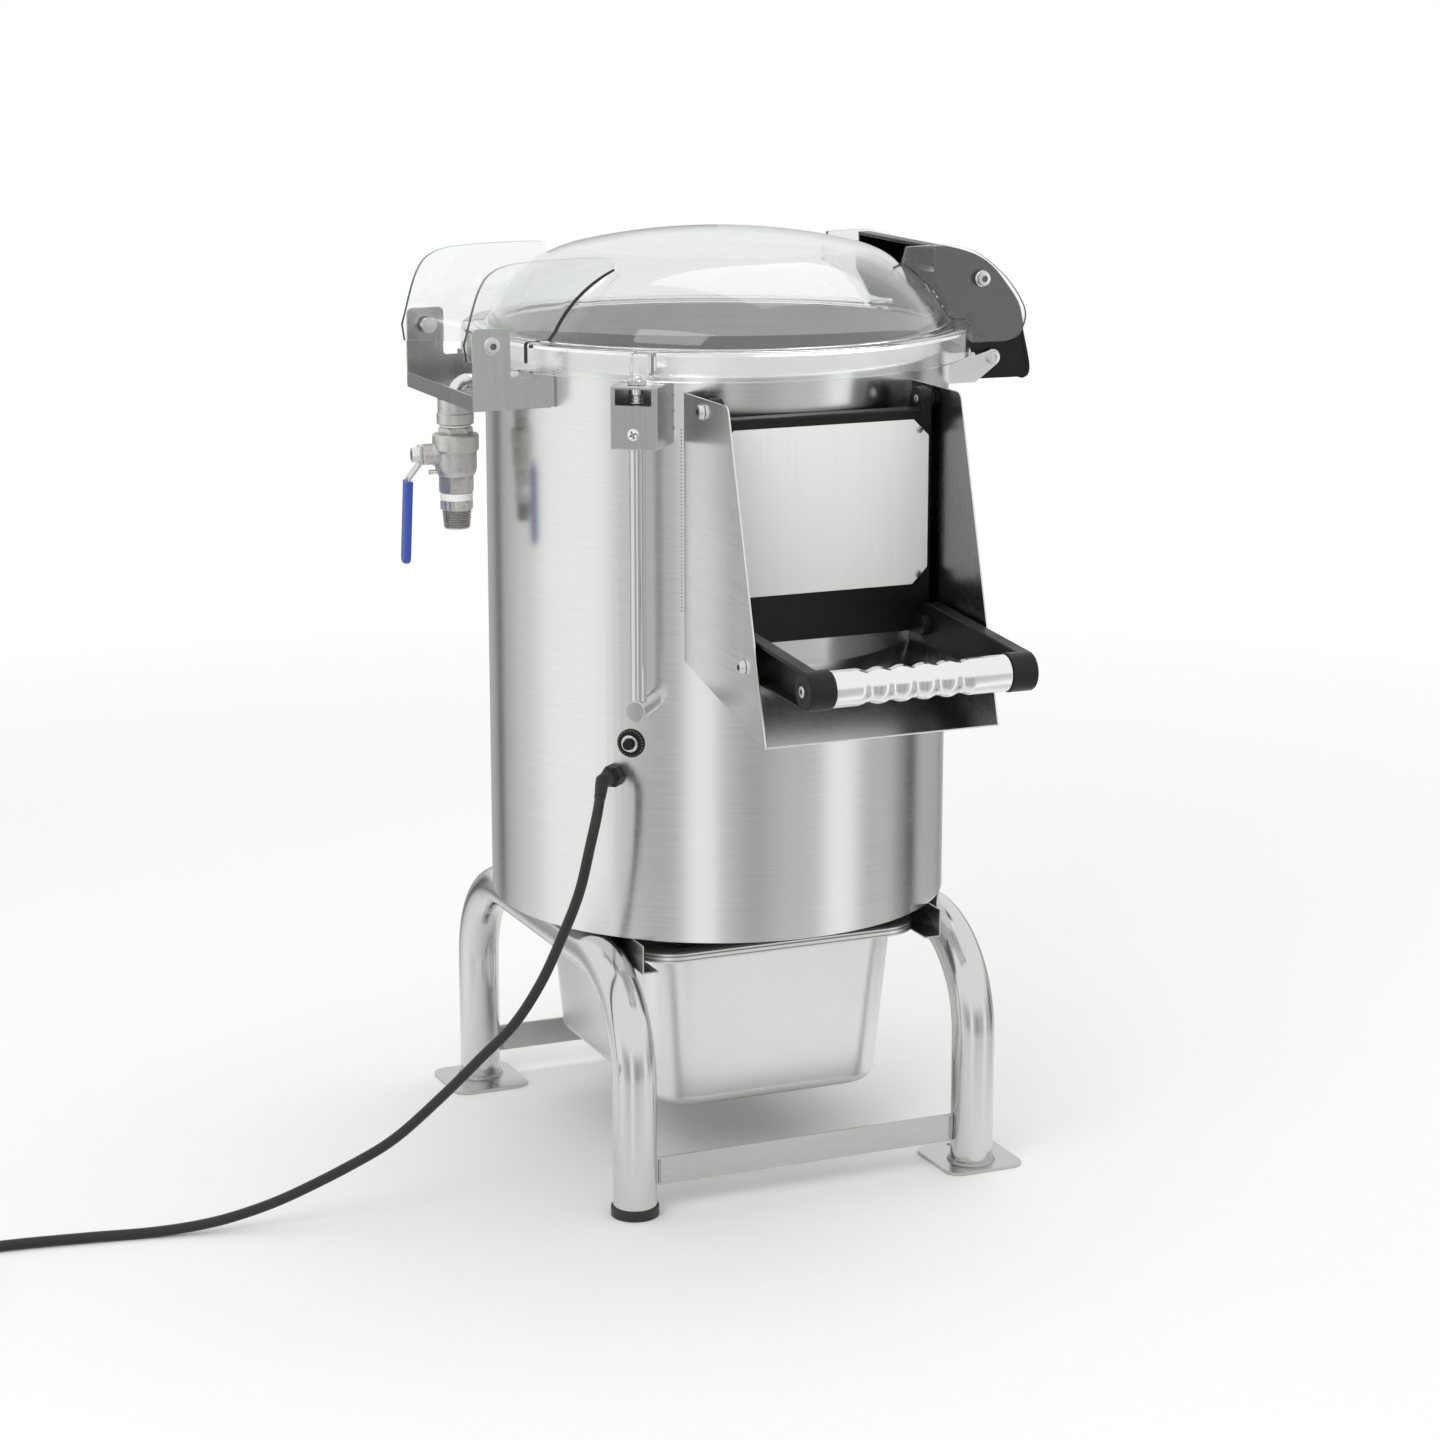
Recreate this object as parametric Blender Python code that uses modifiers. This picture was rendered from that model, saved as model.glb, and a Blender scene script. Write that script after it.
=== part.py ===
"""Potato peeler machine: a floor-standing drum peeler with a clear hinged lid, a discharge
chute with a door, a drain pan in a tube frame, a water inlet valve and a mains lead.

Units are metres and +Z is up. The pieces are placed from the drum's axis at floor level,
with the chute towards -Y, the lid's hinge towards -X and its latch towards +X. At the end
the whole machine is moved so that the origin is the centre of its base.
"""

import math

import bmesh
import bpy
from mathutils import Matrix, Vector

# Clearances and cuts
GAP = 0.0003
OVERRUN = 0.004
WELD = 0.000005

# Drum
DRUM_RADIUS = 0.2045
DRUM_WALL = 0.0015
DRUM_BOTTOM = 0.230
DRUM_HEIGHT = 0.5055
DRUM_TOP = DRUM_BOTTOM + DRUM_HEIGHT
DRUM_SIDES = 56
LINER_SIDES = 28
OUTLET_HALF_WIDTH = 0.088
OUTLET_RISE = 0.270
OUTLET_HEIGHT = 0.180
OUTLET_LOW = DRUM_BOTTOM + OUTLET_RISE
OUTLET_HIGH = OUTLET_LOW + OUTLET_HEIGHT
LINER_THICKNESS = 0.003
LINER_BORDER = 0.010

# Tube frame
TUBE_RADIUS = 0.019
TUBE_WALL = 0.0015
LEG_X = 0.162
LEG_Y = 0.198
LEG_BEND = 0.090
FOOT_PLATE_THICKNESS = 0.003
FOOT_PLATE_WIDTH = 0.075
FOOT_PLATE_LENGTH = 0.078
FOOT_PLATE_CORNER = 0.014
FOOT_PLATE_SIDE_SHIFT = 0.003
FOOT_PLATE_BACK_SHIFT = 0.009
FOOT_BOLT_HOLE_RADIUS = 0.0035
FOOT_BOLT_SETBACK = 0.008
FOOT_CAP_WALL = 0.0015
FOOT_CAP_HEIGHT = 0.009
STRETCHER_LOW = 0.0235
STRETCHER_HEIGHT = 0.025
STRETCHER_THICKNESS = 0.0035
RAIL_THICKNESS = 0.0015
RAIL_LEDGE = 0.015
RAIL_DROP = 0.024
RAIL_HALF_LENGTH = 0.170

# Drain pan, whose rim lies on the rails between the tubes
PAN_RIM_CLEARANCE = 0.0090
PAN_RIM_HALF_LENGTH = 0.1625
PAN_RIM_WIDTH = 0.014
PAN_RIM_LENGTH = 0.0125
PAN_Y = 0.005
PAN_DEPTH = 0.146
PAN_LIP = 0.0072
PAN_TAPER_DEG = 4.3
PAN_CORNER = 0.045
PAN_FOOT_CORNER = 0.016
PAN_SHEET = 0.0012

# Drive inside the drum
BASE_THICKNESS = 0.002
FLOOR_RISE = 0.225
FLOOR_Z = DRUM_BOTTOM + FLOOR_RISE
FLOOR_THICKNESS = 0.002
SPOUT_Y = 0.105
SPOUT_RADIUS = 0.025
SPOUT_WALL = 0.0015
SPOUT_DROP = 0.008
SHAFT_RADIUS = 0.010
HOUSING_FLANGE_RADIUS = 0.042
HOUSING_FLANGE = 0.008
HOUSING_NECK_RADIUS = 0.020
HOUSING_NECK = 0.003
HOUSING_BODY_RADIUS = 0.028
HOUSING_BODY = 0.028
DISC_SIDE_GAP = 0.0047
DISC_LIFT = 0.0085
DISC_LOW = FLOOR_Z + DISC_LIFT
DISC_THICKNESS = 0.0105
DISC_EDGE = 0.0035
DISC_BOSS_RADIUS = 0.030
DISC_BOSS_RISE = 0.0065
DISC_HUB_DROP = 0.003
DISC_HUMP_RADIUS = 0.010
DISC_HUMP_START = 0.055
DISC_HUMP_SETBACK = 0.015
DISC_HUMPS = 3
DISC_RADIUS = DRUM_RADIUS - DRUM_WALL - LINER_THICKNESS - DISC_SIDE_GAP - GAP
LINER_LOW = DISC_LOW + DISC_THICKNESS + DISC_BOSS_RISE - GAP * 3
LINER_HIGH = OUTLET_HIGH + LINER_BORDER
PULLEY_WIDTH = 0.018
PULLEY_Z = FLOOR_Z - HOUSING_FLANGE - HOUSING_BODY - PULLEY_WIDTH / 2 - GAP * 3
DRIVEN_PULLEY_RADIUS = 0.070
MOTOR_PULLEY_RADIUS = 0.025
GROOVE_DEPTH = 0.006
GROOVE_FLOOR = 0.0044
GROOVE_MOUTH = 0.013
BELT_DEPTH = 0.004
MOTOR_X = 0.105
MOTOR_RADIUS = 0.060
MOTOR_BELL_RADIUS = 0.050
MOTOR_BELL = 0.013
MOTOR_DROP = 0.024
MOTOR_TOP = PULLEY_Z - MOTOR_DROP
MOTOR_SHAFT_RADIUS = 0.008
MOTOR_SHAFT_DEPTH = 0.018
MOTOR_PLATE_BORDER = 0.010
MOTOR_PLATE_THICKNESS = 0.006

# Lid, whose flange lies on the seal on the drum's rim
SEAL_WIDTH = 0.007
SEAL_OVERHANG = 0.0015
SEAL_THICKNESS = 0.0009
LID_WALL = 0.004
LID_FLANGE_TOP = DRUM_TOP + SEAL_THICKNESS + GAP * 2 + LID_WALL
LID_CROWN_RADIUS = 0.566
LID_SHOULDER_RADIUS = 0.110
LID_SIDE_DEG = 64.6
LID_SIDE_LENGTH = 0.0071
LID_FOOT_INSET = 0.0008
LID_FOOT_RADIUS = DRUM_RADIUS - LID_FOOT_INSET
LID_FLANGE_REACH = 0.0205
LID_SKIRT_RADIUS = DRUM_RADIUS + LID_FLANGE_REACH
LID_SKIRT_CORNER = 0.003
LID_SKIRT_DEPTH = 0.0265
LID_SKIRT_LOW = LID_FLANGE_TOP - LID_SKIRT_DEPTH
LID_SIDES = 36
WING_THICKNESS = 0.005
WING_INSIDE = 0.079
WING_RISE = 0.0665
WING_ROOT_SHARE = 0.617
WING_STEP_SHARE = 0.771

# Lid hinge and bracket
HINGE_REACH = 0.037
HINGE_RISE = 0.0033
HINGE_X = -DRUM_RADIUS - HINGE_REACH
HINGE_Z = DRUM_TOP + HINGE_RISE
HINGE_WING_BORDER = 0.0225
HINGE_WING_REACH = HINGE_WING_BORDER - HINGE_X
HINGE_BOLT_RADIUS = 0.004
HINGE_HEAD_RADIUS = 0.0065
HINGE_HEAD = 0.0042
HINGE_NUT_RADIUS = 0.0075
HINGE_NUT = 0.0065
BRACKET_SHEET = 0.002
BRACKET_SIDE_GAP = 0.001
BRACKET_OUTSIDE = WING_INSIDE + WING_THICKNESS + BRACKET_SIDE_GAP + BRACKET_SHEET
BRACKET_BORDER = 0.017
BRACKET_REACH = BRACKET_BORDER - HINGE_X
BRACKET_DROP = 0.051
BRACKET_LOW = DRUM_TOP - BRACKET_DROP
BRACKET_ARM = 0.027
BRACKET_ARM_TOP = BRACKET_LOW + BRACKET_ARM
BRACKET_EAR_WIDTH = 0.0335
BRACKET_EAR_BORDER = 0.0147
BRACKET_EAR_TOP = HINGE_Z + BRACKET_EAR_BORDER
BRACKET_EAR_CORNER = 0.005
BRACKET_LIP = 0.013
BRACKET_LIP_TOP = BRACKET_LOW + BRACKET_LIP
BRACKET_FLANGE = 0.0315
BRACKET_FLANGE_TOP = BRACKET_LOW + BRACKET_FLANGE
BRACKET_FLANGE_DEPTH = 0.016

# Latch handle and its catch
LATCH_REACH = 0.0135
LATCH_RISE = 0.0347
LATCH_X = DRUM_RADIUS + LATCH_REACH
LATCH_Z = LID_FLANGE_TOP + LATCH_RISE
LATCH_WING_BORDER = 0.0446
LATCH_WING_REACH = LATCH_X + LATCH_WING_BORDER
LATCH_PIN_RADIUS = 0.004
LATCH_PIN_HEAD_RADIUS = 0.0065
LATCH_PIN_HEAD = 0.005
LATCH_HUB_RADIUS = 0.008
LATCH_HUB_DEPTH = 0.008
LATCH_SIDE_GAP = 0.0015
LATCH_HALF_WIDTH = WING_INSIDE - LATCH_SIDE_GAP
LATCH_SHEET = 0.003
LATCH_INSET = 0.0005
LATCH_SLOT_CLEARANCE = 0.001
LATCH_HOOK_REACH = 0.0118
LATCH_THROAT_REACH = 0.0168
CATCH_REACH = 0.0258
CATCH_DROP = 0.0357
CATCH_X = DRUM_RADIUS + CATCH_REACH
CATCH_Z = LID_FLANGE_TOP - CATCH_DROP
CATCH_ROD_RADIUS = 0.0045
CATCH_HEAD_RADIUS = 0.0058
CATCH_HEAD = 0.004
CATCH_ARM_THICKNESS = 0.004
CATCH_ARM_RADIUS = 0.0075
CATCH_BLOCK_DROP = 0.0213
CATCH_BLOCK_RISE = 0.0057
CATCH_BLOCK_LOW = CATCH_Z - CATCH_BLOCK_DROP
CATCH_BLOCK_TOP = CATCH_Z + CATCH_BLOCK_RISE
CATCH_BLOCK_REACH = 0.0125

# Door, in front of the drum's outlet
DOOR_BORDER = 0.012
DOOR_HALF_WIDTH = OUTLET_HALF_WIDTH + DOOR_BORDER
DOOR_TOP_BORDER = 0.006
DOOR_LOW_BORDER = 0.003
DOOR_TOP = OUTLET_HIGH + DOOR_TOP_BORDER
DOOR_LOW = OUTLET_LOW - DOOR_LOW_BORDER
DOOR_STAND_OFF = 0.002
DOOR_THICKNESS = 0.018
DOOR_FRONT = DRUM_RADIUS + DOOR_STAND_OFF + DOOR_THICKNESS
DOOR_EDGE = 0.002
DOOR_HINGE_SETBACK = 0.0102
DOOR_HINGE_RISE = 0.0069
DOOR_HINGE_Y = DOOR_HINGE_SETBACK - DOOR_FRONT
DOOR_HINGE_Z = DOOR_TOP + DOOR_HINGE_RISE
DOOR_EAR_RADIUS = 0.0105
DOOR_EAR_SETBACK = 0.001
DOOR_EAR_THICKNESS = 0.010
DOOR_EAR_OUTSIDE = DOOR_HALF_WIDTH - DOOR_EAR_SETBACK
DOOR_EAR_INSIDE = DOOR_EAR_OUTSIDE - DOOR_EAR_THICKNESS
DOOR_SPACER_RADIUS = 0.0075
DOOR_PLATE_BORDER = 0.004
DOOR_PLATE_HALF_WIDTH = DOOR_HALF_WIDTH - DOOR_PLATE_BORDER
DOOR_PLATE_HEIGHT = 0.140
DOOR_PLATE_DROP = 0.0085
DOOR_PLATE_TOP = DOOR_TOP - DOOR_PLATE_DROP
DOOR_PLATE_LOW = DOOR_PLATE_TOP - DOOR_PLATE_HEIGHT
DOOR_PLATE_CHAMFER = 0.014
DOOR_PLATE_THICKNESS = 0.0012
DOOR_BOLT_RADIUS = 0.004
DOOR_BOLT_HEAD_RADIUS = 0.007
DOOR_BOLT_HEAD = 0.0042

# Discharge chute, whose sides carry the door
CHUTE_SIDE_GAP = 0.004
CHUTE_SHEET = 0.0015
CHUTE_HALF_WIDTH = DOOR_HALF_WIDTH + CHUTE_SIDE_GAP + CHUTE_SHEET
CHUTE_TOP_BORDER = 0.0111
CHUTE_TOP = DOOR_HINGE_Z + CHUTE_TOP_BORDER
CHUTE_TOP_LENGTH = 0.0415
CHUTE_TOP_REACH = DOOR_FRONT + CHUTE_TOP_LENGTH
CHUTE_TOP_CORNER = 0.008
CHUTE_MOUTH_LENGTH = 0.1185
CHUTE_MOUTH_REACH = DOOR_FRONT + CHUTE_MOUTH_LENGTH
CHUTE_MOUTH_DROP = 0.0603
CHUTE_MOUTH_Z = DOOR_LOW - CHUTE_MOUTH_DROP
CHUTE_ROOT_DROP = 0.020
CHUTE_ROOT_Z = DOOR_LOW - CHUTE_ROOT_DROP
CHUTE_ROOT_SETBACK = 0.0488
CHUTE_ROOT_REACH = DOOR_FRONT - CHUTE_ROOT_SETBACK
CATCH_BOLT_REACH = 0.0738
CATCH_BOLT_DROP = 0.0005
CATCH_BOLT_Y = -DOOR_FRONT - CATCH_BOLT_REACH
CATCH_BOLT_Z = DOOR_LOW - CATCH_BOLT_DROP
CATCH_BOLT_LENGTH = 0.010
CATCH_BOLT_HEAD_RADIUS = 0.0065

# Door lever
LEVER_PIVOT_REACH = 0.020
LEVER_PIVOT_RISE = 0.009
LEVER_PIVOT_Y = -DOOR_FRONT - LEVER_PIVOT_REACH
LEVER_PIVOT_Z = DOOR_LOW + LEVER_PIVOT_RISE
LEVER_REAR_RADIUS = 0.0178
LEVER_LENGTH = 0.1585
LEVER_FALL = 0.009
LEVER_GRIP_Y = LEVER_PIVOT_Y - LEVER_LENGTH
LEVER_GRIP_Z = LEVER_PIVOT_Z - LEVER_FALL
LEVER_CAP_RADIUS = 0.0158
LEVER_SIDE_GAP = 0.0035
LEVER_ARM_WIDTH = 0.0125
LEVER_OUTSIDE = CHUTE_HALF_WIDTH - CHUTE_SHEET - LEVER_SIDE_GAP
LEVER_ARM_INSIDE = LEVER_OUTSIDE - LEVER_ARM_WIDTH
LEVER_WEB = 0.0025
LEVER_RIM = 0.0025
LEVER_CAP_WIDTH = 0.010
LEVER_CAP_INSIDE = LEVER_ARM_INSIDE - LEVER_CAP_WIDTH
LEVER_NOTCH_BORDER = 0.0062
LEVER_NOTCH_Y = CATCH_BOLT_Y - LEVER_NOTCH_BORDER
LEVER_ROD_RADIUS = 0.006
LUG_RADIUS = 0.0087
LUG_THICKNESS = 0.0075
LUG_PIN_RADIUS = 0.003
LUG_PIN_LENGTH = 0.0045
GRIP_RADIUS = 0.0150
GRIP_WAVE = 0.0014
GRIP_WAVES_LEFT = 0.0189
GRIP_WAVES_RIGHT = 0.0119
GRIP_WAVES = 6

# Water inlet, from the bracket's tray down
INLET_SETBACK = 0.003
INLET_X = HINGE_X - INLET_SETBACK
INLET_TURN_DEG = -8.0
WATERWAY_RADIUS = 0.0075
SOCKET_RADIUS = 0.015
SOCKET_NECK = 0.0125
SOCKET_COLLAR_RADIUS = 0.016
SOCKET_COLLAR = 0.0094
SOCKET_COLLAR_Z = BRACKET_LOW - SOCKET_NECK
SOCKET_LOW = SOCKET_COLLAR_Z - SOCKET_COLLAR
INLET_SEAL_RADIUS = 0.01325
INLET_SEAL = 0.002
VALVE_TOP = SOCKET_LOW - INLET_SEAL - GAP * 2
VALVE_HEX_RADIUS = 0.0152
VALVE_HEX = 0.0103
VALVE_HEX_LOW = VALVE_TOP - VALVE_HEX
VALVE_SHOULDER = 0.0055
VALVE_COLLAR_TOP = VALVE_TOP - VALVE_SHOULDER
VALVE_COLLAR_RADIUS = 0.020
VALVE_COLLAR = 0.0145
VALVE_COLLAR_LOW = VALVE_COLLAR_TOP - VALVE_COLLAR
VALVE_BODY_RADIUS = 0.018
VALVE_BODY = 0.023
VALVE_BODY_LOW = VALVE_COLLAR_LOW - VALVE_BODY
VALVE_TAIL = 0.0135
VALVE_LOW = VALVE_BODY_LOW - VALVE_TAIL
VALVE_STEM_DROP = 0.003
VALVE_CENTRE_Z = VALVE_COLLAR_LOW - VALVE_STEM_DROP
VALVE_BALL_RADIUS = 0.012
VALVE_SEAT_CLEARANCE = 0.0009
VALVE_PORT_RADIUS = 0.0065
VALVE_BOSS_RADIUS = 0.009
VALVE_BOSS = 0.0118
VALVE_BOSS_REACH = VALVE_BODY_RADIUS + VALVE_BOSS
VALVE_STEM_RADIUS = 0.004
NIPPLE_SEAL_RADIUS = 0.014
NIPPLE_SEAL = 0.0064
NIPPLE_TOP = VALVE_LOW - NIPPLE_SEAL - GAP * 2
NIPPLE_HEX_RADIUS = 0.01435
NIPPLE_HEX = 0.008
NIPPLE_HEX_LOW = NIPPLE_TOP - NIPPLE_HEX
NIPPLE_THREAD_RADIUS = 0.0128
NIPPLE_END_RADIUS = 0.0115
NIPPLE_THREAD = 0.0165
NIPPLE_LOW = NIPPLE_HEX_LOW - NIPPLE_THREAD
LEVER_STRIP = 0.0025
LEVER_STRIP_WIDTH = 0.014
LEVER_STRIP_RISE = 0.008
LEVER_STRIP_BEND = 0.007
LEVER_STRIP_KNEE_OUT = 0.0122
LEVER_STRIP_KNEE = 0.0135
LEVER_STRIP_END_OUT = 0.0032
LEVER_STRIP_LENGTH = 0.0685
LEVER_NUT_RADIUS = 0.0068
LEVER_NUT = 0.006
SLEEVE_THICKNESS = 0.0065
SLEEVE_WIDTH = 0.018
SLEEVE_START = 0.0015
SLEEVE_END = 0.005
NOZZLE_RADIUS = 0.0065
NOZZLE_BORE = 0.0045
NOZZLE_RISE = 0.0145
NOZZLE_Z = BRACKET_LOW + NOZZLE_RISE
NOZZLE_BEND = 0.012
NOZZLE_INSIDE = 0.0105
NOZZLE_TIP = DRUM_RADIUS - NOZZLE_INSIDE

# Lid switch, under a lug on the lid's skirt
LID_BOSS_LEFT = -0.004
LID_BOSS_RIGHT = 0.013
LID_BOSS_PROUD = 0.020
LID_BOSS_REACH = LID_SKIRT_RADIUS + LID_BOSS_PROUD
LID_BOSS_RISE = 0.0069
LID_BOSS_DROP = 0.0013
LID_BOSS_LOW = LID_SKIRT_LOW + LID_BOSS_RISE
LID_BOSS_TOP = LID_FLANGE_TOP - LID_BOSS_DROP
SWITCH_TURN_DEG = -39.4
SWITCH_DEPTH = 0.0455
SWITCH_FACE = DRUM_RADIUS + SWITCH_DEPTH
SWITCH_SHEET = 0.0015
SWITCH_LEFT = -0.019
SWITCH_RIGHT = 0.0215
SWITCH_NUT_RADIUS = 0.0085
SWITCH_NUT = 0.004
PLUNGER_RADIUS = 0.004
PLUNGER_PROUD = 0.0028
PLUNGER_LENGTH = 0.0311
SWITCH_TOP = LID_BOSS_LOW - GAP * 2 - PLUNGER_PROUD - SWITCH_NUT
SWITCH_HEIGHT = 0.0525
SWITCH_LOW = SWITCH_TOP - SWITCH_HEIGHT
SWITCH_WINDOW_SIDE = 0.0043
SWITCH_WINDOW_LINTEL = 0.0025
SWITCH_WINDOW = 0.0135
SWITCH_WINDOW_TOP = SWITCH_TOP - SWITCH_WINDOW_LINTEL
SWITCH_WINDOW_LOW = SWITCH_WINDOW_TOP - SWITCH_WINDOW
SWITCH_REACH = LID_SKIRT_RADIUS + LID_BOSS_PROUD - SWITCH_NUT_RADIUS
SWITCH_SLEEVE_RADIUS = 0.0055
SWITCH_SLEEVE = 0.006
CONDUIT_RADIUS = 0.0069
CONDUIT_INSIDE = 0.0185
CONDUIT_TOP = SWITCH_LOW + CONDUIT_INSIDE
CONDUIT_LENGTH = 0.239
CONDUIT_LOW = CONDUIT_TOP - CONDUIT_LENGTH
CONDUIT_END_RADIUS = 0.00925
CONDUIT_END_PROUD = 0.010
CONDUIT_END_REACH = SWITCH_REACH + CONDUIT_END_PROUD

# Reset breaker
BREAKER_TURN_DEG = -44.2
BREAKER_DROP = 0.0377
BREAKER_Z = CONDUIT_LOW - BREAKER_DROP
BREAKER_RING_RADIUS = 0.0123
BREAKER_RING = 0.0015
BREAKER_NUT_RADIUS = 0.00735
BREAKER_NUT = 0.0025
BREAKER_BARREL_RADIUS = 0.006
BREAKER_BODY_RADIUS = 0.010
BREAKER_BODY = 0.026
BREAKER_BORE_RADIUS = 0.00455
BREAKER_BORE = 0.014
BUTTON_CLEARANCE = 0.0003
BUTTON_RADIUS = BREAKER_BORE_RADIUS - BUTTON_CLEARANCE
BUTTON_PROUD = 0.0055
BUTTON_TRAVEL = 0.0025

# Mains lead
GLAND_TURN_DEG = -48.5
GLAND_Z = 0.374
GLAND_HEX_RADIUS = 0.0098
GLAND_HEX = 0.009
GLAND_NOSE_RADIUS = 0.0078
GLAND_NOSE = 0.005
GLAND_BARREL_RADIUS = 0.0075
GLAND_BARREL = 0.008
CORD_RADIUS = 0.0045
CORD_STEP = 0.020
CORD_FLOOR_GAP = 0.0003
CORD_Z = CORD_RADIUS + CORD_FLOOR_GAP
COIL_X = -0.775
COIL_Y = -0.120
COIL_RADIUS = 0.0555
COIL_PITCH = 0.0096
COIL_LAYER = 0.0096
COIL_TURNS = 3.25
COIL_LOOP_POINTS = 24
COIL_LEAD = 0.010
COIL_TAIL = 0.076
PLUG_RADIUS = 0.019
PLUG_LENGTH = 0.042
PLUG_NECK_RADIUS = 0.0065
PLUG_NECK = 0.014
PLUG_PIN_RADIUS = 0.0024
PLUG_PIN_LENGTH = 0.019
PLUG_PIN_SPACING = 0.0095

# The lead's own route, from the gland to the floor and away, chosen by hand
CORD_ROUTE = (
    (-0.1840, -0.1735, 0.3535),
    (-0.1929, -0.1795, 0.3280),
    (-0.2036, -0.1802, 0.2877),
    (-0.2186, -0.1780, 0.2500),
    (-0.2365, -0.1730, 0.2097),
    (-0.2588, -0.1660, 0.1736),
    (-0.2856, -0.1570, 0.1447),
    (-0.3164, -0.1460, 0.1118),
    (-0.3556, -0.1350, 0.0760),
    (-0.3915, -0.1250, 0.0539),
    (-0.4377, -0.1120, 0.0308),
    (-0.4720, -0.1040, 0.0180),
    (-0.5100, -0.0960, 0.0090),
    (-0.5550, -0.0870, 0.0048),
    (-0.6100, -0.0770, 0.0048),
    (-0.6700, -0.0680, 0.0048),
    (-0.7250, -0.0645, 0.0048),
)

# Outlines as shares of a wing's reach and rise above the flange
HINGE_WING_SHARES = (
    (0.992, -0.226), (1.000, -0.015), (0.947, 0.662), (0.883, 0.917),
    (0.758, 0.992), (0.519, 1.000), (0.494, 0.941),
)
HINGE_WING_FOOT_SHARE = -0.278
LATCH_WING_SHARES = (
    (0.811, -0.323), (0.925, -0.323), (0.975, -0.248), (1.000, -0.015), (0.984, 0.205),
    (0.921, 0.534), (0.817, 0.857), (0.716, 0.977), (0.552, 0.977),
)
LATCH_PATH_SHARES = (
    (0.663, 0.937), (0.716, 0.932), (0.810, 0.820), (0.868, 0.680), (0.911, 0.507),
    (0.972, 0.188), (0.990, -0.038), (1.000, -0.233), (1.024, -0.639), (1.021, -0.789),
    (1.000, -0.830),
)
LATCH_CHEEK_SHARES = (
    (0.663, 0.571), (0.717, 0.150), (0.7665, 0.069), (0.811, 0.045),
)
LATCH_HOOK_SHARE = -0.824

PARTS = bpy.data.collections.new("potato_peeler_machine")
GUIDES = bpy.data.collections.new("guides_and_cutters")


def clear_scene():
    """Remove what the file holds and add the two collections."""
    for thing in list(bpy.data.objects):
        bpy.data.objects.remove(thing, do_unlink=True)
    bpy.context.scene.collection.children.link(PARTS)
    bpy.context.scene.collection.children.link(GUIDES)


def finish(name, colour, roughness, metallic=0.0, transmission=0.0):
    """A Principled material."""
    material = bpy.data.materials.new(name)
    material.use_nodes = True
    shader = material.node_tree.nodes["Principled BSDF"]
    shader.inputs["Base Color"].default_value = (*colour, 1)
    shader.inputs["Roughness"].default_value = roughness
    shader.inputs["Metallic"].default_value = metallic
    shader.inputs["Transmission Weight"].default_value = transmission
    return material


def make_finishes():
    """Every finish of the machine, by name."""
    return {
        "steel": finish("brushed stainless", (0.72, 0.72, 0.72), 0.32, 1.0),
        "tube": finish("satin tube", (0.74, 0.73, 0.71), 0.25, 1.0),
        "pan": finish("pan stainless", (0.70, 0.70, 0.69), 0.38, 1.0),
        "zinc": finish("bright fastener", (0.78, 0.78, 0.78), 0.22, 1.0),
        "cast": finish("cast stainless", (0.58, 0.57, 0.55), 0.45, 1.0),
        "grip": finish("polished aluminium", (0.86, 0.86, 0.87), 0.22, 1.0),
        "black": finish("black plastic", (0.02, 0.02, 0.021), 0.42),
        "rubber": finish("black rubber", (0.025, 0.025, 0.026), 0.7),
        "cable": finish("black cable", (0.03, 0.03, 0.03), 0.5),
        "clear": finish("clear acrylic", (0.96, 0.97, 0.97), 0.05, 0.0, 0.9),
        "white": finish("white seal", (0.86, 0.86, 0.84), 0.5),
        "blue": finish("blue vinyl", (0.05, 0.08, 0.42), 0.4),
        "grit": finish("abrasive", (0.10, 0.10, 0.11), 0.9),
        "iron": finish("painted iron", (0.16, 0.17, 0.19), 0.5, 0.3),
    }


def empty(name, parent, location=(0, 0, 0), turn=0.0):
    """An empty that carries pieces, turned about Z by an angle in degrees."""
    holder = bpy.data.objects.new(name, None)
    GUIDES.objects.link(holder)
    holder.parent = parent
    holder.location = location
    holder.rotation_euler = (0, 0, math.radians(turn))
    return holder


def carry(thing, holder, machine_frame=True):
    """Hang an object on an empty, keeping its place when it was given from the drum's axis."""
    thing.parent = holder
    if machine_frame:
        thing.matrix_parent_inverse = Matrix.Translation(-holder.location)
    return thing


def keep(thing, material, holder, machine_frame=True):
    """Make an object a part of the machine."""
    thing.data.materials.clear()
    thing.data.materials.append(material)
    return carry(thing, holder, machine_frame)


def guide(thing):
    """Make an object a cutter or a shape that another one takes in."""
    for owner in list(thing.users_collection):
        owner.objects.unlink(thing)
    GUIDES.objects.link(thing)
    thing.hide_render = True
    thing.display_type = "WIRE"
    return thing


def combine(thing, other, operation="DIFFERENCE"):
    """Cut one object by another, or take the other one in, with an exact Boolean."""
    if other.name not in GUIDES.objects:
        guide(other)
    if other.parent is None:
        other.parent = thing.parent
        other.matrix_parent_inverse = thing.matrix_parent_inverse.copy()
    modifier = thing.modifiers.new(operation.lower(), "BOOLEAN")
    modifier.operation = operation
    modifier.solver = "EXACT"
    modifier.object = other
    return thing


def join(thing, *others):
    """Fuse shapes into one solid."""
    for other in others:
        combine(thing, other, "UNION")
    return thing


def cut(thing, *others):
    """Cut shapes out of a solid."""
    for other in others:
        combine(thing, other)
    return thing


def from_bmesh(name, shape, smooth=False):
    """An object in the parts' collection from a finished bmesh."""
    mesh = bpy.data.meshes.new(name)
    shape.to_mesh(mesh)
    shape.free()
    if smooth:
        mesh.shade_smooth()
        mesh.set_sharp_from_angle(angle=math.radians(30))
    thing = bpy.data.objects.new(name, mesh)
    PARTS.objects.link(thing)
    return thing


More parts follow.
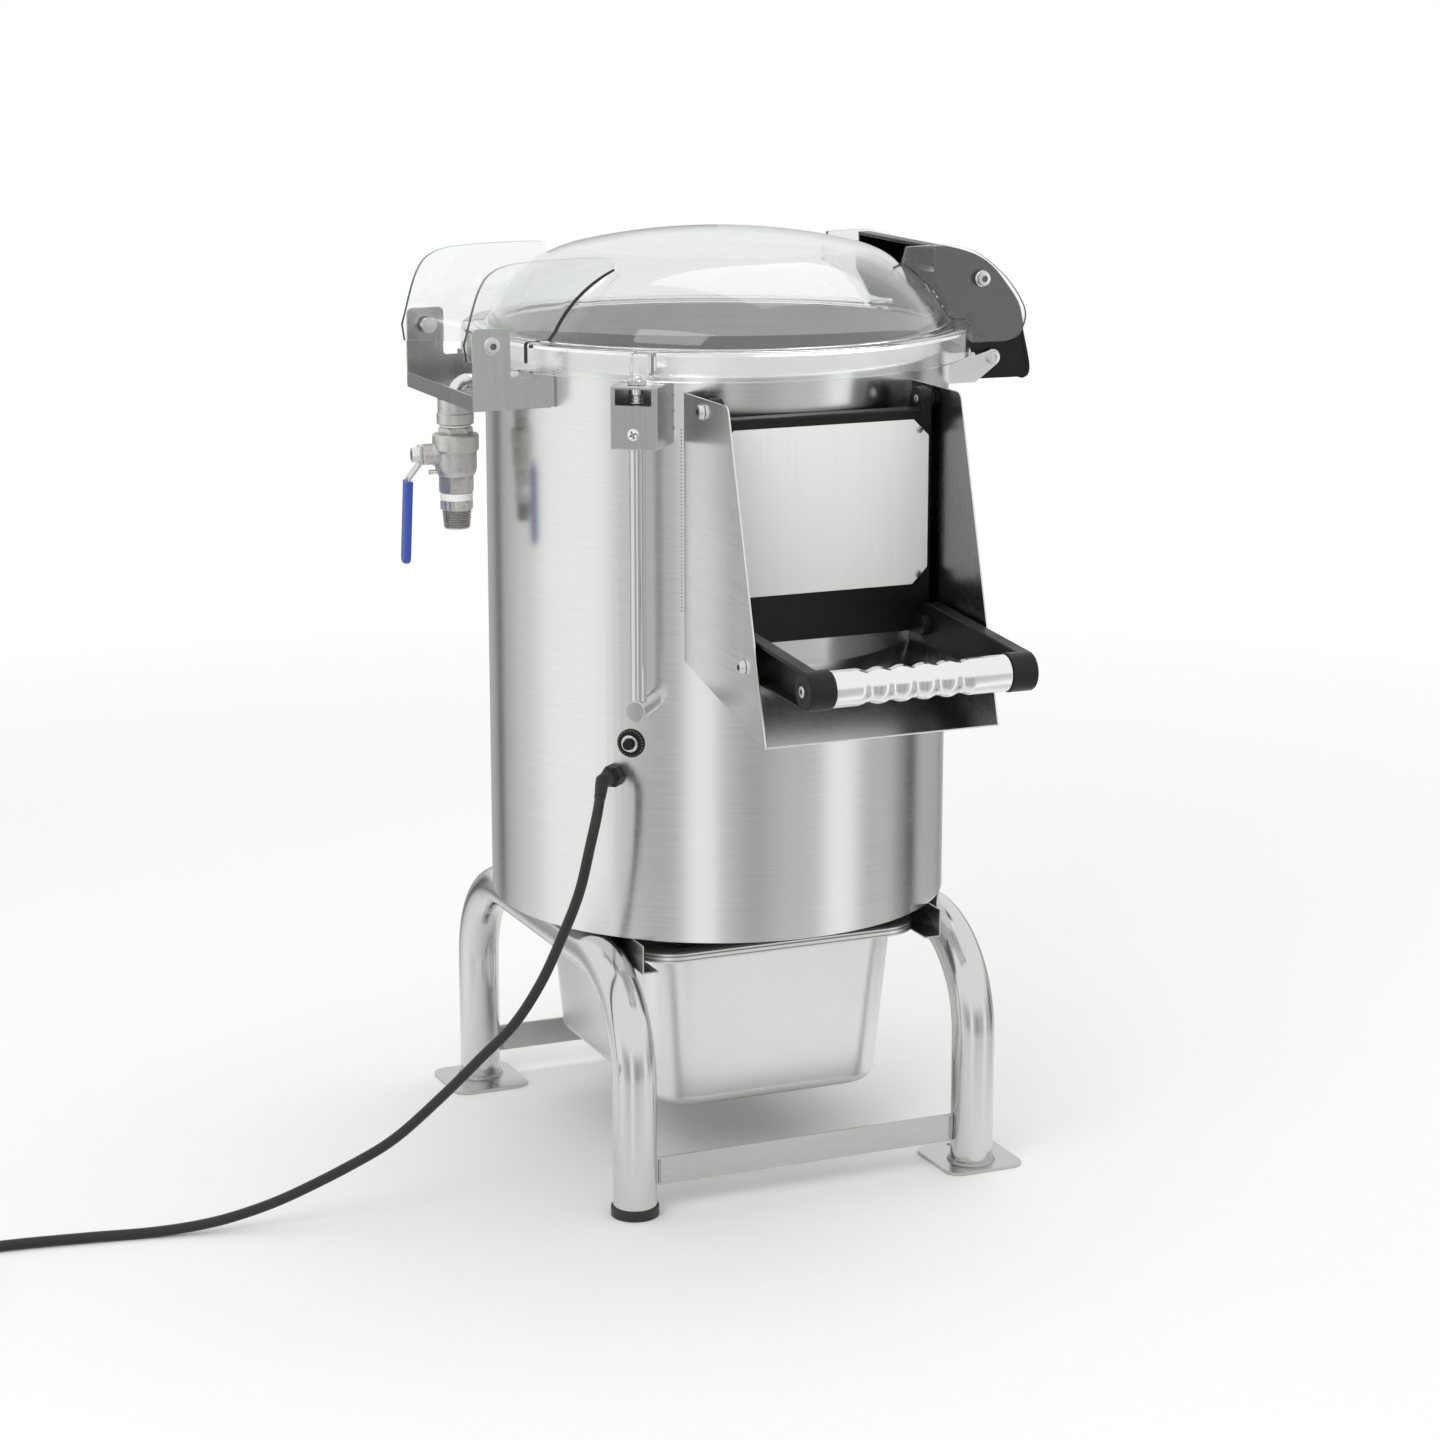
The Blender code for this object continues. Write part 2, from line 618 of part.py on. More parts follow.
def box(name, low, high):
    """A box between two corners."""
    low = Vector(low)
    high = Vector(high)
    shape = bmesh.new()
    bmesh.ops.create_cube(shape, size=1)
    bmesh.ops.scale(shape, vec=high - low, verts=shape.verts)
    thing = from_bmesh(name, shape)
    thing.location = (low + high) / 2
    return thing


AXIS_TURNS = {
    "X": (0, math.radians(90), 0),
    "Y": (math.radians(-90), 0, 0),
    "Z": (0, 0, 0),
}


def rod(name, radius, low, high, axis="Z", centre=(0, 0), sides=20):
    """A cylinder along one axis. The centre gives its other two coordinates."""
    shape = bmesh.new()
    bmesh.ops.create_cone(
        shape, cap_ends=True, segments=sides, radius1=radius,
        radius2=radius, depth=high - low,
    )
    thing = from_bmesh(name, shape, smooth=sides > 8)
    place = list(centre)
    place.insert("XYZ".index(axis), (low + high) / 2)
    thing.location = place
    thing.rotation_euler = AXIS_TURNS[axis]
    return thing


def ball(name, radius, centre):
    """A sphere."""
    shape = bmesh.new()
    bmesh.ops.create_uvsphere(shape, u_segments=14, v_segments=8, radius=radius)
    thing = from_bmesh(name, shape, smooth=True)
    thing.location = centre
    return thing


def turned(name, profile, steps=24, closed=False, axis="Z", location=(0, 0, 0)):
    """A turned solid. The profile of radius and height runs down its outer side."""
    mesh = bpy.data.meshes.new(name)
    count = len(profile)
    edges = [(i, (i + 1) % count) for i in range(count if closed else count - 1)]
    mesh.from_pydata([(radius, 0, height) for radius, height in profile], edges, [])
    thing = bpy.data.objects.new(name, mesh)
    PARTS.objects.link(thing)
    thing.location = location
    thing.rotation_euler = AXIS_TURNS[axis]
    screw = thing.modifiers.new("turn", "SCREW")
    screw.steps = steps
    screw.render_steps = steps
    screw.use_merge_vertices = True
    screw.merge_threshold = WELD
    screw.use_smooth_shade = True
    return thing


def ring(name, outer, inner, low, high, steps=24, centre=(0, 0)):
    """A plain ring or tube about an upright axis."""
    profile = ((outer, high), (outer, low), (inner, low), (inner, high))
    return turned(name, profile, steps, closed=True, location=(*centre, 0))


def arc(centre, radius, start, end, steps=8):
    """Points along an arc, with its angles in degrees."""
    points = []
    for i in range(steps + 1):
        angle = math.radians(start + (end - start) * i / steps)
        points.append((centre[0] + radius * math.cos(angle),
                       centre[1] + radius * math.sin(angle)))
    return points


def circle(centre, radius, steps=16):
    """Points round a whole circle."""
    return arc(centre, radius, 0, 360, steps)[:-1]


def rounded(corners, radius, steps=3):
    """An outline whose corners are rounded, by one radius or by one for each corner."""
    radii = radius if isinstance(radius, (list, tuple)) else [radius] * len(corners)
    points = []
    for i, corner in enumerate(corners):
        here = Vector(corner)
        before = Vector(corners[i - 1]) - here
        after = Vector(corners[(i + 1) % len(corners)]) - here
        if radii[i] <= 0:
            points.append(tuple(here))
            continue
        half = before.angle(after) / 2
        reach = min(radii[i] / math.tan(half), before.length / 2, after.length / 2)
        fillet = reach * math.tan(half)
        middle = here + (before.normalized() + after.normalized()).normalized() * (
            fillet / math.sin(half))
        first = here + before.normalized() * reach - middle
        last = here + after.normalized() * reach - middle
        sweep = first.angle_signed(last)
        for k in range(steps + 1):
            spoke = first.copy()
            spoke.rotate(Matrix.Rotation(-sweep * k / steps, 2))
            points.append(tuple(middle + spoke))
    return points


def link(first, first_radius, second, second_radius, steps=8):
    """The outline round two circles, as a belt runs."""
    a = Vector(first)
    b = Vector(second)
    heading = math.degrees(math.atan2(b.y - a.y, b.x - a.x))
    spread = math.degrees(math.acos((first_radius - second_radius) / (b - a).length))
    return (arc(b, second_radius, heading - spread, heading + spread, steps)
            + arc(a, first_radius, heading + spread, heading + 360 - spread, steps))


def strip(path, thickness):
    """The outline of a bent strip that follows a path, with mitred corners."""
    left = []
    right = []
    for i, point in enumerate(path):
        here = Vector(point)
        before = (here - Vector(path[i - 1])).normalized() if i else None
        after = (Vector(path[i + 1]) - here).normalized() if i + 1 < len(path) else None
        before = before or after
        after = after or before
        normal = Vector((-(before + after).y, (before + after).x)).normalized()
        across = normal * (thickness / 2 / normal.dot(Vector((-before.y, before.x))))
        left.append(tuple(here + across))
        right.append(tuple(here - across))
    return left + right[::-1]


def curve_object(name, curve):
    """Link a curve as an object."""
    thing = bpy.data.objects.new(name, curve)
    PARTS.objects.link(thing)
    return thing


PLANE_TURNS = {
    "XY": (0, 0, 0),
    "XZ": (math.radians(90), 0, 0),
    "YZ": (math.radians(90), 0, math.radians(90)),
}
PLANE_NORMALS = {"XY": (0, 0, 1), "XZ": (0, 1, 0), "YZ": (1, 0, 0)}


def plate(name, outline, thickness, plane, offset, holes=(), solid=True):
    """A flat plate: a filled 2D curve, extruded, with its middle at an offset from the plane."""
    curve = bpy.data.curves.new(name, "CURVE")
    curve.dimensions = "2D"
    curve.fill_mode = "BOTH"
    curve.extrude = thickness / 2
    for loop in (outline, *holes):
        spline = curve.splines.new("POLY")
        spline.points.add(len(loop) - 1)
        for point, (u, v) in zip(spline.points, loop):
            point.co = (u, v, 0, 1)
        spline.use_cyclic_u = True
    thing = curve_object(name, curve)
    thing.rotation_euler = PLANE_TURNS[plane]
    thing.location = Vector(PLANE_NORMALS[plane]) * offset
    return to_mesh(thing) if solid else thing


def tube(name, points, radius, resolution=4, solid=False):
    """A round tube along points, with filled ends."""
    curve = bpy.data.curves.new(name, "CURVE")
    curve.dimensions = "3D"
    curve.bevel_depth = radius
    curve.bevel_resolution = resolution
    curve.use_fill_caps = True
    spline = curve.splines.new("POLY")
    spline.points.add(len(points) - 1)
    for point, place in zip(spline.points, points):
        point.co = (*place, 1)
    thing = curve_object(name, curve)
    return to_mesh(thing) if solid else thing


def to_mesh(thing):
    """Turn a curve object into a mesh object with its caps welded on."""
    name = thing.name
    bpy.context.view_layer.update()
    depsgraph = bpy.context.evaluated_depsgraph_get()
    mesh = bpy.data.meshes.new_from_object(thing.evaluated_get(depsgraph))
    shape = bmesh.new()
    shape.from_mesh(mesh)
    bmesh.ops.remove_doubles(shape, verts=shape.verts, dist=WELD)
    shape.to_mesh(mesh)
    shape.free()
    mesh.set_sharp_from_angle(angle=math.radians(30))
    solid = bpy.data.objects.new(name, mesh)
    solid.matrix_world = thing.matrix_world
    bpy.data.objects.remove(thing, do_unlink=True)
    solid.name = name
    PARTS.objects.link(solid)
    return solid


def smooth(points, step):
    """Points read at even steps from a smooth curve through a route's own points."""
    route = [Vector(point) for point in points]
    route = [route[0] * 2 - route[1], *route, route[-1] * 2 - route[-2]]
    fine = []
    for i in range(1, len(route) - 2):
        for k in range(20):
            fine.append(catmull(route[i - 1:i + 3], k / 20))
    fine.append(route[-2])
    total = sum((b - a).length for a, b in zip(fine, fine[1:]))
    count = max(2, round(total / step))
    result = [fine[0]]
    walked = 0.0
    for a, b in zip(fine, fine[1:]):
        length = (b - a).length
        while len(result) < count and walked + length >= total * len(result) / count:
            share = (total * len(result) / count - walked) / length
            result.append(a.lerp(b, share))
        walked += length
    return [tuple(point) for point in result] + [tuple(fine[-1])]


def catmull(four, share):
    """A point on the Catmull-Rom curve between the middle two of four points."""
    a, b, c, d = four
    return ((b * 2) + (c - a) * share + (a * 2 - b * 5 + c * 4 - d) * share ** 2
            + (b * 3 - a - c * 3 + d) * share ** 3) / 2


def drum_cutter(root):
    """A full drum with its clearance, to shape whatever sits against the drum."""
    profile = (
        (0, DRUM_TOP + OVERRUN), (DRUM_RADIUS + GAP, DRUM_TOP + OVERRUN),
        (DRUM_RADIUS + GAP, DRUM_BOTTOM - OVERRUN), (0, DRUM_BOTTOM - OVERRUN),
    )
    return carry(guide(turned("drum_clearance", profile, DRUM_SIDES)), root)


def outlet_cutter(root):
    """The opening through the drum and its liner, behind the door."""
    cutter = box(
        "outlet_cutter",
        (-OUTLET_HALF_WIDTH, -DRUM_RADIUS - OVERRUN, OUTLET_LOW),
        (OUTLET_HALF_WIDTH, -DRUM_RADIUS / 2, OUTLET_HIGH),
    )
    return carry(guide(cutter), root)


def make_frame(root, looks):
    """Two bent leg tubes, their feet, two stretchers and the pan's rails."""
    top = DRUM_BOTTOM - GAP - TUBE_RADIUS
    low = FOOT_PLATE_THICKNESS + GAP
    inner_radius = TUBE_RADIUS - TUBE_WALL
    for side, name in ((-1, "left"), (1, "right")):
        x = side * LEG_X
        bends = (arc((-LEG_Y + LEG_BEND, top - LEG_BEND), LEG_BEND, 180, 90, 6)
                 + arc((LEG_Y - LEG_BEND, top - LEG_BEND), LEG_BEND, 90, 0, 6))
        middle = [(x, y, z) for y, z in bends]
        outer = [(x, -LEG_Y, low), *middle, (x, LEG_Y, low)]
        hollow = [(x, -LEG_Y, low - OVERRUN), *middle, (x, LEG_Y, low - OVERRUN)]
        leg = keep(tube("frame_tube_" + name, outer, TUBE_RADIUS, 4, solid=True),
                   looks["tube"], root)
        cut(leg, tube(name + "_tube_bore", hollow, inner_radius, 2, solid=True))
        rail_face = side * (LEG_X - TUBE_RADIUS - GAP)
        web = rail_face - side * RAIL_THICKNESS / 2
        ledge_z = DRUM_BOTTOM - RAIL_DROP - RAIL_THICKNESS / 2
        section = strip(
            ((web, DRUM_BOTTOM - GAP), (web, ledge_z), (rail_face - side * RAIL_LEDGE, ledge_z)),
            RAIL_THICKNESS,
        )
        keep(plate("pan_rail_" + name, section, RAIL_HALF_LENGTH * 2, "XZ", 0),
             looks["steel"], root)
    reach = LEG_X - TUBE_RADIUS - GAP
    for side, name in ((-1, "front"), (1, "rear")):
        y = side * LEG_Y
        bar = box(
            name + "_stretcher",
            (-reach, y - STRETCHER_THICKNESS / 2, STRETCHER_LOW),
            (reach, y + STRETCHER_THICKNESS / 2, STRETCHER_LOW + STRETCHER_HEIGHT),
        )
        keep(bar, looks["steel"], root)
        make_foot_plate(root, looks, name, -side * LEG_X, y)
        make_foot_cap(root, looks, name, side * LEG_X, y)


def make_foot_plate(root, looks, name, x, y):
    """A flat foot that can be bolted down, under one leg."""
    out = math.copysign(1, x)
    back = -math.copysign(1, y)
    middle_x = x + out * FOOT_PLATE_SIDE_SHIFT
    middle_y = y + back * FOOT_PLATE_BACK_SHIFT
    half_x = FOOT_PLATE_WIDTH / 2
    half_y = FOOT_PLATE_LENGTH / 2
    corners = (
        (middle_x - half_x, middle_y - half_y), (middle_x + half_x, middle_y - half_y),
        (middle_x + half_x, middle_y + half_y), (middle_x - half_x, middle_y + half_y),
    )
    hole_y = middle_y + back * (half_y - FOOT_BOLT_SETBACK)
    outline = rounded(corners, FOOT_PLATE_CORNER)
    hole = circle((x, hole_y), FOOT_BOLT_HOLE_RADIUS, 10)
    foot = plate("foot_plate_" + name, outline, FOOT_PLATE_THICKNESS, "XY",
                 FOOT_PLATE_THICKNESS / 2, holes=[hole])
    keep(foot, looks["steel"], root)


def make_foot_cap(root, looks, name, x, y):
    """A rubber cap over a leg's end."""
    inner = TUBE_RADIUS + GAP
    profile = (
        (0, FOOT_PLATE_THICKNESS), (inner, FOOT_PLATE_THICKNESS), (inner, FOOT_CAP_HEIGHT),
        (inner + FOOT_CAP_WALL, FOOT_CAP_HEIGHT), (inner + FOOT_CAP_WALL, 0), (0, 0),
    )
    keep(turned("foot_cap_" + name, profile, 24, location=(x, y, 0)), looks["rubber"], root)


def make_pan(root, looks):
    """The deep drawn pan that slides out on its rails."""
    holder = empty("pan_slide", root)
    rim_z = DRUM_BOTTOM - RAIL_DROP + GAP + PAN_LIP
    half_width = LEG_X - TUBE_RADIUS - RAIL_THICKNESS - PAN_RIM_CLEARANCE - PAN_RIM_WIDTH
    half_length = PAN_RIM_HALF_LENGTH - PAN_RIM_LENGTH
    shape = bmesh.new()
    bmesh.ops.create_cube(shape, size=1)
    size = (half_width * 2, half_length * 2, PAN_DEPTH)
    bmesh.ops.scale(shape, vec=size, verts=shape.verts)
    draw = math.tan(math.radians(PAN_TAPER_DEG)) * PAN_DEPTH
    for vert in shape.verts:
        if vert.co.z < 0:
            vert.co.x -= math.copysign(draw, vert.co.x)
            vert.co.y -= math.copysign(draw, vert.co.y)
    upright = [e for e in shape.edges if abs(e.verts[0].co.z - e.verts[1].co.z) > PAN_DEPTH / 2]
    bmesh.ops.bevel(shape, geom=upright, offset=PAN_CORNER, segments=4, profile=0.5,
                    affect="EDGES")
    foot = [e for e in shape.edges if all(v.co.z < 0 for v in e.verts)]
    bmesh.ops.bevel(shape, geom=foot, offset=PAN_FOOT_CORNER, segments=2, profile=0.5,
                    affect="EDGES")
    lid_faces = [f for f in shape.faces if f.normal.z > 1 / 2]
    bmesh.ops.delete(shape, geom=lid_faces, context="FACES")
    edge = [e for e in shape.edges if e.is_boundary]
    flare = bmesh.ops.extrude_edge_only(shape, edges=edge)["geom"]
    for vert in [g for g in flare if isinstance(g, bmesh.types.BMVert)]:
        vert.co.x += math.copysign(PAN_RIM_WIDTH, vert.co.x)
        vert.co.y += math.copysign(PAN_RIM_LENGTH, vert.co.y)
    edge = [g for g in flare if isinstance(g, bmesh.types.BMEdge) and g.is_boundary]
    lip = bmesh.ops.extrude_edge_only(shape, edges=edge)["geom"]
    for vert in [g for g in lip if isinstance(g, bmesh.types.BMVert)]:
        vert.co.z -= PAN_LIP
    bmesh.ops.recalc_face_normals(shape, faces=shape.faces)
    pan = from_bmesh("drain_pan", shape, smooth=True)
    pan.location = (0, PAN_Y, rim_z - PAN_DEPTH / 2)
    shell = pan.modifiers.new("sheet", "SOLIDIFY")
    shell.thickness = PAN_SHEET
    shell.offset = -1
    shell.use_even_offset = True
    keep(pan, looks["pan"], holder)


def make_drum(root, looks, outlet):
    """The drum's shell, its base, its abrasive liner and the floor with the drain spout."""
    shell = ring("drum_shell", DRUM_RADIUS, DRUM_RADIUS - DRUM_WALL, DRUM_BOTTOM, DRUM_TOP,
                 DRUM_SIDES)
    keep(shell, looks["steel"], root)
    cut(shell, outlet)
    cut(shell, rod("nozzle_hole", NOZZLE_RADIUS + GAP, -DRUM_RADIUS - OVERRUN,
                   -DRUM_RADIUS + OVERRUN, "X", (0, NOZZLE_Z), 12))
    for name, turn, z, radius in (
        ("breaker_hole", BREAKER_TURN_DEG, BREAKER_Z, BREAKER_BARREL_RADIUS + GAP),
        ("gland_hole", GLAND_TURN_DEG, GLAND_Z, GLAND_BARREL_RADIUS + GAP),
    ):
        holder = empty(name + "_turn", root, (0, 0, 0), turn)
        hole = rod(name, radius, -DRUM_RADIUS - OVERRUN, -DRUM_RADIUS + OVERRUN, "Y", (0, z), 12)
        cut(shell, carry(guide(hole), holder))
    inside = DRUM_RADIUS - DRUM_WALL - GAP
    spout_hole = circle((0, SPOUT_Y), SPOUT_RADIUS + GAP, 24)
    base = plate("base_plate", circle((0, 0), inside, DRUM_SIDES), BASE_THICKNESS, "XY",
                 DRUM_BOTTOM + BASE_THICKNESS / 2, holes=[spout_hole])
    keep(base, looks["steel"], root)
    liner = ring("abrasive_liner", inside, inside - LINER_THICKNESS, LINER_LOW, LINER_HIGH,
                 LINER_SIDES)
    keep(liner, looks["grit"], root)
    cut(liner, outlet)
    shaft_hole = circle((0, 0), HOUSING_NECK_RADIUS + GAP, 24)
    floor = plate("inner_floor", circle((0, 0), inside, DRUM_SIDES), FLOOR_THICKNESS, "XY",
                  FLOOR_Z + FLOOR_THICKNESS / 2, holes=[shaft_hole])
    keep(floor, looks["steel"], root)
    join(floor, rod("spout", SPOUT_RADIUS, DRUM_BOTTOM - SPOUT_DROP, FLOOR_Z + FLOOR_THICKNESS / 2,
                    centre=(0, SPOUT_Y)))
    cut(floor, rod("spout_bore", SPOUT_RADIUS - SPOUT_WALL, DRUM_BOTTOM - SPOUT_DROP - OVERRUN,
                   FLOOR_Z + FLOOR_THICKNESS + OVERRUN, centre=(0, SPOUT_Y)))


def pulley(name, radius, inner, low=None, location=(0, 0, 0)):
    """A grooved pulley with a bore, or with a shaft below it down to a height."""
    top = PULLEY_Z + PULLEY_WIDTH / 2
    bottom = PULLEY_Z - PULLEY_WIDTH / 2
    groove = radius - GROOVE_DEPTH
    rim = [
        (radius, top), (radius, PULLEY_Z + GROOVE_MOUTH / 2), (groove, PULLEY_Z + GROOVE_FLOOR / 2),
        (groove, PULLEY_Z - GROOVE_FLOOR / 2), (radius, PULLEY_Z - GROOVE_MOUTH / 2),
        (radius, bottom), (inner, bottom),
    ]
    if low is None:
        return turned(name, [*rim, (inner, top)], closed=True, location=location)
    return turned(name, [(0, top), *rim, (inner, low), (0, low)], 20, location=location)


def make_drive(root, looks):
    """Motor, belt, pulleys, shaft, bearing housing and the abrasive disc."""
    disc_axis = empty("disc_axis", root)
    motor_axis = empty("motor_axis", root, (MOTOR_X, 0, 0))
    running = SHAFT_RADIUS + GAP
    under = FLOOR_Z - GAP
    neck_top = FLOOR_Z + FLOOR_THICKNESS + HOUSING_NECK
    flange_low = under - HOUSING_FLANGE
    housing = (
        (HOUSING_NECK_RADIUS, neck_top), (HOUSING_NECK_RADIUS, under),
        (HOUSING_FLANGE_RADIUS, under), (HOUSING_FLANGE_RADIUS, flange_low),
        (HOUSING_BODY_RADIUS, flange_low), (HOUSING_BODY_RADIUS, flange_low - HOUSING_BODY),
        (running, flange_low - HOUSING_BODY), (running, neck_top),
    )
    keep(turned("bearing_housing", housing, closed=True), looks["iron"], root)
    pulley_low = PULLEY_Z - PULLEY_WIDTH / 2
    shaft_top = DISC_LOW + DISC_THICKNESS
    keep(rod("drive_shaft", SHAFT_RADIUS, pulley_low - HOUSING_NECK, shaft_top),
         looks["zinc"], disc_axis)
    keep(pulley("driven_pulley", DRIVEN_PULLEY_RADIUS, running), looks["iron"], disc_axis)
    keep(pulley("motor_pulley", MOTOR_PULLEY_RADIUS, MOTOR_SHAFT_RADIUS,
                MOTOR_TOP - MOTOR_SHAFT_DEPTH + GAP, (MOTOR_X, 0, 0)), looks["iron"], motor_axis)
    disc_top = DISC_LOW + DISC_THICKNESS
    disc = turned("abrasive_disc", (
        (0, disc_top + DISC_BOSS_RISE), (DISC_BOSS_RADIUS / 2, disc_top + DISC_BOSS_RISE),
        (DISC_BOSS_RADIUS, disc_top), (DISC_RADIUS - DISC_EDGE, disc_top),
        (DISC_RADIUS, disc_top - DISC_EDGE), (DISC_RADIUS, DISC_LOW), (DISC_BOSS_RADIUS, DISC_LOW),
        (DISC_BOSS_RADIUS, DISC_LOW - DISC_HUB_DROP + GAP), (running, DISC_LOW - DISC_HUB_DROP + GAP),
        (running, shaft_top + GAP), (0, shaft_top + GAP),
    ), 36)
    keep(disc, looks["grit"], disc_axis)
    for i in range(DISC_HUMPS):
        hump = rod("disc_hump_" + str(i), DISC_HUMP_RADIUS, DISC_HUMP_START,
                   DISC_RADIUS - DISC_HUMP_SETBACK, "X",
                   (0, disc_top - DISC_HUMP_RADIUS / 2), 10)
        turn = empty("disc_hump_turn_" + str(i), disc_axis, (0, 0, 0), 360 * i / DISC_HUMPS)
        join(disc, carry(guide(hump), turn, machine_frame=False))
    first = (0, 0)
    second = (MOTOR_X, 0)
    inner = link(first, DRIVEN_PULLEY_RADIUS - GROOVE_DEPTH + GAP * 2,
                 second, MOTOR_PULLEY_RADIUS - GROOVE_DEPTH + GAP * 2, 16)
    outer = link(first, DRIVEN_PULLEY_RADIUS - GROOVE_DEPTH + BELT_DEPTH,
                 second, MOTOR_PULLEY_RADIUS - GROOVE_DEPTH + BELT_DEPTH, 16)
    belt = plate("drive_belt", outer, GROOVE_FLOOR - GAP * 2, "XY", PULLEY_Z, holes=[inner])
    keep(belt, looks["rubber"], root)
    plate_low = DRUM_BOTTOM + BASE_THICKNESS + GAP
    plate_top = plate_low + MOTOR_PLATE_THICKNESS
    half = MOTOR_RADIUS + MOTOR_PLATE_BORDER
    keep(box("motor_plate", (MOTOR_X - half, -half, plate_low),
             (MOTOR_X + half, half, plate_top)), looks["steel"], root)
    bore = MOTOR_SHAFT_RADIUS + GAP
    bore_low = MOTOR_TOP - MOTOR_SHAFT_DEPTH
    motor_low = plate_top + GAP
    motor = turned("motor", (
        (0, bore_low), (bore, bore_low), (bore, MOTOR_TOP), (MOTOR_BELL_RADIUS, MOTOR_TOP),
        (MOTOR_RADIUS, MOTOR_TOP - MOTOR_BELL), (MOTOR_RADIUS, motor_low + MOTOR_BELL),
        (MOTOR_BELL_RADIUS, motor_low), (0, motor_low),
    ), 20, location=(MOTOR_X, 0, 0))
    keep(motor, looks["iron"], root)


def dome(offset=0.0, crown_steps=2, shoulder_steps=3):
    """The dome's side view from its axis to its foot, moved inwards by an offset."""
    side = math.radians(LID_SIDE_DEG)
    across = LID_SIDE_LENGTH * math.cos(side) + LID_SHOULDER_RADIUS * math.sin(side)
    rise = LID_SIDE_LENGTH * math.sin(side) - LID_SHOULDER_RADIUS * math.cos(side)
    centre = (LID_FOOT_RADIUS - across, LID_FLANGE_TOP + rise)
    reach = LID_CROWN_RADIUS - LID_SHOULDER_RADIUS
    lean = math.degrees(math.asin(centre[0] / reach))
    crown_z = centre[1] - reach * math.cos(math.radians(lean))
    crown = LID_CROWN_RADIUS - offset
    points = arc((0, crown_z), crown, 90, 90 - lean, crown_steps)
    points += arc(centre, LID_SHOULDER_RADIUS - offset, 90 - lean, 90 - LID_SIDE_DEG,
                  shoulder_steps)[1:]
    foot_z = LID_FLANGE_TOP - offset
    drop = points[-1][1] - foot_z
    points.append((points[-1][0] + drop / math.tan(side), foot_z))
    points[0] = (0, points[0][1])
    return points


def lid_profile():
    """The lid's closed section, down its outside and back up its inside."""
    outer = dome(0, 3, 5)
    corner = arc((LID_SKIRT_RADIUS - LID_SKIRT_CORNER, LID_FLANGE_TOP - LID_SKIRT_CORNER),
                 LID_SKIRT_CORNER, 90, 0, 2)
    inner_skirt = LID_SKIRT_RADIUS - LID_WALL
    skirt = [(LID_SKIRT_RADIUS, LID_SKIRT_LOW), (inner_skirt, LID_SKIRT_LOW),
             (inner_skirt, LID_FLANGE_TOP - LID_WALL)]
    return outer + corner + skirt + dome(LID_WALL)[::-1]


def wing_outline(shares, side, reach):
    """A wing's points in the lid's upright plane."""
    return [(side * reach * across, LID_FLANGE_TOP + WING_RISE * up) for across, up in shares]


def make_lid(root, hinge, looks):
    """The clear lid with its four wings and the lug that presses the switch, and its seal."""
    lid = keep(turned("lid", lid_profile(), LID_SIDES), looks["clear"], hinge)
    core_profile = [*dome(LID_WALL / 2), (0, LID_FLANGE_TOP - LID_WALL)]
    core = carry(guide(turned("lid_core", core_profile, LID_SIDES)), hinge)
    flange_z = LID_FLANGE_TOP - LID_WALL / 2
    middle = WING_INSIDE + WING_THICKNESS / 2
    skirt_x = math.sqrt((LID_SKIRT_RADIUS - LID_WALL / 2) ** 2 - middle ** 2)
    crown_x = LID_FOOT_RADIUS * WING_ROOT_SHARE
    foot_x = LID_FOOT_RADIUS * WING_STEP_SHARE
    flange_x = skirt_x - LID_WALL * 2
    hinge_foot = LID_FLANGE_TOP + WING_RISE * HINGE_WING_FOOT_SHARE
    left = wing_outline(HINGE_WING_SHARES, -1, HINGE_WING_REACH)
    left += [(-crown_x, LID_FLANGE_TOP), (-foot_x, flange_z), (-flange_x, flange_z),
             (-skirt_x, flange_z), (-skirt_x, hinge_foot)]
    right = wing_outline(LATCH_WING_SHARES, 1, LATCH_WING_REACH)
    right[0] = (skirt_x, right[0][1])
    right += [(crown_x, LID_FLANGE_TOP), (foot_x, flange_z), (flange_x, flange_z),
              (skirt_x, flange_z)]
    bolt_hole = circle((HINGE_X, HINGE_Z), HINGE_BOLT_RADIUS + GAP, 12)
    pin_hole = circle((LATCH_X, LATCH_Z), LATCH_PIN_RADIUS + GAP, 12)
    for side, name in ((-1, "front"), (1, "rear")):
        for end, outline, hole in (("hinge", left, bolt_hole), ("latch", right, pin_hole)):
            wing = plate(end + "_wing_" + name, outline, WING_THICKNESS, "XZ", side * middle,
                         holes=[hole])
            carry(guide(wing), hinge)
            cut(wing, core)
            join(lid, wing)
    turn = empty("lid_boss_turn", hinge, -hinge.location, SWITCH_TURN_DEG)
    boss = box("lid_boss", (LID_BOSS_LEFT, -LID_BOSS_REACH, LID_BOSS_LOW),
               (LID_BOSS_RIGHT, -LID_SKIRT_RADIUS + LID_WALL / 2, LID_BOSS_TOP))
    join(lid, carry(guide(boss), turn, machine_frame=False))
    seal_outer = DRUM_RADIUS + SEAL_WIDTH - SEAL_OVERHANG
    seal = ring("lid_seal", seal_outer, seal_outer - SEAL_WIDTH, DRUM_TOP + GAP,
                LID_FLANGE_TOP - LID_WALL - GAP, LID_SIDES)
    keep(seal, looks["rubber"], hinge)
    grip = WING_INSIDE + WING_THICKNESS + GAP
    pin = rod("latch_pin", LATCH_PIN_RADIUS, -grip - GAP, grip + GAP, "Y", (LATCH_X, LATCH_Z), 12)
    keep(pin, looks["zinc"], hinge)
    for side, name in ((-1, "front"), (1, "rear")):
        ends = sorted((side * grip, side * (grip + LATCH_PIN_HEAD)))
        join(pin, rod("latch_pin_head_" + name, LATCH_PIN_HEAD_RADIUS, *ends, "Y",
                      (LATCH_X, LATCH_Z), 12))


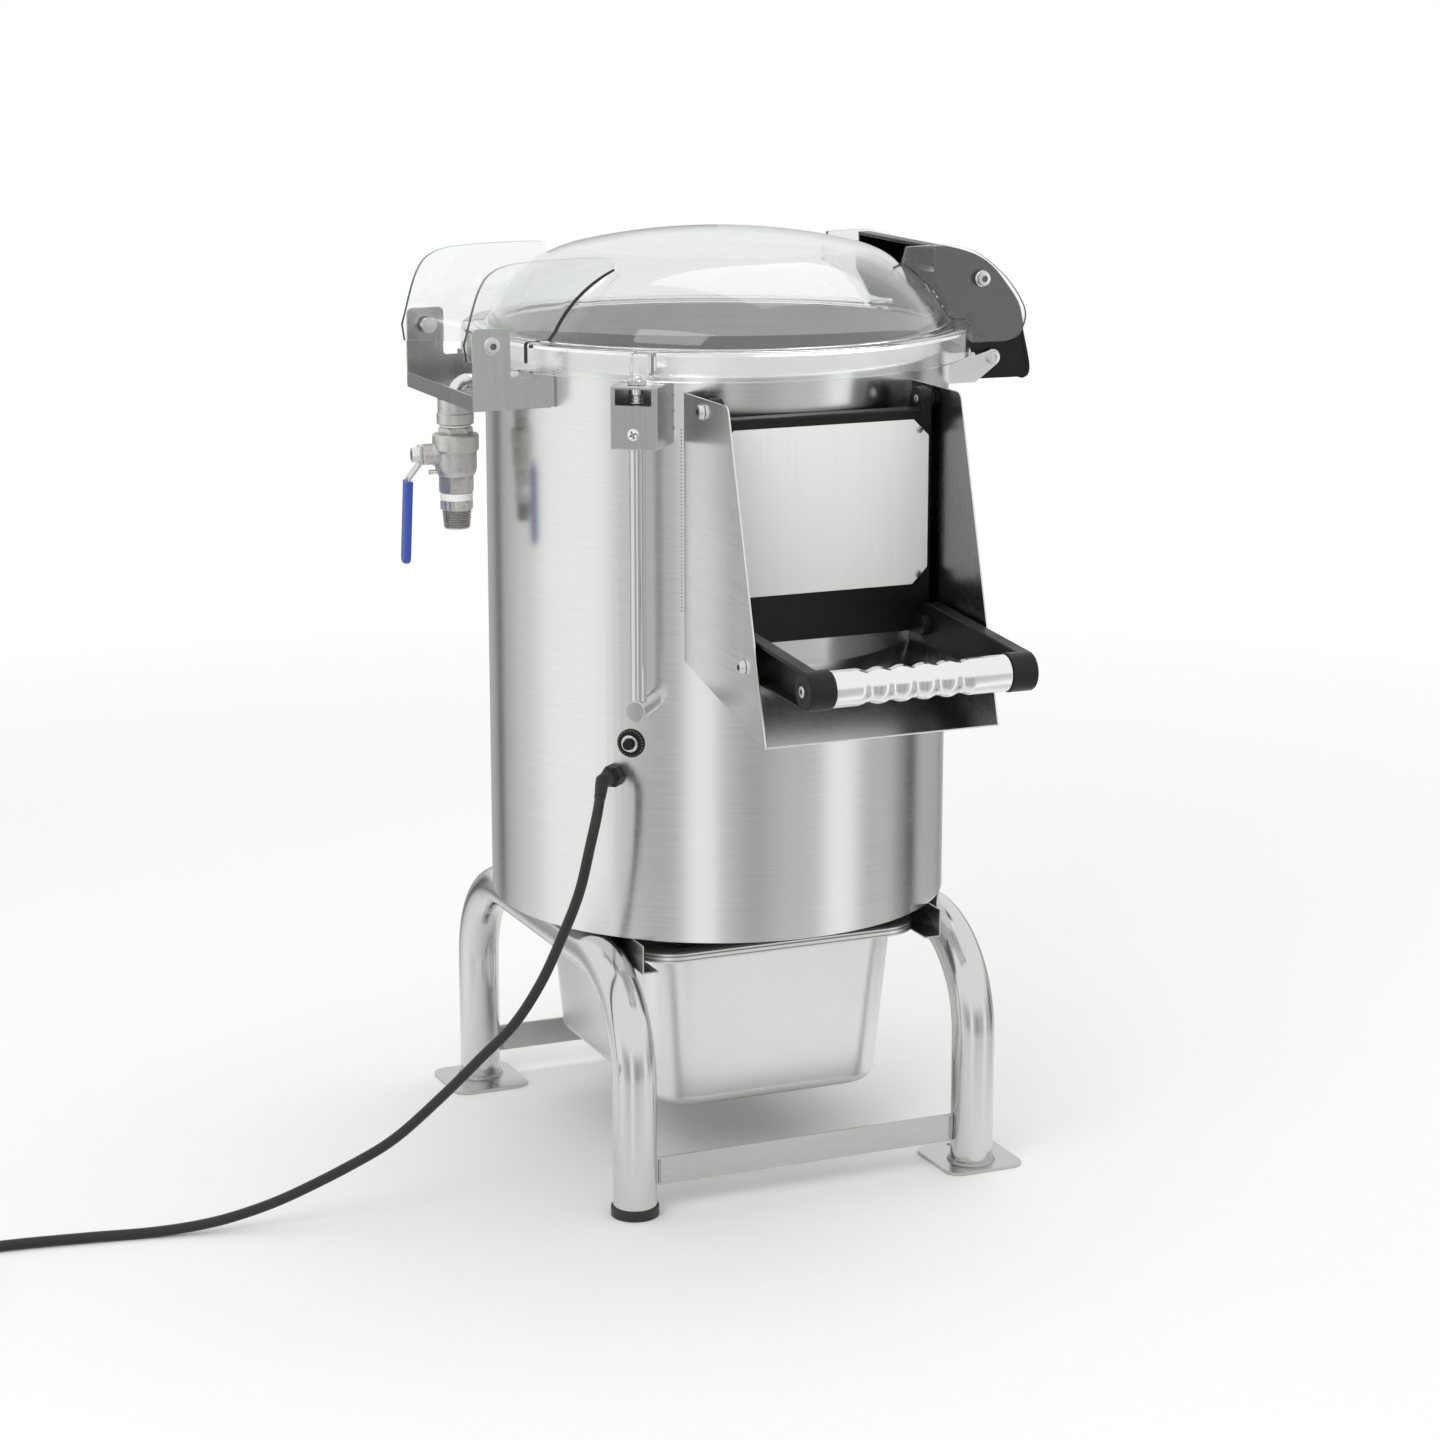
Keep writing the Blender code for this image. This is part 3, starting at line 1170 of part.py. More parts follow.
def make_hinge_bracket(root, looks, drum):
    """The folded bracket at the lid's hinge, open at the top, and the two hinge bolts."""
    middle = BRACKET_OUTSIDE - BRACKET_SHEET / 2
    inside_drum = DRUM_RADIUS * 3 / 4
    ear_x = BRACKET_REACH - BRACKET_EAR_WIDTH
    corners = (
        (-BRACKET_REACH, BRACKET_LOW), (-inside_drum, BRACKET_LOW),
        (-inside_drum, BRACKET_ARM_TOP), (-ear_x, BRACKET_ARM_TOP),
        (-ear_x, BRACKET_EAR_TOP), (-BRACKET_REACH, BRACKET_EAR_TOP),
    )
    outline = rounded(corners, (0, 0, 0, 0, BRACKET_EAR_CORNER, BRACKET_EAR_CORNER))
    hole = circle((HINGE_X, HINGE_Z), HINGE_BOLT_RADIUS + GAP, 12)
    tuck = BRACKET_SHEET / 10
    wide = BRACKET_OUTSIDE - BRACKET_SHEET / 2
    x_low = -BRACKET_REACH + tuck
    bracket = plate("hinge_bracket", outline, BRACKET_SHEET, "XZ", -middle, holes=[hole])
    keep(bracket, looks["steel"], root)
    join(bracket, plate("bracket_rear_ear", outline, BRACKET_SHEET, "XZ", middle, holes=[hole]))
    tray = ((x_low, -wide), (-inside_drum, -wide), (-inside_drum, wide), (x_low, wide))
    inlet = circle((INLET_X, 0), NOZZLE_RADIUS + GAP, 12)
    join(bracket, plate("bracket_tray", tray, BRACKET_SHEET, "XY",
                        BRACKET_LOW + tuck + BRACKET_SHEET / 2, holes=[inlet]))
    shelf = wide - BRACKET_FLANGE_DEPTH
    face = (
        (-wide, BRACKET_LOW + tuck * 2), (wide, BRACKET_LOW + tuck * 2),
        (wide, BRACKET_FLANGE_TOP), (shelf, BRACKET_FLANGE_TOP), (shelf, BRACKET_LIP_TOP),
        (-shelf, BRACKET_LIP_TOP), (-shelf, BRACKET_FLANGE_TOP), (-wide, BRACKET_FLANGE_TOP),
    )
    join(bracket, plate("bracket_face", face, BRACKET_SHEET, "YZ",
                        x_low + tuck + BRACKET_SHEET / 2))
    combine(bracket, drum)
    for side, name in ((-1, "front"), (1, "rear")):
        head_low = BRACKET_OUTSIDE + GAP
        nut_high = WING_INSIDE - GAP
        centre = (HINGE_X, HINGE_Z)
        bolt = rod("hinge_bolt_" + name, HINGE_BOLT_RADIUS,
                   *sorted((side * (nut_high - HINGE_NUT - GAP), side * (head_low + GAP))),
                   "Y", centre, 12)
        keep(bolt, looks["zinc"], root)
        head = rod("hinge_bolt_head_" + name, HINGE_HEAD_RADIUS,
                   *sorted((side * head_low, side * (head_low + HINGE_HEAD))), "Y", centre, 12)
        nut = rod("hinge_bolt_nut_" + name, HINGE_NUT_RADIUS,
                  *sorted((side * (nut_high - HINGE_NUT), side * nut_high)), "Y", centre, 6)
        join(bolt, head, nut)


def make_latch(root, axis, looks, drum):
    """The hooded latch handle between the wings, and the catch that it hooks under."""
    path = wing_outline(LATCH_PATH_SHARES, 1, LATCH_WING_REACH)
    handle = plate("latch_handle", strip(path, LATCH_SHEET), LATCH_HALF_WIDTH * 2, "XZ", 0)
    keep(handle, looks["black"], axis)
    pivot = Vector((LATCH_X, LATCH_Z))
    rod_place = Vector((CATCH_X, CATCH_Z))
    arm = rod_place - pivot
    heading = math.degrees(math.atan2(arm.y, arm.x))
    half_slot = CATCH_ROD_RADIUS + LATCH_SLOT_CLEARANCE
    hook_radius = arm.length + half_slot
    hook_x = CATCH_X - LATCH_HOOK_REACH
    hook_angle = -math.degrees(math.acos((hook_x - LATCH_X) / hook_radius))
    throat_radius = arm.length - half_slot
    throat_x = CATCH_X - LATCH_THROAT_REACH
    throat_angle = -math.degrees(math.acos((throat_x - LATCH_X) / throat_radius))
    hook_z = LID_FLANGE_TOP + WING_RISE * LATCH_HOOK_SHARE
    outline = [(hook_x, hook_z)] + path[::-1]
    outline += wing_outline(LATCH_CHEEK_SHARES, 1, LATCH_WING_REACH)
    outline += arc(pivot, throat_radius, throat_angle, heading, 4)
    outline += arc(rod_place, half_slot, heading + 180, heading, 6)[1:]
    outline += arc(pivot, hook_radius, heading, hook_angle, 4)[1:]
    for side, name in ((-1, "front"), (1, "rear")):
        face = side * (LATCH_HALF_WIDTH - LATCH_INSET)
        cheek = plate("latch_cheek_" + name, outline, LATCH_SHEET, "XZ",
                      face - side * LATCH_SHEET / 2)
        hub = rod("latch_hub_" + name, LATCH_HUB_RADIUS,
                  *sorted((face - side * LATCH_SHEET / 2,
                           face - side * (LATCH_SHEET + LATCH_HUB_DEPTH))),
                  "Y", (LATCH_X, LATCH_Z), 14)
        join(handle, cheek, hub)
    hook = box("latch_hook",
               (hook_x, -LATCH_HALF_WIDTH + LATCH_SHEET, hook_z + LATCH_INSET / 2),
               (CATCH_X, LATCH_HALF_WIDTH - LATCH_SHEET, hook_z + LATCH_SHEET))
    join(handle, hook)
    cut(handle, rod("latch_pin_bore", LATCH_PIN_RADIUS + GAP, -LATCH_HALF_WIDTH - OVERRUN,
                    LATCH_HALF_WIDTH + OVERRUN, "Y", (LATCH_X, LATCH_Z), 12))
    make_catch(root, looks, drum)


def make_catch(root, looks, drum):
    """The fixed catch on the drum: two arms and the rod between them."""
    block_x = math.sqrt(DRUM_RADIUS ** 2 - WING_INSIDE ** 2) + CATCH_BLOCK_REACH * 2
    root_x = block_x - CATCH_BLOCK_REACH * 4
    nose = arc((CATCH_X, CATCH_Z), CATCH_ARM_RADIUS, -60, 125, 6)
    step_z = (CATCH_BLOCK_TOP + CATCH_Z) / 2
    outline = [(root_x, CATCH_BLOCK_LOW), (block_x, CATCH_BLOCK_LOW), *nose,
               (block_x, step_z), (block_x - CATCH_ARM_RADIUS / 4, CATCH_BLOCK_TOP),
               (root_x, CATCH_BLOCK_TOP)]
    middle = WING_INSIDE + CATCH_ARM_THICKNESS / 2
    catch = plate("catch_bracket", outline, CATCH_ARM_THICKNESS, "XZ", -middle)
    keep(catch, looks["steel"], root)
    join(catch, plate("catch_rear_arm", outline, CATCH_ARM_THICKNESS, "XZ", middle))
    outside = WING_INSIDE + CATCH_ARM_THICKNESS
    centre = (CATCH_X, CATCH_Z)
    join(catch, rod("catch_rod", CATCH_ROD_RADIUS, -middle, middle, "Y", centre, 14))
    for side, name in ((-1, "front"), (1, "rear")):
        ends = sorted((side * middle, side * (outside + CATCH_HEAD)))
        join(catch, rod("catch_head_" + name, CATCH_HEAD_RADIUS, *ends, "Y", centre, 14))
    combine(catch, drum)


def make_chute(root, looks, drum):
    """The chute's side plates and sloping floor, with the bolts through its sides."""
    slope = math.atan2(CHUTE_ROOT_Z - CHUTE_MOUTH_Z, CHUTE_MOUTH_REACH - CHUTE_ROOT_REACH)
    inside_drum = CHUTE_ROOT_REACH - CHUTE_TOP_CORNER * 2
    rise = (CHUTE_ROOT_REACH - inside_drum) * math.tan(slope)
    corners = (
        (-inside_drum, CHUTE_TOP), (-CHUTE_TOP_REACH, CHUTE_TOP),
        (-CHUTE_MOUTH_REACH, CHUTE_MOUTH_Z), (-inside_drum, CHUTE_ROOT_Z + rise),
    )
    outline = rounded(corners, (0, CHUTE_TOP_CORNER, 0, 0))
    door_hole = circle((DOOR_HINGE_Y, DOOR_HINGE_Z), DOOR_BOLT_RADIUS + GAP, 12)
    catch_hole = circle((CATCH_BOLT_Y, CATCH_BOLT_Z), DOOR_BOLT_RADIUS + GAP, 12)
    middle = CHUTE_HALF_WIDTH - CHUTE_SHEET / 2
    chute = plate("chute", outline, CHUTE_SHEET, "YZ", -middle, holes=[door_hole, catch_hole])
    keep(chute, looks["steel"], root)
    join(chute, plate("chute_right_side", outline, CHUTE_SHEET, "YZ", middle,
                      holes=[door_hole, catch_hole]))
    lift = CHUTE_SHEET / 8
    root_y = -DRUM_RADIUS * 3 / 4
    root_z = CHUTE_ROOT_Z + (CHUTE_ROOT_REACH + root_y) * math.tan(slope)
    mouth_y = -CHUTE_MOUTH_REACH + CHUTE_SHEET
    mouth_z = CHUTE_ROOT_Z + (CHUTE_ROOT_REACH + mouth_y) * math.tan(slope)
    sheet = strip(((mouth_y, mouth_z + CHUTE_SHEET / 2 + lift),
                   (root_y, root_z + CHUTE_SHEET / 2 + lift)), CHUTE_SHEET)
    join(chute, plate("chute_floor", sheet, middle * 2, "YZ", 0))
    combine(chute, drum)
    outside = CHUTE_HALF_WIDTH + GAP
    inside = CHUTE_HALF_WIDTH - CHUTE_SHEET
    for side, name in ((-1, "left"), (1, "right")):
        centre = (DOOR_HINGE_Y, DOOR_HINGE_Z)
        bolt = rod("door_bolt_" + name, DOOR_BOLT_RADIUS,
                   *sorted((side * DOOR_EAR_INSIDE, side * (outside + GAP))), "X", centre, 12)
        keep(bolt, looks["zinc"], root)
        join(bolt, rod("door_bolt_head_" + name, DOOR_BOLT_HEAD_RADIUS,
                       *sorted((side * outside, side * (outside + DOOR_BOLT_HEAD))), "X",
                       centre, 14))
        centre = (CATCH_BOLT_Y, CATCH_BOLT_Z)
        bolt = rod("catch_bolt_" + name, DOOR_BOLT_RADIUS,
                   *sorted((side * (inside - CATCH_BOLT_LENGTH), side * (outside + GAP))), "X",
                   centre, 12)
        keep(bolt, looks["zinc"], root)
        join(bolt, rod("catch_bolt_head_" + name, CATCH_BOLT_HEAD_RADIUS,
                       *sorted((side * outside, side * (outside + DOOR_BOLT_HEAD))), "X",
                       centre, 14))


def make_door(axis, looks):
    """The door's panel with its hinge ears and lever lugs, and the plate on its face."""
    door = box("door", (-DOOR_HALF_WIDTH, -DOOR_FRONT, DOOR_LOW),
               (DOOR_HALF_WIDTH, -DOOR_FRONT + DOOR_THICKNESS, DOOR_TOP))
    keep(door, looks["black"], axis)
    edge = door.modifiers.new("edge", "BEVEL")
    edge.width = DOOR_EDGE
    edge.segments = 2
    ear_low = DOOR_TOP - DOOR_EAR_RADIUS
    ear = [*arc((DOOR_HINGE_Y, DOOR_HINGE_Z), DOOR_EAR_RADIUS, 0, 180, 8),
           (DOOR_HINGE_Y - DOOR_EAR_RADIUS + DOOR_EDGE, ear_low),
           (DOOR_HINGE_Y + DOOR_EAR_RADIUS - DOOR_EDGE * 2, ear_low)]
    lug = [*arc((LEVER_PIVOT_Y, LEVER_PIVOT_Z), LUG_RADIUS, 90, 270, 6),
           (-DOOR_FRONT + DOOR_EDGE, LEVER_PIVOT_Z - LUG_RADIUS),
           (-DOOR_FRONT + DOOR_EDGE, LEVER_PIVOT_Z + LUG_RADIUS)]
    lug_outside = LEVER_ARM_INSIDE - GAP
    hinge_centre = (DOOR_HINGE_Y, DOOR_HINGE_Z)
    pivot = (LEVER_PIVOT_Y, LEVER_PIVOT_Z)
    spacer_end = CHUTE_HALF_WIDTH - CHUTE_SHEET - GAP
    for side, name in ((-1, "left"), (1, "right")):
        ear_middle = side * (DOOR_EAR_INSIDE + DOOR_EAR_OUTSIDE) / 2
        join(door, plate("door_ear_" + name, ear, DOOR_EAR_OUTSIDE - DOOR_EAR_INSIDE, "YZ",
                         ear_middle))
        join(door, rod("door_spacer_" + name, DOOR_SPACER_RADIUS,
                       *sorted((ear_middle, side * spacer_end)), "X", hinge_centre, 14))
        cut(door, rod("door_bore_" + name, DOOR_BOLT_RADIUS + GAP,
                      *sorted((side * (DOOR_EAR_INSIDE - OVERRUN),
                               side * (spacer_end + OVERRUN))), "X", hinge_centre, 12))
        join(door, plate("lever_lug_" + name, lug, LUG_THICKNESS, "YZ",
                         side * (lug_outside - LUG_THICKNESS / 2)))
        join(door, rod("lever_lug_pin_" + name, LUG_PIN_RADIUS,
                       *sorted((side * (lug_outside - LUG_THICKNESS / 2),
                                side * (lug_outside + LUG_PIN_LENGTH))), "X", pivot, 10))
    half = DOOR_PLATE_HALF_WIDTH
    notch = DOOR_PLATE_CHAMFER
    outline = (
        (-half + notch, DOOR_PLATE_LOW), (half - notch, DOOR_PLATE_LOW),
        (half, DOOR_PLATE_LOW + notch), (half, DOOR_PLATE_TOP - notch),
        (half - notch, DOOR_PLATE_TOP), (-half + notch, DOOR_PLATE_TOP),
        (-half, DOOR_PLATE_TOP - notch), (-half, DOOR_PLATE_LOW + notch),
    )
    cover = plate("door_plate", outline, DOOR_PLATE_THICKNESS, "XZ",
                  -DOOR_FRONT - GAP - DOOR_PLATE_THICKNESS / 2)
    keep(cover, looks["steel"], axis)


def make_lever(axis, looks):
    """The door's lever: two channel arms, their end caps and rod, and the grip."""
    pivot = (LEVER_PIVOT_Y, LEVER_PIVOT_Z)
    grip_centre = (LEVER_GRIP_Y, LEVER_GRIP_Z)
    arm = link(pivot, LEVER_REAR_RADIUS, grip_centre, LEVER_CAP_RADIUS)
    pocket = link(pivot, LEVER_REAR_RADIUS - LEVER_RIM,
                  (LEVER_GRIP_Y + LEVER_CAP_RADIUS * 2, LEVER_GRIP_Z + LEVER_RIM / 2),
                  LEVER_CAP_RADIUS - LEVER_RIM)
    thickness = LEVER_OUTSIDE - LEVER_ARM_INSIDE
    middle = (LEVER_OUTSIDE + LEVER_ARM_INSIDE) / 2
    pocket_depth = thickness - LEVER_WEB
    hole = circle(pivot, LUG_PIN_RADIUS + GAP, 10)
    lever = plate("door_lever", arm, thickness, "YZ", -middle, holes=[hole])
    keep(lever, looks["black"], axis)
    join(lever, plate("lever_right_arm", arm, thickness, "YZ", middle, holes=[hole]))
    for side, name in ((-1, "left"), (1, "right")):
        web_face = LEVER_ARM_INSIDE + LEVER_WEB
        cut(lever, plate("lever_pocket_" + name, pocket, pocket_depth + OVERRUN, "YZ",
                         side * (web_face + (pocket_depth + OVERRUN) / 2)))
        low, high = sorted((side * web_face, side * (LEVER_OUTSIDE + OVERRUN)))
        cut(lever, box("lever_notch_" + name,
                       (low, LEVER_NOTCH_Y, LEVER_PIVOT_Z - LEVER_REAR_RADIUS - OVERRUN),
                       (high, LEVER_PIVOT_Y + LEVER_REAR_RADIUS,
                        LEVER_PIVOT_Z - LEVER_REAR_RADIUS + LEVER_RIM * 2)))
        join(lever, rod("lever_cap_" + name, LEVER_CAP_RADIUS + LEVER_RIM / 10,
                        *sorted((side * LEVER_CAP_INSIDE, side * (LEVER_OUTSIDE - GAP))), "X",
                        grip_centre, 20))
    join(lever, rod("lever_rod", LEVER_ROD_RADIUS, -middle, middle, "X", grip_centre, 12))
    half = LEVER_CAP_INSIDE - GAP
    bore = LEVER_ROD_RADIUS + GAP
    per_wave = 2
    count = GRIP_WAVES * per_wave
    start = half - GRIP_WAVES_RIGHT
    span = half * 2 - GRIP_WAVES_LEFT - GRIP_WAVES_RIGHT
    wavy = []
    for i in range(count + 1):
        x = start - span * i / count
        ripple = (1 - math.cos(2 * math.pi * i / per_wave)) / 2
        wavy.append((GRIP_RADIUS - GRIP_WAVE * ripple, x))
    profile = [(GRIP_RADIUS, half), *wavy, (GRIP_RADIUS, -half), (bore, -half), (bore, half)]
    grip = turned("lever_grip", profile, 20, closed=True, axis="X",
                  location=(0, LEVER_GRIP_Y, LEVER_GRIP_Z))
    keep(grip, looks["grip"], axis)


def make_inlet(root, looks):
    """The water inlet: socket, seals, ball valve, nipple and the spray nozzle."""
    turn = empty("valve_turn", root, (INLET_X, 0, 0), INLET_TURN_DEG)
    axis = empty("valve_axis", turn, (0, 0, VALVE_CENTRE_Z))
    centre = (INLET_X, 0)
    bore = WATERWAY_RADIUS
    socket_top = BRACKET_LOW - GAP
    socket = (
        (SOCKET_RADIUS, socket_top), (SOCKET_RADIUS, SOCKET_COLLAR_Z),
        (SOCKET_COLLAR_RADIUS, SOCKET_COLLAR_Z), (SOCKET_COLLAR_RADIUS, SOCKET_LOW),
        (bore, SOCKET_LOW), (bore, socket_top),
    )
    keep(turned("inlet_socket", socket, 20, closed=True, location=(*centre, 0)),
         looks["cast"], root)
    keep(ring("inlet_seal", INLET_SEAL_RADIUS, bore, VALVE_TOP + GAP, SOCKET_LOW - GAP, 16,
              centre), looks["white"], root)
    keep(ring("nipple_seal", NIPPLE_SEAL_RADIUS, bore, NIPPLE_TOP + GAP, VALVE_LOW - GAP, 16,
              centre), looks["white"], root)
    neck = VALVE_HEX_RADIUS - GAP
    body = turned("valve_body", (
        (0, VALVE_COLLAR_TOP + GAP), (neck, VALVE_COLLAR_TOP + GAP),
        (VALVE_COLLAR_RADIUS, VALVE_COLLAR_TOP - GAP), (VALVE_COLLAR_RADIUS, VALVE_COLLAR_LOW),
        (VALVE_BODY_RADIUS, VALVE_COLLAR_LOW), (VALVE_BODY_RADIUS, VALVE_BODY_LOW + GAP * 5),
        (neck, VALVE_BODY_LOW), (0, VALVE_BODY_LOW),
    ), 20)
    keep(body, looks["cast"], turn, machine_frame=False)
    join(body, rod("valve_hex_top", VALVE_HEX_RADIUS, VALVE_HEX_LOW, VALVE_TOP, sides=6),
         rod("valve_hex_low", VALVE_HEX_RADIUS, VALVE_LOW, VALVE_BODY_LOW + GAP * 8, sides=6),
         rod("valve_boss", VALVE_BOSS_RADIUS, -VALVE_BOSS_REACH, -VALVE_STEM_RADIUS, "X",
             (0, VALVE_CENTRE_Z), 14))
    cut(body, rod("valve_bore", bore, VALVE_LOW - OVERRUN, VALVE_TOP + OVERRUN, sides=14),
        ball("valve_seat", VALVE_BALL_RADIUS + VALVE_SEAT_CLEARANCE, (0, 0, VALVE_CENTRE_Z)),
        rod("valve_stem_hole", VALVE_STEM_RADIUS + GAP, -VALVE_BOSS_REACH - OVERRUN,
            -VALVE_BALL_RADIUS / 2, "X", (0, VALVE_CENTRE_Z), 12))
    strip_x = -VALVE_BOSS_REACH - GAP - LEVER_STRIP / 2
    nut_face = strip_x - LEVER_STRIP / 2
    stem_end = nut_face - LEVER_NUT / 2
    plug = ball("valve_ball", VALVE_BALL_RADIUS, (0, 0, 0))
    keep(plug, looks["zinc"], axis, machine_frame=False)
    join(plug, rod("valve_stem", VALVE_STEM_RADIUS, stem_end, -VALVE_BALL_RADIUS / 2, "X",
                   (0, 0), 12))
    cut(plug, rod("valve_port", VALVE_PORT_RADIUS, -VALVE_BALL_RADIUS - OVERRUN,
                  VALVE_BALL_RADIUS + OVERRUN, sides=12))
    top = LEVER_STRIP_RISE
    knee = (-VALVE_BOSS_REACH - LEVER_STRIP_KNEE_OUT, -LEVER_STRIP_BEND - LEVER_STRIP_KNEE)
    end = (knee[0] - LEVER_STRIP_END_OUT, knee[1] - LEVER_STRIP_LENGTH)
    path = ((strip_x, top), (strip_x, -LEVER_STRIP_BEND), knee, end)
    lever = plate("valve_lever", strip(path, LEVER_STRIP), LEVER_STRIP_WIDTH, "XZ", 0)
    keep(lever, looks["zinc"], axis, machine_frame=False)
    join(lever, rod("lever_nut", LEVER_NUT_RADIUS, nut_face - LEVER_NUT, strip_x, "X", (0, 0), 6))
    cut(lever, rod("lever_stem_hole", VALVE_STEM_RADIUS + GAP, stem_end - GAP,
                   strip_x + OVERRUN, "X", (0, 0), 12))
    along = (Vector(end) - Vector(knee)).normalized()
    sleeve_top = Vector(knee) + along * SLEEVE_START
    sleeve_end = Vector(end) + along * SLEEVE_END
    sleeve = plate("lever_sleeve", strip((sleeve_top, sleeve_end), SLEEVE_THICKNESS),
                   SLEEVE_WIDTH, "XZ", 0)
    keep(sleeve, looks["blue"], axis, machine_frame=False)
    pocket = strip((sleeve_top - along * OVERRUN, Vector(end) + along * GAP),
                   LEVER_STRIP + GAP * 2)
    cut(sleeve, plate("sleeve_pocket", pocket, LEVER_STRIP_WIDTH + GAP * 2, "XZ", 0))
    nipple = (
        (bore, NIPPLE_TOP), (NIPPLE_THREAD_RADIUS, NIPPLE_TOP),
        (NIPPLE_THREAD_RADIUS, NIPPLE_HEX_LOW), (NIPPLE_END_RADIUS, NIPPLE_LOW),
        (bore, NIPPLE_LOW),
    )
    tail = turned("hose_nipple", nipple, 16, closed=True, location=(*centre, 0))
    keep(tail, looks["cast"], root)
    hexagon = ring("nipple_hex", NIPPLE_HEX_RADIUS, NIPPLE_END_RADIUS, NIPPLE_HEX_LOW,
                   NIPPLE_TOP - GAP, 6, centre)
    join(tail, hexagon)
    make_nozzle(root, looks)


def make_nozzle(root, looks):
    """The bent pipe from the socket through the tray and the drum's wall."""
    start = BRACKET_LOW + GAP
    turn_z = NOZZLE_Z - NOZZLE_BEND
    bend = arc((INLET_X + NOZZLE_BEND, turn_z), NOZZLE_BEND, 180, 90, 5)
    middle = [(x, 0, z) for x, z in bend]
    outer = [(INLET_X, 0, start), *middle, (-NOZZLE_TIP, 0, NOZZLE_Z)]
    inner = [(INLET_X, 0, start - OVERRUN), *middle, (-NOZZLE_TIP + OVERRUN, 0, NOZZLE_Z)]
    nozzle = tube("spray_nozzle", outer, NOZZLE_RADIUS, 3, solid=True)
    keep(nozzle, looks["zinc"], root)
    cut(nozzle, tube("nozzle_bore", inner, NOZZLE_BORE, 2, solid=True))


def make_switch(root, looks, drum):
    """The lid switch: its box, guide nut and plunger, and the pipe for its wires."""
    turn = empty("switch_turn", root, (0, 0, 0), SWITCH_TURN_DEG)
    plunger_axis = empty("plunger_slide", turn, (0, -SWITCH_REACH, 0))
    inside = SWITCH_SHEET
    outer = box("switch_box", (SWITCH_LEFT, -SWITCH_FACE, SWITCH_LOW),
                (SWITCH_RIGHT, -DRUM_RADIUS * 3 / 4, SWITCH_TOP))
    keep(outer, looks["steel"], turn, machine_frame=False)
    cut(outer, box("switch_hollow",
                   (SWITCH_LEFT + inside, -SWITCH_FACE + inside, SWITCH_LOW - OVERRUN),
                   (SWITCH_RIGHT - inside, -DRUM_RADIUS * 2 / 3, SWITCH_TOP - inside)),
        box("switch_window", (SWITCH_LEFT + SWITCH_WINDOW_SIDE, -SWITCH_FACE - OVERRUN,
                              SWITCH_WINDOW_LOW),
            (SWITCH_RIGHT - SWITCH_WINDOW_SIDE - SWITCH_SHEET / 2, -SWITCH_FACE + inside + GAP,
             SWITCH_WINDOW_TOP)),
        rod("switch_hole", SWITCH_SLEEVE_RADIUS + GAP, SWITCH_TOP - inside - OVERRUN,
            SWITCH_TOP + OVERRUN, centre=(0, -SWITCH_REACH), sides=12))
    combine(outer, drum)
    running = PLUNGER_RADIUS + GAP
    sleeve_low = SWITCH_TOP - SWITCH_SHEET - SWITCH_SLEEVE
    nut_low = SWITCH_TOP + GAP
    nut = turned("switch_nut", (
        (SWITCH_SLEEVE_RADIUS, nut_low + SWITCH_NUT), (SWITCH_SLEEVE_RADIUS, sleeve_low),
        (running, sleeve_low), (running, nut_low + SWITCH_NUT),
    ), 12, closed=True, location=(0, -SWITCH_REACH, 0))
    keep(nut, looks["zinc"], turn, machine_frame=False)
    join(nut, ring("switch_nut_hex", SWITCH_NUT_RADIUS, SWITCH_SLEEVE_RADIUS - GAP, nut_low,
                   nut_low + SWITCH_NUT - GAP, 6, (0, -SWITCH_REACH)))
    plunger_top = LID_BOSS_LOW - GAP
    plunger = rod("switch_plunger", PLUNGER_RADIUS, plunger_top - PLUNGER_LENGTH, plunger_top,
                  sides=12)
    keep(plunger, looks["zinc"], plunger_axis, machine_frame=False)
    pipe = rod("conduit_pipe", CONDUIT_RADIUS, CONDUIT_LOW, CONDUIT_TOP,
               centre=(0, -SWITCH_REACH), sides=16)
    keep(pipe, looks["steel"], turn, machine_frame=False)
    join(pipe, rod("conduit_end", CONDUIT_END_RADIUS, -CONDUIT_END_REACH,
                   -DRUM_RADIUS * 9 / 10, "Y", (0, CONDUIT_LOW), 20))
    combine(pipe, drum)


def make_breaker(root, looks):
    """The reset breaker: bare ring, nut with its barrel, and the button."""
    turn = empty("breaker_turn", root, (0, 0, 0), BREAKER_TURN_DEG)
    slide = empty("button_slide", turn, (0, 0, BREAKER_Z))
    back = -DRUM_RADIUS - GAP
    ring_face = back - BREAKER_RING
    face = ring_face - GAP - BREAKER_NUT
    bezel = turned("breaker_ring", (
        (BREAKER_RING_RADIUS, BREAKER_RING), (BREAKER_RING_RADIUS, 0),
        (BREAKER_BARREL_RADIUS + GAP, 0), (BREAKER_BARREL_RADIUS + GAP, BREAKER_RING),
    ), 20, closed=True, axis="Y", location=(0, ring_face, BREAKER_Z))
    keep(bezel, looks["black"], turn, machine_frame=False)
    inner = -DRUM_RADIUS + DRUM_WALL + GAP * 3
    bore_end = face + BREAKER_BORE
    body = turned("breaker_body", (
        (0, inner + BREAKER_BODY), (BREAKER_BODY_RADIUS, inner + BREAKER_BODY),
        (BREAKER_BODY_RADIUS, inner), (BREAKER_BARREL_RADIUS, inner),
        (BREAKER_BARREL_RADIUS, ring_face - GAP), (BREAKER_NUT_RADIUS, ring_face - GAP),
        (BREAKER_NUT_RADIUS, face), (BREAKER_BORE_RADIUS, face),
        (BREAKER_BORE_RADIUS, bore_end), (0, bore_end),
    ), 16, axis="Y", location=(0, 0, BREAKER_Z))
    keep(body, looks["zinc"], turn, machine_frame=False)
    button = rod("reset_button", BUTTON_RADIUS, face - BUTTON_PROUD,
                 bore_end - BUTTON_TRAVEL - GAP * 2, "Y", (0, 0), 12)
    keep(button, looks["black"], slide, machine_frame=False)


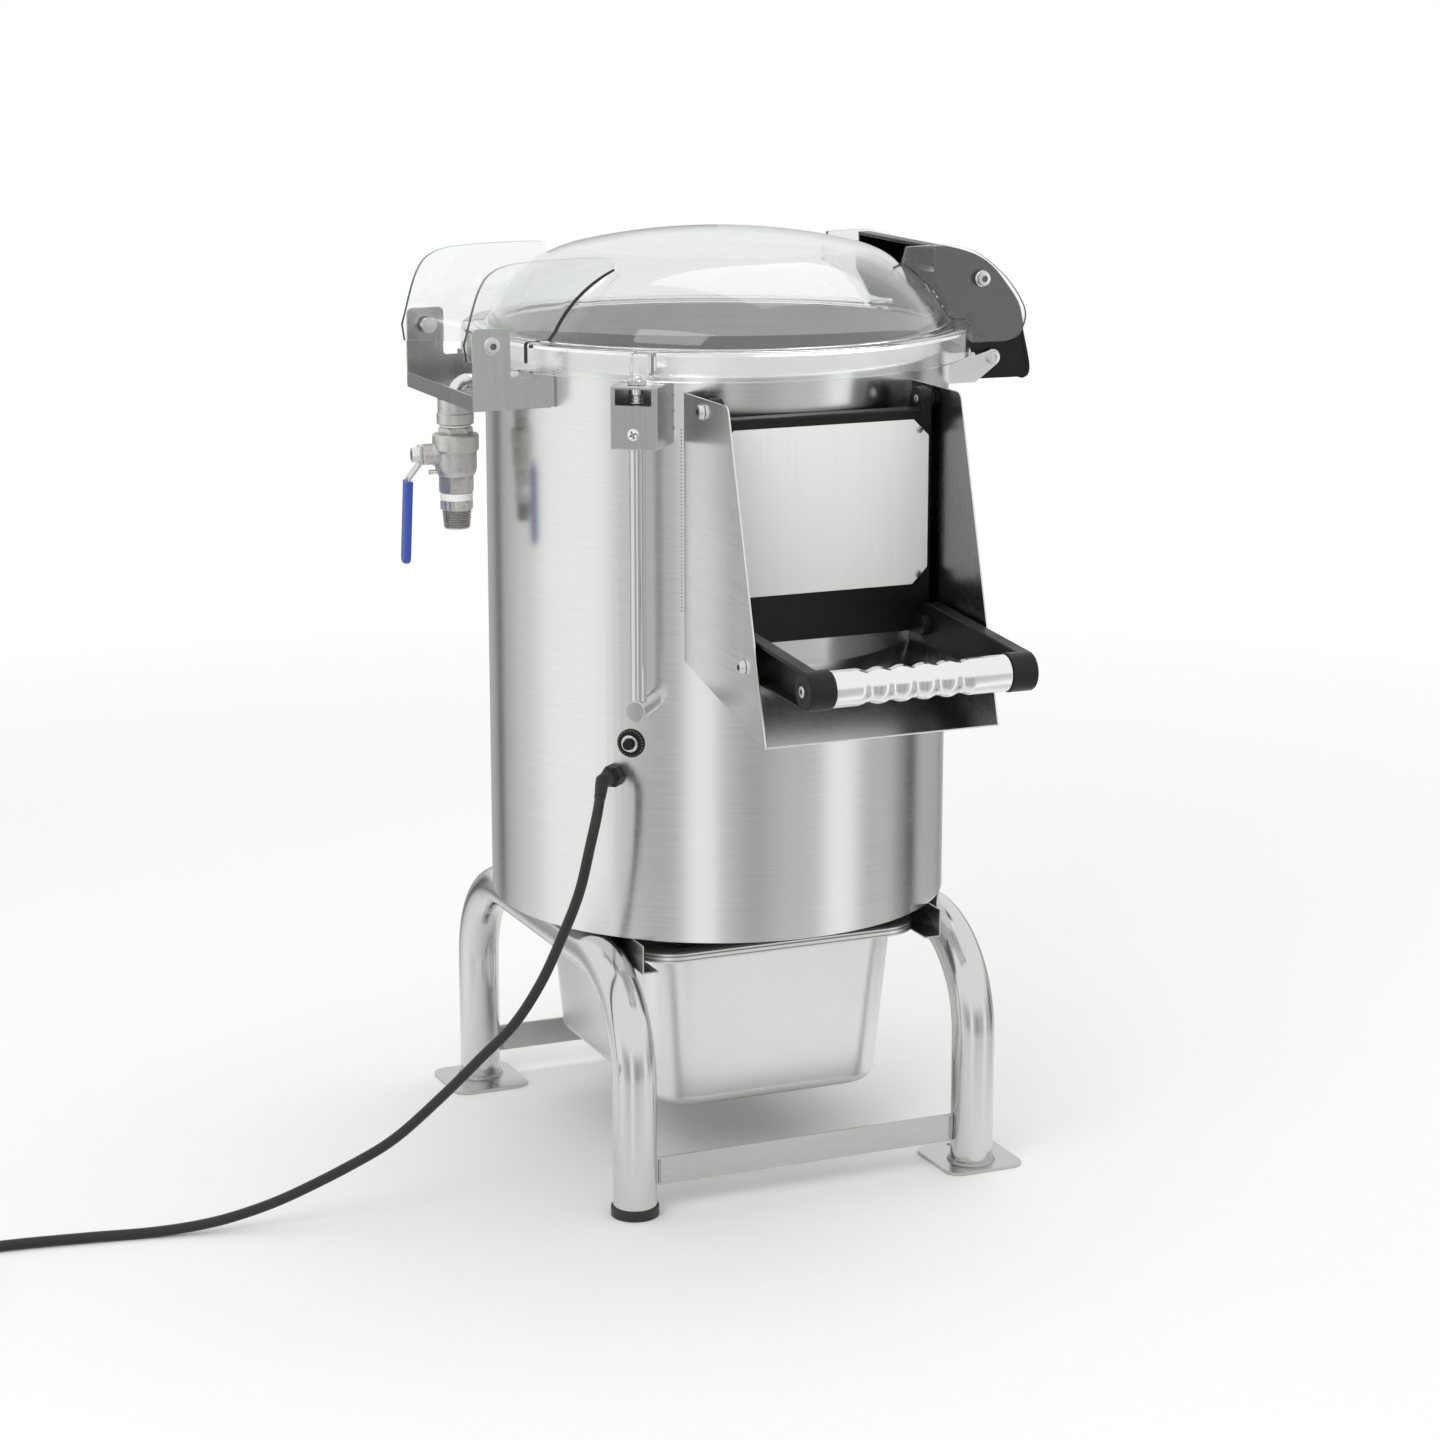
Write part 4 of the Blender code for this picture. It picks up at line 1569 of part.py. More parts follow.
def make_lead(root, looks):
    """The gland, the lead's free stretch, its coil on the floor and the plug."""
    turn = empty("gland_turn", root, (0, 0, 0), GLAND_TURN_DEG)
    back = -DRUM_RADIUS - GAP
    hex_face = back - GLAND_HEX
    nose_face = hex_face - GLAND_NOSE
    gland = rod("cable_gland", GLAND_HEX_RADIUS, hex_face, back, "Y", (0, GLAND_Z), 6)
    keep(gland, looks["black"], turn, machine_frame=False)
    join(gland, rod("gland_nose", GLAND_HEX_RADIUS - GAP * 5, hex_face - GAP, hex_face + GAP,
                    "Y", (0, GLAND_Z), 14),
         rod("gland_cap", GLAND_NOSE_RADIUS, nose_face, hex_face + GAP * 2, "Y",
             (0, GLAND_Z), 14),
         rod("gland_barrel", GLAND_BARREL_RADIUS, back - GAP, back + GLAND_BARREL, "Y",
             (0, GLAND_Z), 20))
    heading = math.radians(GLAND_TURN_DEG - 90)
    out = Vector((math.cos(heading), math.sin(heading), 0))
    exit_point = out * (-nose_face + GAP) + Vector((0, 0, GLAND_Z))
    straight = exit_point + out * CORD_RADIUS * 2
    coil_start = Vector((COIL_X + COIL_LEAD, COIL_Y + COIL_RADIUS, CORD_Z))
    joint = coil_start + Vector((GAP, 0, 0))
    lead_in = joint + Vector((CORD_RADIUS * 4, 0, 0))
    route = smooth([straight, *CORD_ROUTE, lead_in], CORD_STEP)
    points = [tuple(exit_point), *route, tuple(joint)]
    keep(tube("power_cord", points, CORD_RADIUS, 2), looks["cable"], root)
    turns = coil_points()
    coil = [tuple(coil_start), *turns]
    end = Vector(turns[-1])
    tail_z = PLUG_RADIUS + CORD_Z - CORD_RADIUS
    for i in range(1, 6):
        share = i / 5
        rise = (tail_z - end.z) * (3 - 2 * share) * share ** 2
        coil.append((end.x, end.y - (COIL_TAIL - CORD_RADIUS * 3) * share, end.z + rise))
    coil.append((end.x, end.y - COIL_TAIL, tail_z))
    keep(tube("cord_coil", coil, CORD_RADIUS, 1), looks["cable"], root)
    print("cord coil's least gap to itself, mm:", round(coil_gap(coil) * 1000, 2))
    length = sum((Vector(b) - Vector(a)).length
                 for run in (points, coil) for a, b in zip(run, run[1:]))
    print("cord length from gland to plug, m:", round(length, 3))
    make_plug(root, looks, end.x, end.y - COIL_TAIL - GAP, tail_z)


def coil_points():
    """Points along the coil: in along the floor, up a layer where it turns, and out again."""
    points = []
    steps = round(COIL_TURNS * COIL_LOOP_POINTS)
    half = COIL_TURNS / 2
    for i in range(steps + 1):
        turn = COIL_TURNS * i / steps
        radius = COIL_RADIUS - COIL_PITCH * (half - abs(half - turn))
        climb = min(1, max(0, (turn - half) * 2 + 1 / 2))
        angle = math.radians(90) + 2 * math.pi * turn
        points.append((COIL_X + radius * math.cos(angle), COIL_Y + radius * math.sin(angle),
                       CORD_Z + COIL_LAYER * (3 - 2 * climb) * climb ** 2))
    return points


def coil_gap(points):
    """The least gap between stretches of the coil that aren't neighbours along it."""
    fine = []
    for a, b in zip(points, points[1:]):
        a = Vector(a)
        b = Vector(b)
        fine += [a.lerp(b, k / 4) for k in range(4)]
    apart = COIL_LOOP_POINTS * 2
    least = COIL_RADIUS
    for i, here in enumerate(fine):
        for there in fine[i + apart:]:
            least = min(least, (here - there).length - CORD_RADIUS * 2)
    return least


def make_plug(root, looks, x, y, z):
    """A round two-pin mains plug that lies beside the coil."""
    plug = turned("power_plug", (
        (0, 0), (PLUG_NECK_RADIUS, 0), (PLUG_NECK_RADIUS * 5 / 4, -PLUG_NECK),
        (PLUG_RADIUS * 4 / 5, -PLUG_NECK * 8 / 5), (PLUG_RADIUS, -PLUG_LENGTH * 2 / 3),
        (PLUG_RADIUS, -PLUG_LENGTH), (0, -PLUG_LENGTH),
    ), 20, axis="Y", location=(x, y, z))
    keep(plug, looks["black"], root)
    for side, name in ((-1, "left"), (1, "right")):
        join(plug, rod("plug_pin_" + name, PLUG_PIN_RADIUS, y - PLUG_LENGTH - PLUG_PIN_LENGTH,
                       y - PLUG_LENGTH + OVERRUN, "Y", (x + side * PLUG_PIN_SPACING, z), 8))


def centre_on_base(root, loose):
    """Move the machine so that the origin is the middle of its base, leaving out its lead."""
    bpy.context.view_layer.update()
    depsgraph = bpy.context.evaluated_depsgraph_get()
    corners = []
    for thing in PARTS.objects:
        if thing.name not in loose:
            solid = thing.evaluated_get(depsgraph)
            mesh = solid.to_mesh()
            corners += [solid.matrix_world @ vert.co for vert in mesh.vertices]
            solid.to_mesh_clear()
    xs = [corner.x for corner in corners]
    ys = [corner.y for corner in corners]
    root.location = (-(min(xs) + max(xs)) / 2, -(min(ys) + max(ys)) / 2, 0)
    bpy.context.view_layer.update()


def main():
    """Build the machine."""
    clear_scene()
    looks = make_finishes()
    root = bpy.data.objects.new("machine", None)
    GUIDES.objects.link(root)
    drum = drum_cutter(root)
    outlet = outlet_cutter(root)
    lid_hinge = empty("lid_hinge", root, (HINGE_X, 0, HINGE_Z))
    latch_axis = empty("latch_axis", root, (LATCH_X, 0, LATCH_Z))
    door_axis = empty("door_axis", root, (0, DOOR_HINGE_Y, DOOR_HINGE_Z))
    lever_axis = empty("lever_axis", root, (0, LEVER_PIVOT_Y, LEVER_PIVOT_Z))
    make_frame(root, looks)
    make_pan(root, looks)
    make_drum(root, looks, outlet)
    make_drive(root, looks)
    make_lid(root, lid_hinge, looks)
    make_hinge_bracket(root, looks, drum)
    make_latch(root, latch_axis, looks, drum)
    make_chute(root, looks, drum)
    make_door(door_axis, looks)
    make_lever(lever_axis, looks)
    make_inlet(root, looks)
    make_switch(root, looks, drum)
    make_breaker(root, looks)
    make_lead(root, looks)
    centre_on_base(root, ("power_cord", "cord_coil", "power_plug"))


main()
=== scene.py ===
"""Looks of the floor-standing potato peeler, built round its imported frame."""
import logging
import math
from dataclasses import dataclass
from enum import Enum
from typing import Callable, Iterable, Optional, Sequence

import bpy
from mathutils import Matrix, Vector


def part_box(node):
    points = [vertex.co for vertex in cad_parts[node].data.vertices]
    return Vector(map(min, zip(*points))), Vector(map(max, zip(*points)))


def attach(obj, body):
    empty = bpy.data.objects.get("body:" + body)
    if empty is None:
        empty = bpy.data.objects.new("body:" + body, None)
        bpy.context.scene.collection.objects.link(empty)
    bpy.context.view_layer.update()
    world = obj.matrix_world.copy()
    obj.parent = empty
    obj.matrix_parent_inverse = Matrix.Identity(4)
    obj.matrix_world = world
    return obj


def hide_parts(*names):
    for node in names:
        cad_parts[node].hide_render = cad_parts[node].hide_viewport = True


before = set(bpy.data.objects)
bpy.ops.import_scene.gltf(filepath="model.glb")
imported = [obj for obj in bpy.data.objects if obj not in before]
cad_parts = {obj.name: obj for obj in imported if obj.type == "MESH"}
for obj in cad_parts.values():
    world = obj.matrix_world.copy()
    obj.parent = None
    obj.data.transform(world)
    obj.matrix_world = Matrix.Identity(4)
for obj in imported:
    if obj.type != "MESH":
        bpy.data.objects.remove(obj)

logging.basicConfig(level=logging.INFO, format="%(message)s")
LOG = logging.getLogger("peeler")

Point2 = tuple[float, float]
Point3 = tuple[float, float, float]
Sizes = tuple[float, ...]
Outline = tuple[Point2, ...]
Thing = bpy.types.Object
Node = bpy.types.Node
Socket = bpy.types.NodeSocket
EdgeTest = Callable[[Vector, Vector], bool]
Stand = Callable[[Thing, float, float], Thing]

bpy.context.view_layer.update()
DRUM_LOW, DRUM_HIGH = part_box("drum_shell")
# The drum's axis on the floor: pieces are made round it and moved there at the end.
HOME = Vector(((DRUM_LOW.x + DRUM_HIGH.x) / 2, (DRUM_LOW.y + DRUM_HIGH.y) / 2, 0.0))
DRUM_RADIUS = 0.2045
# The gap that is left between pieces that touch.
FIT = 0.0003
SIDES = ((-1, "front"), (1, "rear"))
HANDS = ((-1, "left"), (1, "right"))
LEVEL_BOLT_HOLE = 0.0043


class Grain(Enum):
    """Which way a surface's fine lines run, as stretches along X, Y and Z."""

    EVEN = (1.0, 1.0, 1.0)
    LEVEL = (0.02, 0.02, 1.0)
    UPRIGHT = (1.0, 1.0, 0.02)
    ALONG_X = (0.02, 1.0, 1.0)
    ALONG_Y = (1.0, 0.02, 1.0)


class Facing(Enum):
    """The way that a round piece, made standing on Z, points in the machine."""

    LEFT = (-1.0, 0.0, 0.0)
    RIGHT = (1.0, 0.0, 0.0)
    FRONT = (0.0, -1.0, 0.0)
    BACK = (0.0, 1.0, 0.0)


# Shader nodes


@dataclass
class Wiring:
    """A node tree, with short ways to add nodes to it."""

    tree: bpy.types.NodeTree

    def feed(self, node: Node, inputs: dict) -> Node:
        """Link or set a node's inputs by name or number, and return the node."""
        for key, value in inputs.items():
            if isinstance(value, Socket):
                self.tree.links.new(value, node.inputs[key])
            else:
                node.inputs[key].default_value = value
        return node

    def add(self, kind: str, inputs: Optional[dict] = None, **settings: object) -> Node:
        """Add a node.

        Args:
            kind: Its type, without the ShaderNode that all of them start with.
            inputs: What its inputs are fed.
            **settings: Its own settings by name.

        Returns:
            The new node.
        """
        node = self.tree.nodes.new("ShaderNode" + kind)
        for key, value in settings.items():
            setattr(node, key, value)
        return self.feed(node, inputs or {})

    def place(self) -> Socket:
        """Return the place on the object."""
        return self.add("TexCoord").outputs["Object"]

    def noise(self, vector: Socket, scale: float, detail: float, roughness: float = 0.5) -> Socket:
        """Return a noise that reads a place: its scale, its finer layers and their strength."""
        return self.add("TexNoise", {"Vector": vector, "Scale": scale, "Detail": detail,
                                     "Roughness": roughness}).outputs["Fac"]

    def spread(self, source: Socket, low: float, high: float, to_low: float = 0.0,
               to_high: float = 1.0) -> Socket:
        """Return a value stretched from low and high to two other limits."""
        return self.add("MapRange", {"Value": source, "From Min": low, "From Max": high,
                                     "To Min": to_low, "To Max": to_high}).outputs["Result"]

    def calc(self, how: str, first: Socket, second: Socket | float = 0.0) -> Socket:
        """Return the result of a Math node's operation on one or two values."""
        return self.add("Math", {0: first, 1: second}, operation=how).outputs["Value"]

    def tint(self, factor: Socket, first: Point3 | Socket, second: Point3 | Socket) -> Socket:
        """Mix two colours, plain or from sockets, by how much of the second shows."""
        ends = {key: value if isinstance(value, Socket) else (*value, 1.0)
                for key, value in (("A", first), ("B", second))}
        return self.add("Mix", {"Factor": factor, **ends}, data_type="RGBA").outputs["Result"]

    def shared(self, group: bpy.types.NodeTree, vector: Socket) -> bpy.types.NodeOutputs:
        """Place a shared group that reads a place, and return its outputs."""
        return self.add("Group", {"Vector": vector}, node_tree=group).outputs

    def bump(self, height: Socket, distance: float, strength: float = 1.0) -> Socket:
        """Return the normal that a height gives, its distance being in metres."""
        return self.add("Bump", {"Height": height, "Distance": distance,
                                 "Strength": strength}).outputs["Normal"]


def new_group(name: str, inputs: dict[str, float | None],
              outputs: Sequence[str]) -> tuple[Wiring, bpy.types.NodeOutputs, Node]:
    """Start a shader node group that several finishes share.

    Args:
        name: The group's name.
        inputs: Each input's name and its value, or None for a vector.
        outputs: The names of the values that it puts out.

    Returns:
        The group's wiring, the values that come in, and the node that they leave by.
    """
    tree = bpy.data.node_groups.new(name, "ShaderNodeTree")
    for label, value in inputs.items():
        kind = "NodeSocketVector" if value is None else "NodeSocketFloat"
        socket = tree.interface.new_socket(name=label, in_out="INPUT", socket_type=kind)
        if value is not None:
            socket.default_value = value
    for label in outputs:
        tree.interface.new_socket(name=label, in_out="OUTPUT", socket_type="NodeSocketFloat")
    start = tree.nodes.new("NodeGroupInput")
    return Wiring(tree), start.outputs, tree.nodes.new("NodeGroupOutput")


def make_polish_lines() -> bpy.types.NodeTree:
    """Build the group of fine lines that a belt or mop leaves, broken up along their length."""
    wires, given, end = new_group(
        "polish_lines", {"Vector": None, "Strength": 1.0}, ("Lines", "Height"))
    fine = wires.calc("MULTIPLY", wires.noise(given["Vector"], 1500.0, 3.0, 0.65), 0.6)
    broad = wires.calc("MULTIPLY", wires.noise(given["Vector"], 420.0, 2.0), 0.4)
    lines = wires.spread(wires.calc("ADD", fine, broad), 0.32, 0.68)
    wires.feed(end, {"Lines": lines, "Height": wires.calc("MULTIPLY", lines, given["Strength"])})
    return wires.tree


def make_handling() -> bpy.types.NodeTree:
    """Build the group of soft smudges and small specks that use leaves on a surface."""
    wires, given, end = new_group("handling_marks", {"Vector": None}, ("Smudge", "Speck"))
    cloud = wires.noise(given["Vector"], 14.0, 5.0, 0.6)
    dots = wires.noise(given["Vector"], 420.0, 1.0, 0.4)
    wires.feed(
        end, {"Smudge": wires.spread(cloud, 0.38, 0.66), "Speck": wires.spread(dots, 0.66, 0.74)})
    return wires.tree


def make_wear_and_shade() -> bpy.types.NodeTree:
    """Build the group that marks worn edges, and the hollow corners that get painted shade."""
    wires, given, end = new_group("wear_and_crevice_shade", {"Vector": None}, ("Wear", "CreviceShade"))
    bend = wires.add("NewGeometry").outputs["Pointiness"]
    patchy = wires.spread(wires.noise(given["Vector"], 55.0, 4.0, 0.7), 0.35, 0.6)
    # The crevice output is painted shade: it rises where pointiness is low, in hollows.
    wires.feed(end, {"Wear": wires.calc("MULTIPLY", wires.spread(bend, 0.52, 0.6), patchy),
                     "CreviceShade": wires.spread(bend, 0.41, 0.495, 1.0, 0.0)})
    return wires.tree


POLISH_LINES = make_polish_lines()
HANDLING = make_handling()
WEAR_AND_SHADE = make_wear_and_shade()


# Finishes


def shade(colour: Point3, level: float) -> Point3:
    """Return a colour made lighter or darker, capped at white."""
    return tuple(min(1.0, part * level) for part in colour)


@dataclass(frozen=True)
class Surface:
    """What every finish has: its name, its slot, and a material made on its first use."""

    name: str
    slot: str

    def material(self) -> bpy.types.Material:
        """Return this finish's material, made on its first use."""
        look = bpy.data.materials.get(self.name)
        if look is None:
            look = bpy.data.materials.new(self.name)
            look.use_nodes = True
            self.mix(Wiring(look.node_tree), look.node_tree.nodes["Principled BSDF"])
        return look

    def mix(self, wires: Wiring, shader: Node) -> None:
        """Build the nodes of the material, each kind of finish in its own way."""
        raise NotImplementedError


@dataclass(frozen=True)
class Finish(Surface):
    """One opaque finish.

    The colour swings by mottle along the grain, the roughness by smudge where hands
    have been, relief is the depth of the grain in metres, and wear is how far edges
    have gone towards the worn colour; a finish with wear also gets painted shade, which
    darkens its hollow corners. Each entry of the shade bands is a height, a reach on
    both sides of it and how strongly painted shade darkens the colour there.
    """

    colour: Point3
    roughness: float
    metallic: float = 0.0
    grain: Grain = Grain.EVEN
    fineness: float = 1.0
    mottle: float = 0.06
    smudge: float = 0.04
    relief: float = 0.00002
    wear: float = 0.0
    worn: Point3 = (0.8, 0.8, 0.8)
    coat: float = 0.0
    sheen: float = 0.0
    specular: float = 0.5
    shade_bands: tuple[Point3, ...] = ()

    def mix(self, wires: Wiring, shader: Node) -> None:
        """Build the material's nodes: its grain, the marks of use, its wear with painted shade in
        hollows, and its painted shade bands.

        Args:
            wires: The material's node tree.
            shader: Its main shader.
        """
        place, low, high = wires.place(), 1 - self.mottle, 1 + self.mottle
        turn = wires.add(
            "Mapping", {"Vector": place, "Scale": Vector(self.grain.value) * self.fineness})
        lines = wires.shared(POLISH_LINES, turn.outputs["Vector"])
        smudge = wires.shared(HANDLING, place)["Smudge"]
        colour = wires.tint(lines["Lines"], shade(self.colour, low), shade(self.colour, high))
        colour = wires.tint(
            wires.calc("MULTIPLY", smudge, self.smudge * 2), colour, shade(self.colour, 0.8))
        rough = wires.spread(
            smudge, 0.0, 1.0, self.roughness - self.smudge, self.roughness + self.smudge)
        rough = wires.calc("ADD", rough, wires.calc("MULTIPLY", lines["Lines"], 0.05))
        if self.wear:
            rubbed_and_shaded = wires.shared(WEAR_AND_SHADE, place)
            colour = wires.tint(
                wires.calc("MULTIPLY", rubbed_and_shaded["Wear"], self.wear), colour, self.worn)
            # Painted shade: hollow corners, found by pointiness, darken to a quarter of the
            # colour.
            colour = wires.tint(rubbed_and_shaded["CreviceShade"], colour, shade(self.colour, 0.25))
        # Painted shade: each band darkens the colour towards near black round its height.
        for height, reach, strength in self.shade_bands:
            level = wires.add("SeparateXYZ", {0: place}).outputs["Z"]
            off = wires.calc("ABSOLUTE", wires.calc("SUBTRACT", level, height))
            colour = wires.tint(
                wires.spread(off, 0.0, reach, strength, 0.0), colour, shade(self.colour, 0.06))
        wires.feed(shader, {
            "Base Color": colour, "Roughness": rough, "Metallic": self.metallic,
            "Specular IOR Level": self.specular, "Coat Weight": self.coat, "Coat Roughness": 0.12,
            "Sheen Weight": self.sheen, "Normal": wires.bump(lines["Height"], self.relief)})


@dataclass(frozen=True)
class ClearPlastic(Surface):
    """The lid's clear moulding, with a faint cool tint and hairline scratches."""

    name: str = "clear_lid_plastic"
    slot: str = "clear_acrylic"
    colour: Point3 = (0.955, 0.968, 0.968)
    roughness: float = 0.015

    def mix(self, wires: Wiring, shader: Node) -> None:
        """Build the clear material's nodes.

        Args:
            wires: The material's node tree.
            shader: Its main shader.
        """
        place = wires.place()
        marks = wires.shared(HANDLING, place)
        wires.feed(shader, {
            "Base Color": wires.tint(marks["Speck"], self.colour, shade(self.colour, 0.93)),
            "Roughness": wires.spread(marks["Smudge"], 0.0, 1.0, self.roughness,
                                      self.roughness + 0.02),
            "Transmission Weight": 1.0, "IOR": 1.49, "Coat Weight": 0.8, "Coat IOR": 1.6,
            "Coat Roughness": 0.02,
            "Normal": wires.bump(wires.noise(place, 22.0, 2.0), 0.0002, 0.25)})


@dataclass(frozen=True)
class Grit(Surface):
    """The coarse abrasive coat on the disc and on the drum's liner."""

    name: str = "abrasive_grit"
    slot: str = "abrasive"
    bond: Point3 = (0.16, 0.16, 0.17)
    crystal: Point3 = (0.46, 0.46, 0.48)

    def mix(self, wires: Wiring, shader: Node) -> None:
        """Build the grit's nodes: pale crystals in a dark bond, and brown dust.

        Args:
            wires: The material's node tree.
            shader: Its main shader.
        """
        place = wires.place()
        grains = wires.add("TexVoronoi", {"Vector": place, "Scale": 620.0})
        dust = wires.calc("MULTIPLY", wires.shared(HANDLING, place)["Smudge"], 0.3)
        near = wires.spread(grains.outputs["Distance"], 0.05, 0.55, 1.0, 0.0)
        colour = wires.tint(near, self.bond, self.crystal)
        wires.feed(shader, {"Base Color": wires.tint(dust, colour, (0.16, 0.13, 0.1)),
                            "Roughness": wires.spread(near, 0.0, 1.0, 0.95, 0.55),
                            "Normal": wires.bump(near, 0.0009)})


STEEL: Point3 = (0.8, 0.8, 0.79)
DRUM_STEEL = Finish(
    "drum_brushed_steel", "stainless", STEEL, 0.175, 1.0, Grain.LEVEL, 1.0, 0.03, 0.012, 0.0000035)
PLATE_STEEL = Finish("plate_brushed_steel", "stainless", (0.62, 0.62, 0.61), 0.22, 1.0,
                     Grain.UPRIGHT, 1.0, 0.05, 0.015, 0.000006)
# Painted light: a near-white, barely metallic copy of the drum steel for the drum's inner wall,
# lighter to stand in for the light inside the drum.
INNER_LIT_STEEL = Finish("drum_inner_painted_light", "stainless", (0.98, 0.98, 0.97), 0.3, 0.1, Grain.LEVEL,
                     0.4, 0.1, 0.03, 0.00001)
# Painted shade: a dark copy of the chute steel for the inner faces of the chute's side plates.
SHADED_STEEL = Finish("chute_inner_painted_shade", "stainless", (0.27, 0.27, 0.27), 0.24, 1.0,
                      Grain.UPRIGHT, 1.0, 0.1, 0.03, 0.00001)
CHUTE_STEEL = Finish(
    "chute_brushed_steel", "stainless", STEEL, 0.2, 1.0, Grain.ALONG_Y, 0.8, 0.04, 0.012, 0.000006)
FACE_STEEL = Finish("door_face_steel", "stainless", (0.93, 0.93, 0.92), 0.42, 0.1, Grain.UPRIGHT,
                    0.6, 0.025, 0.01, 0.00001)
BAR_STEEL = Finish("stretcher_steel", "stainless", (0.56, 0.56, 0.55), 0.26, 1.0, Grain.ALONG_X,
                   1.0, 0.02, 0.01, 0.000003)
TUBE_STEEL = Finish("satin_tube_steel", "satin_tube", (0.7, 0.695, 0.685), 0.13, 1.0, Grain.EVEN,
                    0.8, 0.03, 0.02, 0.000003)
# Painted shade: the pan's bands darken its foot rounding and two thin lines just under its rim.
PAN_STEEL = Finish("drawn_pan_steel", "pan_stainless", (0.84, 0.84, 0.83), 0.3, 1.0, Grain.EVEN,
                   0.7, 0.02, 0.02, 0.000004,
                   shade_bands=((HOME.z + 0.0625, 0.011, 0.55), (HOME.z + 0.2122, 0.0011, 0.95),
                        (HOME.z + 0.2085, 0.0009, 0.8)))
WELD_STEEL = Finish(
    "weld_steel", "stainless", (0.45, 0.44, 0.42), 0.34, 1.0, Grain.EVEN, 0.5, 0.16, 0.08, 0.00008)
BRIGHT_STEEL = Finish("bright_fastener_steel", "fastener", (0.84, 0.84, 0.83), 0.17, 1.0,
                      Grain.EVEN, 1.2, 0.05, 0.04, 0.00001, wear=0.4, worn=(0.95, 0.95, 0.94))
CAST_STEEL = Finish("cast_valve_steel", "cast_stainless", (0.62, 0.61, 0.59), 0.33, 1.0,
                    Grain.EVEN, 0.9, 0.14, 0.07, 0.00012, wear=0.5, worn=(0.86, 0.85, 0.83))
GRIP_METAL = Finish("polished_grip_metal", "polished_aluminium", (0.9, 0.9, 0.91), 0.1, 1.0,
                    Grain.UPRIGHT, 0.5, 0.02, 0.03, 0.000006)
BLACK_MOULDING = Finish(
    "black_moulding", "black_plastic", (0.008, 0.008, 0.009), 0.38, 0.0, Grain.EVEN, 0.9, 0.25,
    0.08, 0.00003, wear=0.2, worn=(0.04, 0.04, 0.04), specular=0.3)
BLACK_PAINT = Finish(
    "black_coated_sheet", "black_plastic", (0.006, 0.006, 0.007), 0.3, 0.0, Grain.EVEN, 0.7, 0.2,
    0.08, 0.00002, wear=0.25, worn=(0.05, 0.05, 0.05), specular=0.3)
SOFT_RUBBER = Finish("soft_black_rubber", "rubber", (0.018, 0.018, 0.019), 0.62, 0.0, Grain.EVEN,
                     0.8, 0.3, 0.1, 0.00006, sheen=0.1)
CABLE_JACKET = Finish(
    "cable_jacket", "cable", (0.013, 0.013, 0.014), 0.34, 0.0, Grain.EVEN, 0.6, 0.2, 0.06, 0.00002)
WHITE_NYLON = Finish("white_seal_nylon", "white_seal", (0.88, 0.88, 0.86), 0.42, 0.0, Grain.EVEN,
                     0.5, 0.03, 0.05, 0.00002)
BLUE_VINYL = Finish("blue_dipped_vinyl", "blue_vinyl", (0.032, 0.078, 0.4), 0.36, 0.0, Grain.EVEN,
                    0.5, 0.12, 0.08, 0.00005, coat=0.15)
DARK_IRON = Finish("painted_drive_iron", "painted_iron", (0.16, 0.17, 0.19), 0.42, 0.2, Grain.EVEN,
                   0.6, 0.15, 0.1, 0.00006, wear=0.6, worn=(0.5, 0.5, 0.5))
PALE_PRINT = Finish("pale_tick_print", "black_plastic", (0.75, 0.75, 0.74), 0.5, 0.0, Grain.EVEN,
                    0.5, 0.05, 0.05, 0.00001)
CLEAR_LID = ClearPlastic()
GRIT = Grit()


# A maker's hand tools

# Points closer than this are one, and a gap with more edges than this is meant to be open.
SAME_POINT = 0.000002
LARGEST_GAP = 36


def enter_edit() -> None:
    """Enter edit mode."""
    bpy.ops.object.mode_set(mode="EDIT")


def leave_edit() -> None:
    """Leave edit mode."""
    bpy.ops.object.mode_set(mode="OBJECT")


def deselect() -> None:
    """Leave edit mode and let go of everything."""
    if bpy.context.object and bpy.context.object.mode != "OBJECT":
        leave_edit()
    bpy.ops.object.select_all(action="DESELECT")


def pick(thing: Thing) -> Thing:
    """Select one object alone and make it active."""
    deselect()
    thing.select_set(True)
    bpy.context.view_layer.objects.active = thing
    return thing


def fresh(name: str) -> Thing:
    """Name the object that an operator has just added, and its mesh, and return it."""
    thing = bpy.context.object
    thing.name = name
    thing.data.name = name
    return thing


def edit(kind: str = "VERT", action: str = "SELECT") -> None:
    """Enter edit mode, pick what is selected by kind, and select or deselect it all."""
    enter_edit()
    bpy.ops.mesh.select_mode(type=kind)
    bpy.ops.mesh.select_all(action=action)


def edit_all_outwards() -> None:
    """Point every face of the mesh in edit mode outwards, and leave edit mode."""
    bpy.ops.mesh.select_all(action="SELECT")
    bpy.ops.mesh.normals_make_consistent(inside=False)
    leave_edit()


def tidy(thing: Thing, angle: float = 35.0) -> Thing:
    """Merge doubles, point every face outwards and smooth what isn't an edge.

    Args:
        thing: The object.
        angle: Faces that meet at more than this many degrees stay crisp.

    Returns:
        The same object.
    """
    pick(thing)
    edit()
    bpy.ops.mesh.remove_doubles(threshold=SAME_POINT)
    edit_all_outwards()
    bpy.ops.object.shade_smooth_by_angle(angle=math.radians(angle))
    return thing


def pull(x: float, y: float, z: float) -> None:
    """Extrude the selected edges by a shift."""
    bpy.ops.mesh.extrude_edges_move(TRANSFORM_OT_translate={"value": (x, y, z)})


def mark_edges(thing: Thing, wanted: EdgeTest) -> None:
    """Select in code the edges that a test accepts, and enter edit mode on them.

    Args:
        thing: The object.
        wanted: A test of an edge's two ends, as vectors.
    """
    pick(thing)
    edit("EDGE", "DESELECT")
    leave_edit()
    points = thing.data.vertices
    for line in thing.data.edges:
        line.select = bool(wanted(points[line.vertices[0]].co, points[line.vertices[1]].co))
    enter_edit()


